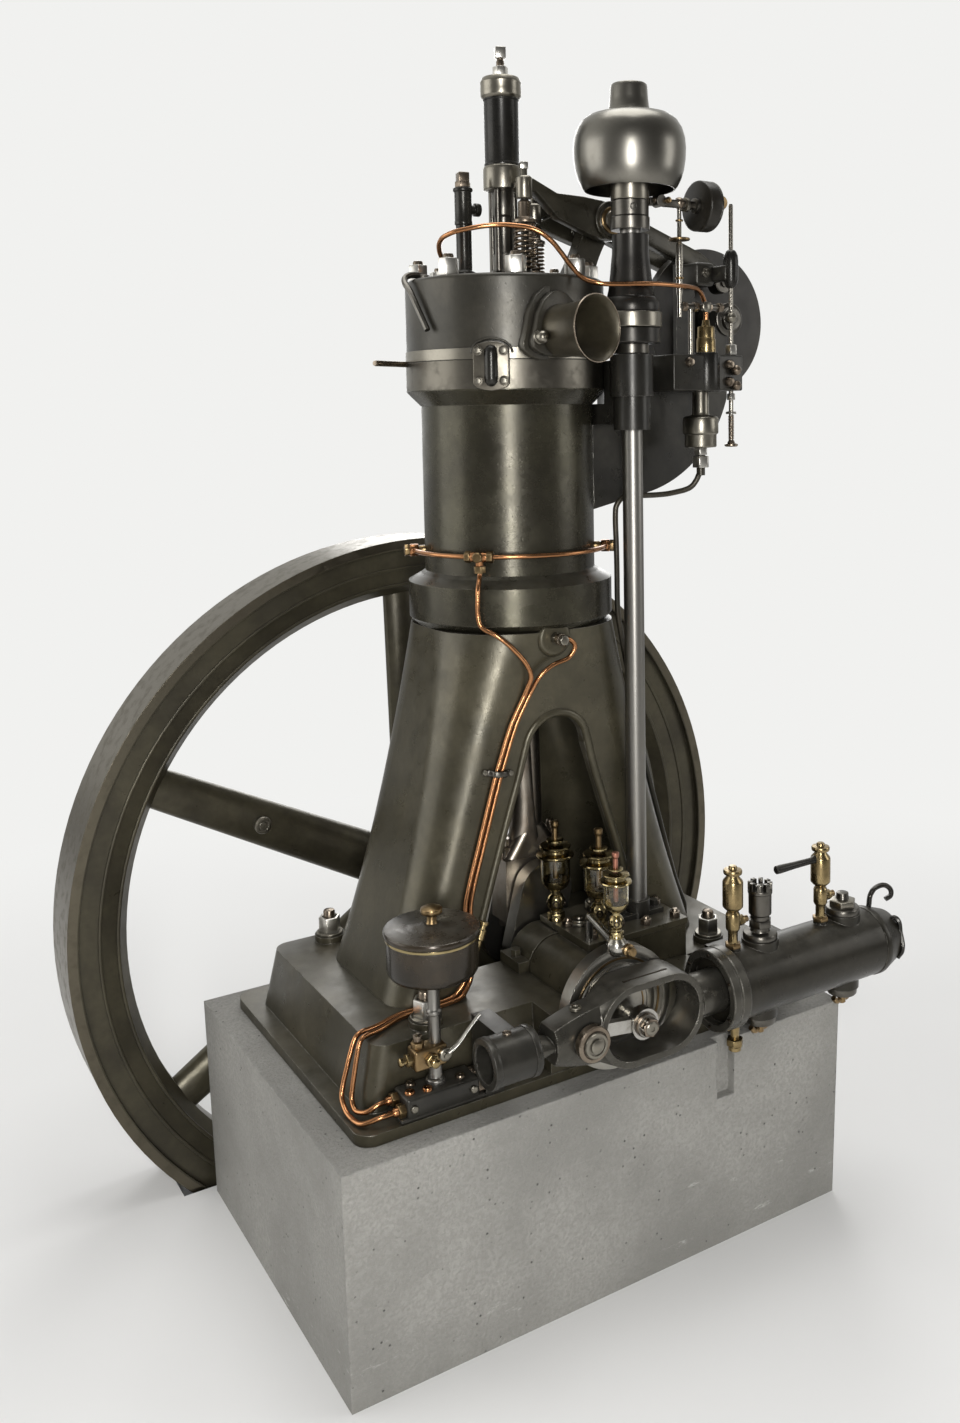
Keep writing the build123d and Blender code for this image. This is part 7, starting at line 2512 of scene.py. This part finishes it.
@dataclass
class WheelDress:
    """The flywheel's turned details: hub faces, spoke plug and rim lines.

    Attributes:
        shop: The workshop.
        z: The height of its line.
        front: The Y of its front face.
    """

    shop: Shop
    z: float = 0.803
    front: float = 0.385

    def build(self) -> None:
        """Build the wheel's details, all riding on the crank."""
        shop = self.shop
        turn = math.radians(152.5)
        x, z = 0.430 * math.cos(turn), self.z + 0.430 * math.sin(turn)
        shop.fit(shop.lathe([
            (0.0185, 0.0), (0.0185, 0.0035), (0.017, 0.0052), (0.0125, 0.0056), (0.0118, 0.0042),
            (0.0085, 0.0042), (0.0078, 0.0062), (0.001, 0.0064)]), Facing.FRONT, (x, 0.4168, z),
            "spoke_plug", "rim_steel", body=Body.CRANK)
        for name, y, facing in (("front", self.front - 0.014, Facing.FRONT), ("back", 0.538, Facing.BACK)):
            shop.fit(shop.lathe([
                (0.060, -0.001), (0.060, 0.0015), (0.094, 0.0022), (0.1075, 0.0), (0.1088, -0.004),
                (0.0615, -0.0045), (0.060, -0.001)], sides=80, closed=False), facing, (0.0, y, self.z),
                f"hub_face_{name}", "aged_steel", body=Body.CRANK)
        for index, (radius, depth) in enumerate(((0.7275, 0.397), (0.6905, 0.4025)), start=1):
            shop.fit(shop.lathe([
                (radius - 0.0035, 0.0), (radius - 0.003, 0.0022), (radius, 0.0032),
                (radius + 0.003, 0.0022), (radius + 0.0035, 0.0), (radius, -0.002), (radius - 0.0035, 0.0)],
                sides=128, closed=False), Facing.FRONT, (0.0, depth, self.z), f"rim_bead_{index}",
                "wheel_iron", body=Body.CRANK)


ASSEMBLIES: tuple[type, ...] = (
    CylinderHead, ValveGear, Governor, Regulation, FrameDress, BedDress, Oilers, RunningGear, Compressor,
    OilSupply, Pipework, WheelDress)


WHEEL_CENTRE: Point = (0.0, 0.0, 0.803)
SHAFT_FOOT: Point = (0.164, -0.189, 0.0)
CYLINDER_FOOT: Point = (0.0, 0.0, 0.0)
COMPRESSOR_END: Point = (0.0, -0.405, 0.803)
ALONG_X: Point = (1.0, 0.0, 0.0)
ALONG_Y: Point = (0.0, 1.0, 0.0)
ALONG_Z: Point = (0.0, 0.0, 1.0)

BRASS = {
    "metal": (0.33, 0.25, 0.125), "tarnish": (0.11, 0.078, 0.038), "gloss": (0.22, 0.42), "stained": 0.55}
COPPER = {
    "metal": (0.40, 0.19, 0.085), "tarnish": (0.14, 0.062, 0.03), "gloss": (0.24, 0.42), "stained": 0.2}

FINISHES: tuple[object, ...] = (
    Concrete(), ClearGlass(), StagePaint(),
    Casting(
        "bed_iron", skin=(0.045, 0.040, 0.025), patch=(0.075, 0.065, 0.041), gloss=(0.24, 0.4), metal=0.45,
        dust=0.2),
    Casting(
        "frame_iron", skin=(0.052, 0.046, 0.029), patch=(0.083, 0.073, 0.046), gloss=(0.24, 0.4),
        metal=0.45),
    Casting(
        "jacket_iron", skin=(0.039, 0.035, 0.024), patch=(0.060, 0.055, 0.036), gloss=(0.2, 0.34),
        metal=0.65, bare=(0.135, 0.124, 0.102), bands=(Band(2, 1.910, 1.9625),)),
    Casting(
        "head_iron", skin=(0.039, 0.036, 0.028), patch=(0.060, 0.054, 0.041), gloss=(0.28, 0.4), metal=0.5,
        bare=(0.135, 0.124, 0.102)),
    Casting(
        "wheel_iron", skin=(0.046, 0.040, 0.026), patch=(0.074, 0.065, 0.041), bare=(0.13, 0.115, 0.085),
        gloss=(0.26, 0.42), line=(WHEEL_CENTRE, ALONG_Y), bands=(Band(3, 0.772, 0.8),)),
    Casting(
        "small_iron", skin=(0.022, 0.0205, 0.017), patch=(0.040, 0.037, 0.030), gloss=(0.24, 0.38),
        metal=0.5, grain=160.0, depth=0.0002, rounding=0.0014),
    Casting(
        "compressor_iron", skin=(0.019, 0.017, 0.012), patch=(0.034, 0.030, 0.022), grain=130.0,
        gloss=(0.24, 0.38), metal=0.5),
    Casting(
        "yoke_iron", skin=(0.058, 0.054, 0.044), patch=(0.088, 0.082, 0.068), metal=0.7, gloss=(0.22, 0.36),
        wear=0.9, grain=170.0, depth=0.00015),
    Casting(
        "rocker_iron", skin=(0.026, 0.023, 0.016), patch=(0.043, 0.038, 0.026), gloss=(0.22, 0.36),
        metal=0.5, grain=150.0, wear=0.7),
    Casting(
        "tank_iron", skin=(0.017, 0.014, 0.010), patch=(0.040, 0.030, 0.019), grain=200.0, depth=0.00012,
        metal=0.4, gloss=(0.16, 0.3)),
    Casting(
        "cam_iron", skin=(0.014, 0.012, 0.009), patch=(0.024, 0.021, 0.016), gloss=(0.26, 0.4), metal=0.4),
    Casting(
        "black_pipe", skin=(0.030, 0.028, 0.021), patch=(0.054, 0.046, 0.032), grain=200.0, depth=0.0001),
    Bright("steel"),
    Bright(
        "crank_steel", metal=(0.33, 0.315, 0.28), line=ALONG_Y, centre=(0.0, 0.0, 0.803), stained=0.2,
        gloss=(0.28, 0.42)),
    Bright("shaft_steel", metal=(0.24, 0.23, 0.21), centre=SHAFT_FOOT, stained=0.12, gloss=(0.36, 0.48)),
    Bright(
        "bell_steel", metal=(0.20, 0.19, 0.165), tarnish=(0.12, 0.11, 0.09), centre=SHAFT_FOOT,
        stained=0.25, gloss=(0.3, 0.44)),
    Bright("rod_steel", line=ALONG_X, centre=COMPRESSOR_END, stained=0.4),
    Bright("nut_steel", metal=(0.60, 0.58, 0.53), stained=0.2, gloss=(0.28, 0.4)),
    Bright(
        "dark_steel", metal=(0.125, 0.117, 0.102), tarnish=(0.05, 0.045, 0.036), gloss=(0.3, 0.46),
        stained=0.3),
    Bright(
        "rod_end_steel", metal=(0.27, 0.24, 0.20), tarnish=(0.12, 0.075, 0.05), gloss=(0.34, 0.46),
        stained=0.4),
    Bright(
        "pale_brass", metal=(0.36, 0.29, 0.15), tarnish=(0.14, 0.11, 0.055), gloss=(0.16, 0.34),
        stained=0.45),
    Bright("red_spindle", metal=(0.42, 0.19, 0.13), tarnish=(0.2, 0.08, 0.06), gloss=(0.3, 0.5)),
    # near black: painted shade in the oilers' cage windows and along the yoke's oil groove, and the ring
    # screws' own dark finish
    Bright("shade_and_screw_black", metal=(0.05, 0.04, 0.03), tarnish=(0.02, 0.016, 0.012), gloss=(0.3, 0.5)),
    Bright(
        "rim_steel", metal=(0.235, 0.218, 0.18), tarnish=(0.13, 0.115, 0.088), gloss=(0.3, 0.44),
        stained=0.2),
    Bright(
        "thin_rod_steel", metal=(0.30, 0.28, 0.24), tarnish=(0.15, 0.13, 0.10), gloss=(0.26, 0.4),
        stained=0.12),
    Bright(
        "aged_steel", metal=(0.24, 0.2, 0.155), tarnish=(0.1, 0.07, 0.048), gloss=(0.26, 0.45),
        stained=0.5),
    Bright("spring_steel", metal=(0.34, 0.27, 0.2), tarnish=(0.14, 0.09, 0.055), gloss=(0.2, 0.36)),
    Bright("aged_brass", metal=(0.26, 0.18, 0.09), tarnish=(0.09, 0.06, 0.032), gloss=(0.28, 0.45)),
    Casting(
        "cover_iron", skin=(0.11, 0.1, 0.08), patch=(0.2, 0.18, 0.145), metal=0.85, gloss=(0.22, 0.4),
        wear=1.0, rounding=0.0016, grain=200.0, depth=0.0001),
    Casting(
        "horn_iron", skin=(0.049, 0.042, 0.029), patch=(0.073, 0.062, 0.039), gloss=(0.26, 0.42), metal=0.6,
        bare=(0.2, 0.13, 0.08), wear=0.8, rounding=0.0015, grain=120.0, depth=0.0002),
    Casting(
        "tube_iron", skin=(0.017, 0.016, 0.014), patch=(0.032, 0.030, 0.025), gloss=(0.2, 0.34), metal=0.6,
        wear=0.9, rounding=0.0009, grain=220.0, depth=0.00008),
    Casting(
        "skirt_iron", skin=(0.026, 0.024, 0.021), patch=(0.045, 0.041, 0.034), gloss=(0.24, 0.36),
        metal=0.7, wear=0.8, rounding=0.001, grain=220.0, depth=0.00008), Bright("brass", **BRASS),
    Bright("copper", **COPPER))

NODE_FINISHES: dict[str, str] = {
    "foundation_block": "concrete", "bed_plate": "bed_iron", "a_frame": "frame_iron",
    "cylinder_jacket": "jacket_iron", "cylinder_head": "head_iron", "intake_horn": "small_iron",
    "flywheel": "wheel_iron", "gear_case": "bed_iron", "main_bearing_caps": "bed_iron",
    "foot_bearing": "small_iron", "governor_bracket": "small_iron", "gear_drum": "dark_steel",
    "rocker_bracket": "rocker_iron", "water_cover": "small_iron", "filler_cap": "small_iron",
    "yoke_guide": "small_iron", "compressor_cylinder": "compressor_iron", "compressor_yoke": "yoke_iron",
    "oil_pump": "small_iron", "oil_tank": "tank_iron", "tank_lid": "tank_iron",
    "regulating_gear": "small_iron", "starting_valve": "small_iron", "camshaft": "cam_iron",
    "fuel_pump": "small_iron", "head_nuts": "nut_steel", "crankshaft": "crank_steel",
    "crank_disc": "crank_steel", "connecting_rod": "rod_end_steel", "vertical_shaft": "shaft_steel",
    "governor_bell": "bell_steel", "governor_sleeve": "shaft_steel", "fuel_valve": "dark_steel",
    "sprung_valves": "steel", "rocker_arms": "rocker_iron", "hand_rod": "thin_rod_steel",
    "compressor_rod": "rod_steel", "compressor_valves": "dark_steel", "foundation_bolts": "steel",
    "oiler_arm": "steel", "tank_stand": "steel", "pump_cap": "brass", "compressor_lubricators": "brass",
    "bearing_oilers": "brass", "disc_oiler": "brass", "jacket_ring_pipe": "copper",
    "jacket_feed_pipe": "copper", "frame_feed_pipe": "copper", "head_pipe": "copper",
    "fuel_pipe": "black_pipe"}


@dataclass
class DrawnPieces:
    """The solids that keep their drawn shape and only take a finish."""

    shop: Shop

    def dress(self) -> None:
        """Give every solid of the drawing its finish."""
        for name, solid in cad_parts.items():
            solid.data.materials.clear()
            solid.data.materials.append(self.shop.finishes[NODE_FINISHES[name]])
        LOG.info("dressed %d drawn solids", len(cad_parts))


@dataclass
class Stage:
    """The floor with the slot that the wheel dips into, the lamps and the pale room.

    Attributes:
        shop: The workshop.
        level: The floor's height, where the real floor meets the foundation.
        reach: How far the floor goes each way.
        slot: The slot's left, right, front and back edges.
    """

    shop: Shop
    level: float = 0.26
    reach: float = 24.0
    slot: tuple[float, float, float, float] = (-0.592, 0.592, 0.378, 0.531)

    def build_floor(self) -> None:
        """Cut the slot out of a plane and let its sides down."""
        self.shop.clear()
        bpy.ops.mesh.primitive_plane_add(size=2 * self.reach, location=(0.0, 0.0, self.level))
        floor = bpy.context.object
        left, right, front, back = self.slot
        bpy.ops.object.mode_set(mode="EDIT")
        for place, normal in (((left, 0, 0), (1, 0, 0)), ((right, 0, 0), (1, 0, 0)),
                              ((0, front, 0), (0, 1, 0)), ((0, back, 0), (0, 1, 0))):
            bpy.ops.mesh.select_all(action="SELECT")
            bpy.ops.mesh.bisect(plane_co=(place[0], place[1], self.level), plane_no=normal)
        bpy.ops.mesh.select_mode(type="FACE")
        bpy.ops.mesh.select_all(action="DESELECT")
        bpy.ops.object.mode_set(mode="OBJECT")
        for face in floor.data.polygons:
            x, y, _ = floor.matrix_world @ face.center
            face.select = left < x < right and front < y < back
        bpy.ops.object.mode_set(mode="EDIT")
        bpy.ops.mesh.extrude_region_move(TRANSFORM_OT_translate={"value": (0.0, 0.0, -0.3)})
        bpy.ops.object.mode_set(mode="OBJECT")
        bpy.ops.object.transform_apply(location=True, rotation=True, scale=True)
        self.shop.clear()
        floor.name = "stage_floor"
        floor.data.materials.append(self.shop.finishes["stage_floor"])

    @staticmethod
    def build_lamp(name: str, at: Point, toward: Point, size: tuple[float, float], watts: float) -> None:
        """Hang one soft lamp.

        Args:
            name: The lamp's name.
            at: Where it hangs.
            toward: The point that it faces.
            size: Its width and height.
            watts: Its power.
        """
        lamp = bpy.data.lights.new(name, "AREA")
        lamp.shape = "RECTANGLE"
        lamp.size, lamp.size_y = size
        lamp.energy = watts
        holder = bpy.data.objects.new(name, lamp)
        bpy.context.collection.objects.link(holder)
        holder.location = at
        holder.rotation_euler = (Vector(toward) - Vector(at)).to_track_quat("-Z", "Y").to_euler()

    def build_room(self) -> None:
        """Paint the room: pale to the eye and in metal, gentler as light on the pieces."""
        world = bpy.data.worlds.new("pale_room")
        world.use_nodes = True
        world.node_tree.nodes.clear()
        bpy.context.scene.world = world
        wiring = Wiring(world.node_tree)
        path = wiring.node("ShaderNodeLightPath")
        seen = wiring.calc("MAXIMUM", path.outputs["Is Camera Ray"], path.outputs["Is Transmission Ray"])
        split = wiring.node("ShaderNodeSeparateXYZ")
        wiring.feed(split.inputs[0], wiring.node("ShaderNodeTexCoord").outputs["Generated"])
        wall = wiring.spread(split.outputs["Y"], -0.75, 0.65)
        mirrored = wiring.blend(wall, (0.10, 0.098, 0.095), (0.80, 0.80, 0.78))
        lit = wiring.blend(path.outputs["Is Glossy Ray"], (0.27, 0.27, 0.27), mirrored)
        colour = wiring.blend(seen, lit, (0.88, 0.88, 0.865))
        light = wiring.node("ShaderNodeBackground")
        wiring.feed(light.inputs["Color"], colour)
        output = wiring.node("ShaderNodeOutputWorld")
        wiring.feed(output.inputs["Surface"], light.outputs["Background"])

    def build(self) -> None:
        """Set up the floor, the lamps and the room."""
        self.build_floor()
        self.build_lamp("key_lamp", (-1.56, -3.04, 1.9), (0.0, 0.0, 1.4), (0.36, 1.9), 92.0)
        self.build_lamp("side_lamp", (-4.0, 1.5, 2.2), (0.0, 0.0, 1.1), (3.2, 3.0), 60.0)
        self.build_lamp("fill_lamp", (3.6, -2.8, 2.4), (0.0, 0.0, 1.2), (1.6, 2.4), 30.0)
        self.build_lamp("top_lamp", (0.4, 0.2, 5.2), (0.0, 0.0, 1.0), (2.6, 2.6), 80.0)
        self.build_lamp("back_lamp", (2.2, 3.8, 2.9), (0.0, 0.0, 1.0), (2.6, 2.6), 80.0)
        self.build_room()


@dataclass
class Portrait:
    """The camera, at the photograph's viewing angle.

    Attributes:
        at: Where it stands.
        yaw: Its turn from +Y towards +X, in degrees.
        pitch: How far it looks down, in degrees.
        roll: Its roll, in degrees.
        lens: The focal length in millimetres.
        shift: The lens shift across and up.
    """

    at: Point = (-1.2268, -2.1562, 1.8587)
    yaw: float = 32.8247
    pitch: float = 5.8238
    roll: float = -0.83625
    lens: float = 31.99
    shift: tuple[float, float] = (-0.0702, -0.1171)

    def build(self) -> None:
        """Stand the camera and make it the scene's own."""
        data = bpy.data.cameras.new("portrait_camera")
        camera = bpy.data.objects.new("portrait_camera", data)
        bpy.context.collection.objects.link(camera)
        yaw, pitch, roll = (math.radians(angle) for angle in (self.yaw, self.pitch, self.roll))
        ahead = Vector((math.cos(pitch) * math.sin(yaw), math.cos(pitch) * math.cos(yaw), -math.sin(pitch)))
        side = Vector((math.cos(yaw), -math.sin(yaw), 0.0))
        over = side.cross(ahead)
        right = side * math.cos(roll) + over * math.sin(roll)
        up = over * math.cos(roll) - side * math.sin(roll)
        turned = Matrix((right, up, -ahead)).transposed().to_4x4()
        camera.matrix_world = Matrix.Translation(self.at) @ turned
        data.sensor_fit = "AUTO"
        data.sensor_width = 36.0
        data.lens = self.lens
        data.shift_x, data.shift_y = self.shift
        data.clip_start, data.clip_end = 0.05, 60.0
        bpy.context.scene.camera = camera


def main() -> None:
    """Build and dress the engine, then set up its portrait."""
    logging.basicConfig(level=logging.INFO, format="%(message)s")
    effects = Effects()
    shop = Shop({finish.name: finish.build(effects) for finish in FINISHES})
    DrawnPieces(shop).dress()
    for assembly in ASSEMBLIES:
        before = len(shop.made)
        assembly(shop).build()
        LOG.info("%s: %d pieces", assembly.__name__, len(shop.made) - before)
    Stage(shop).build()
    Portrait().build()
    bpy.context.scene.view_settings.view_transform = "Standard"


if __name__ == "__main__":
    main()
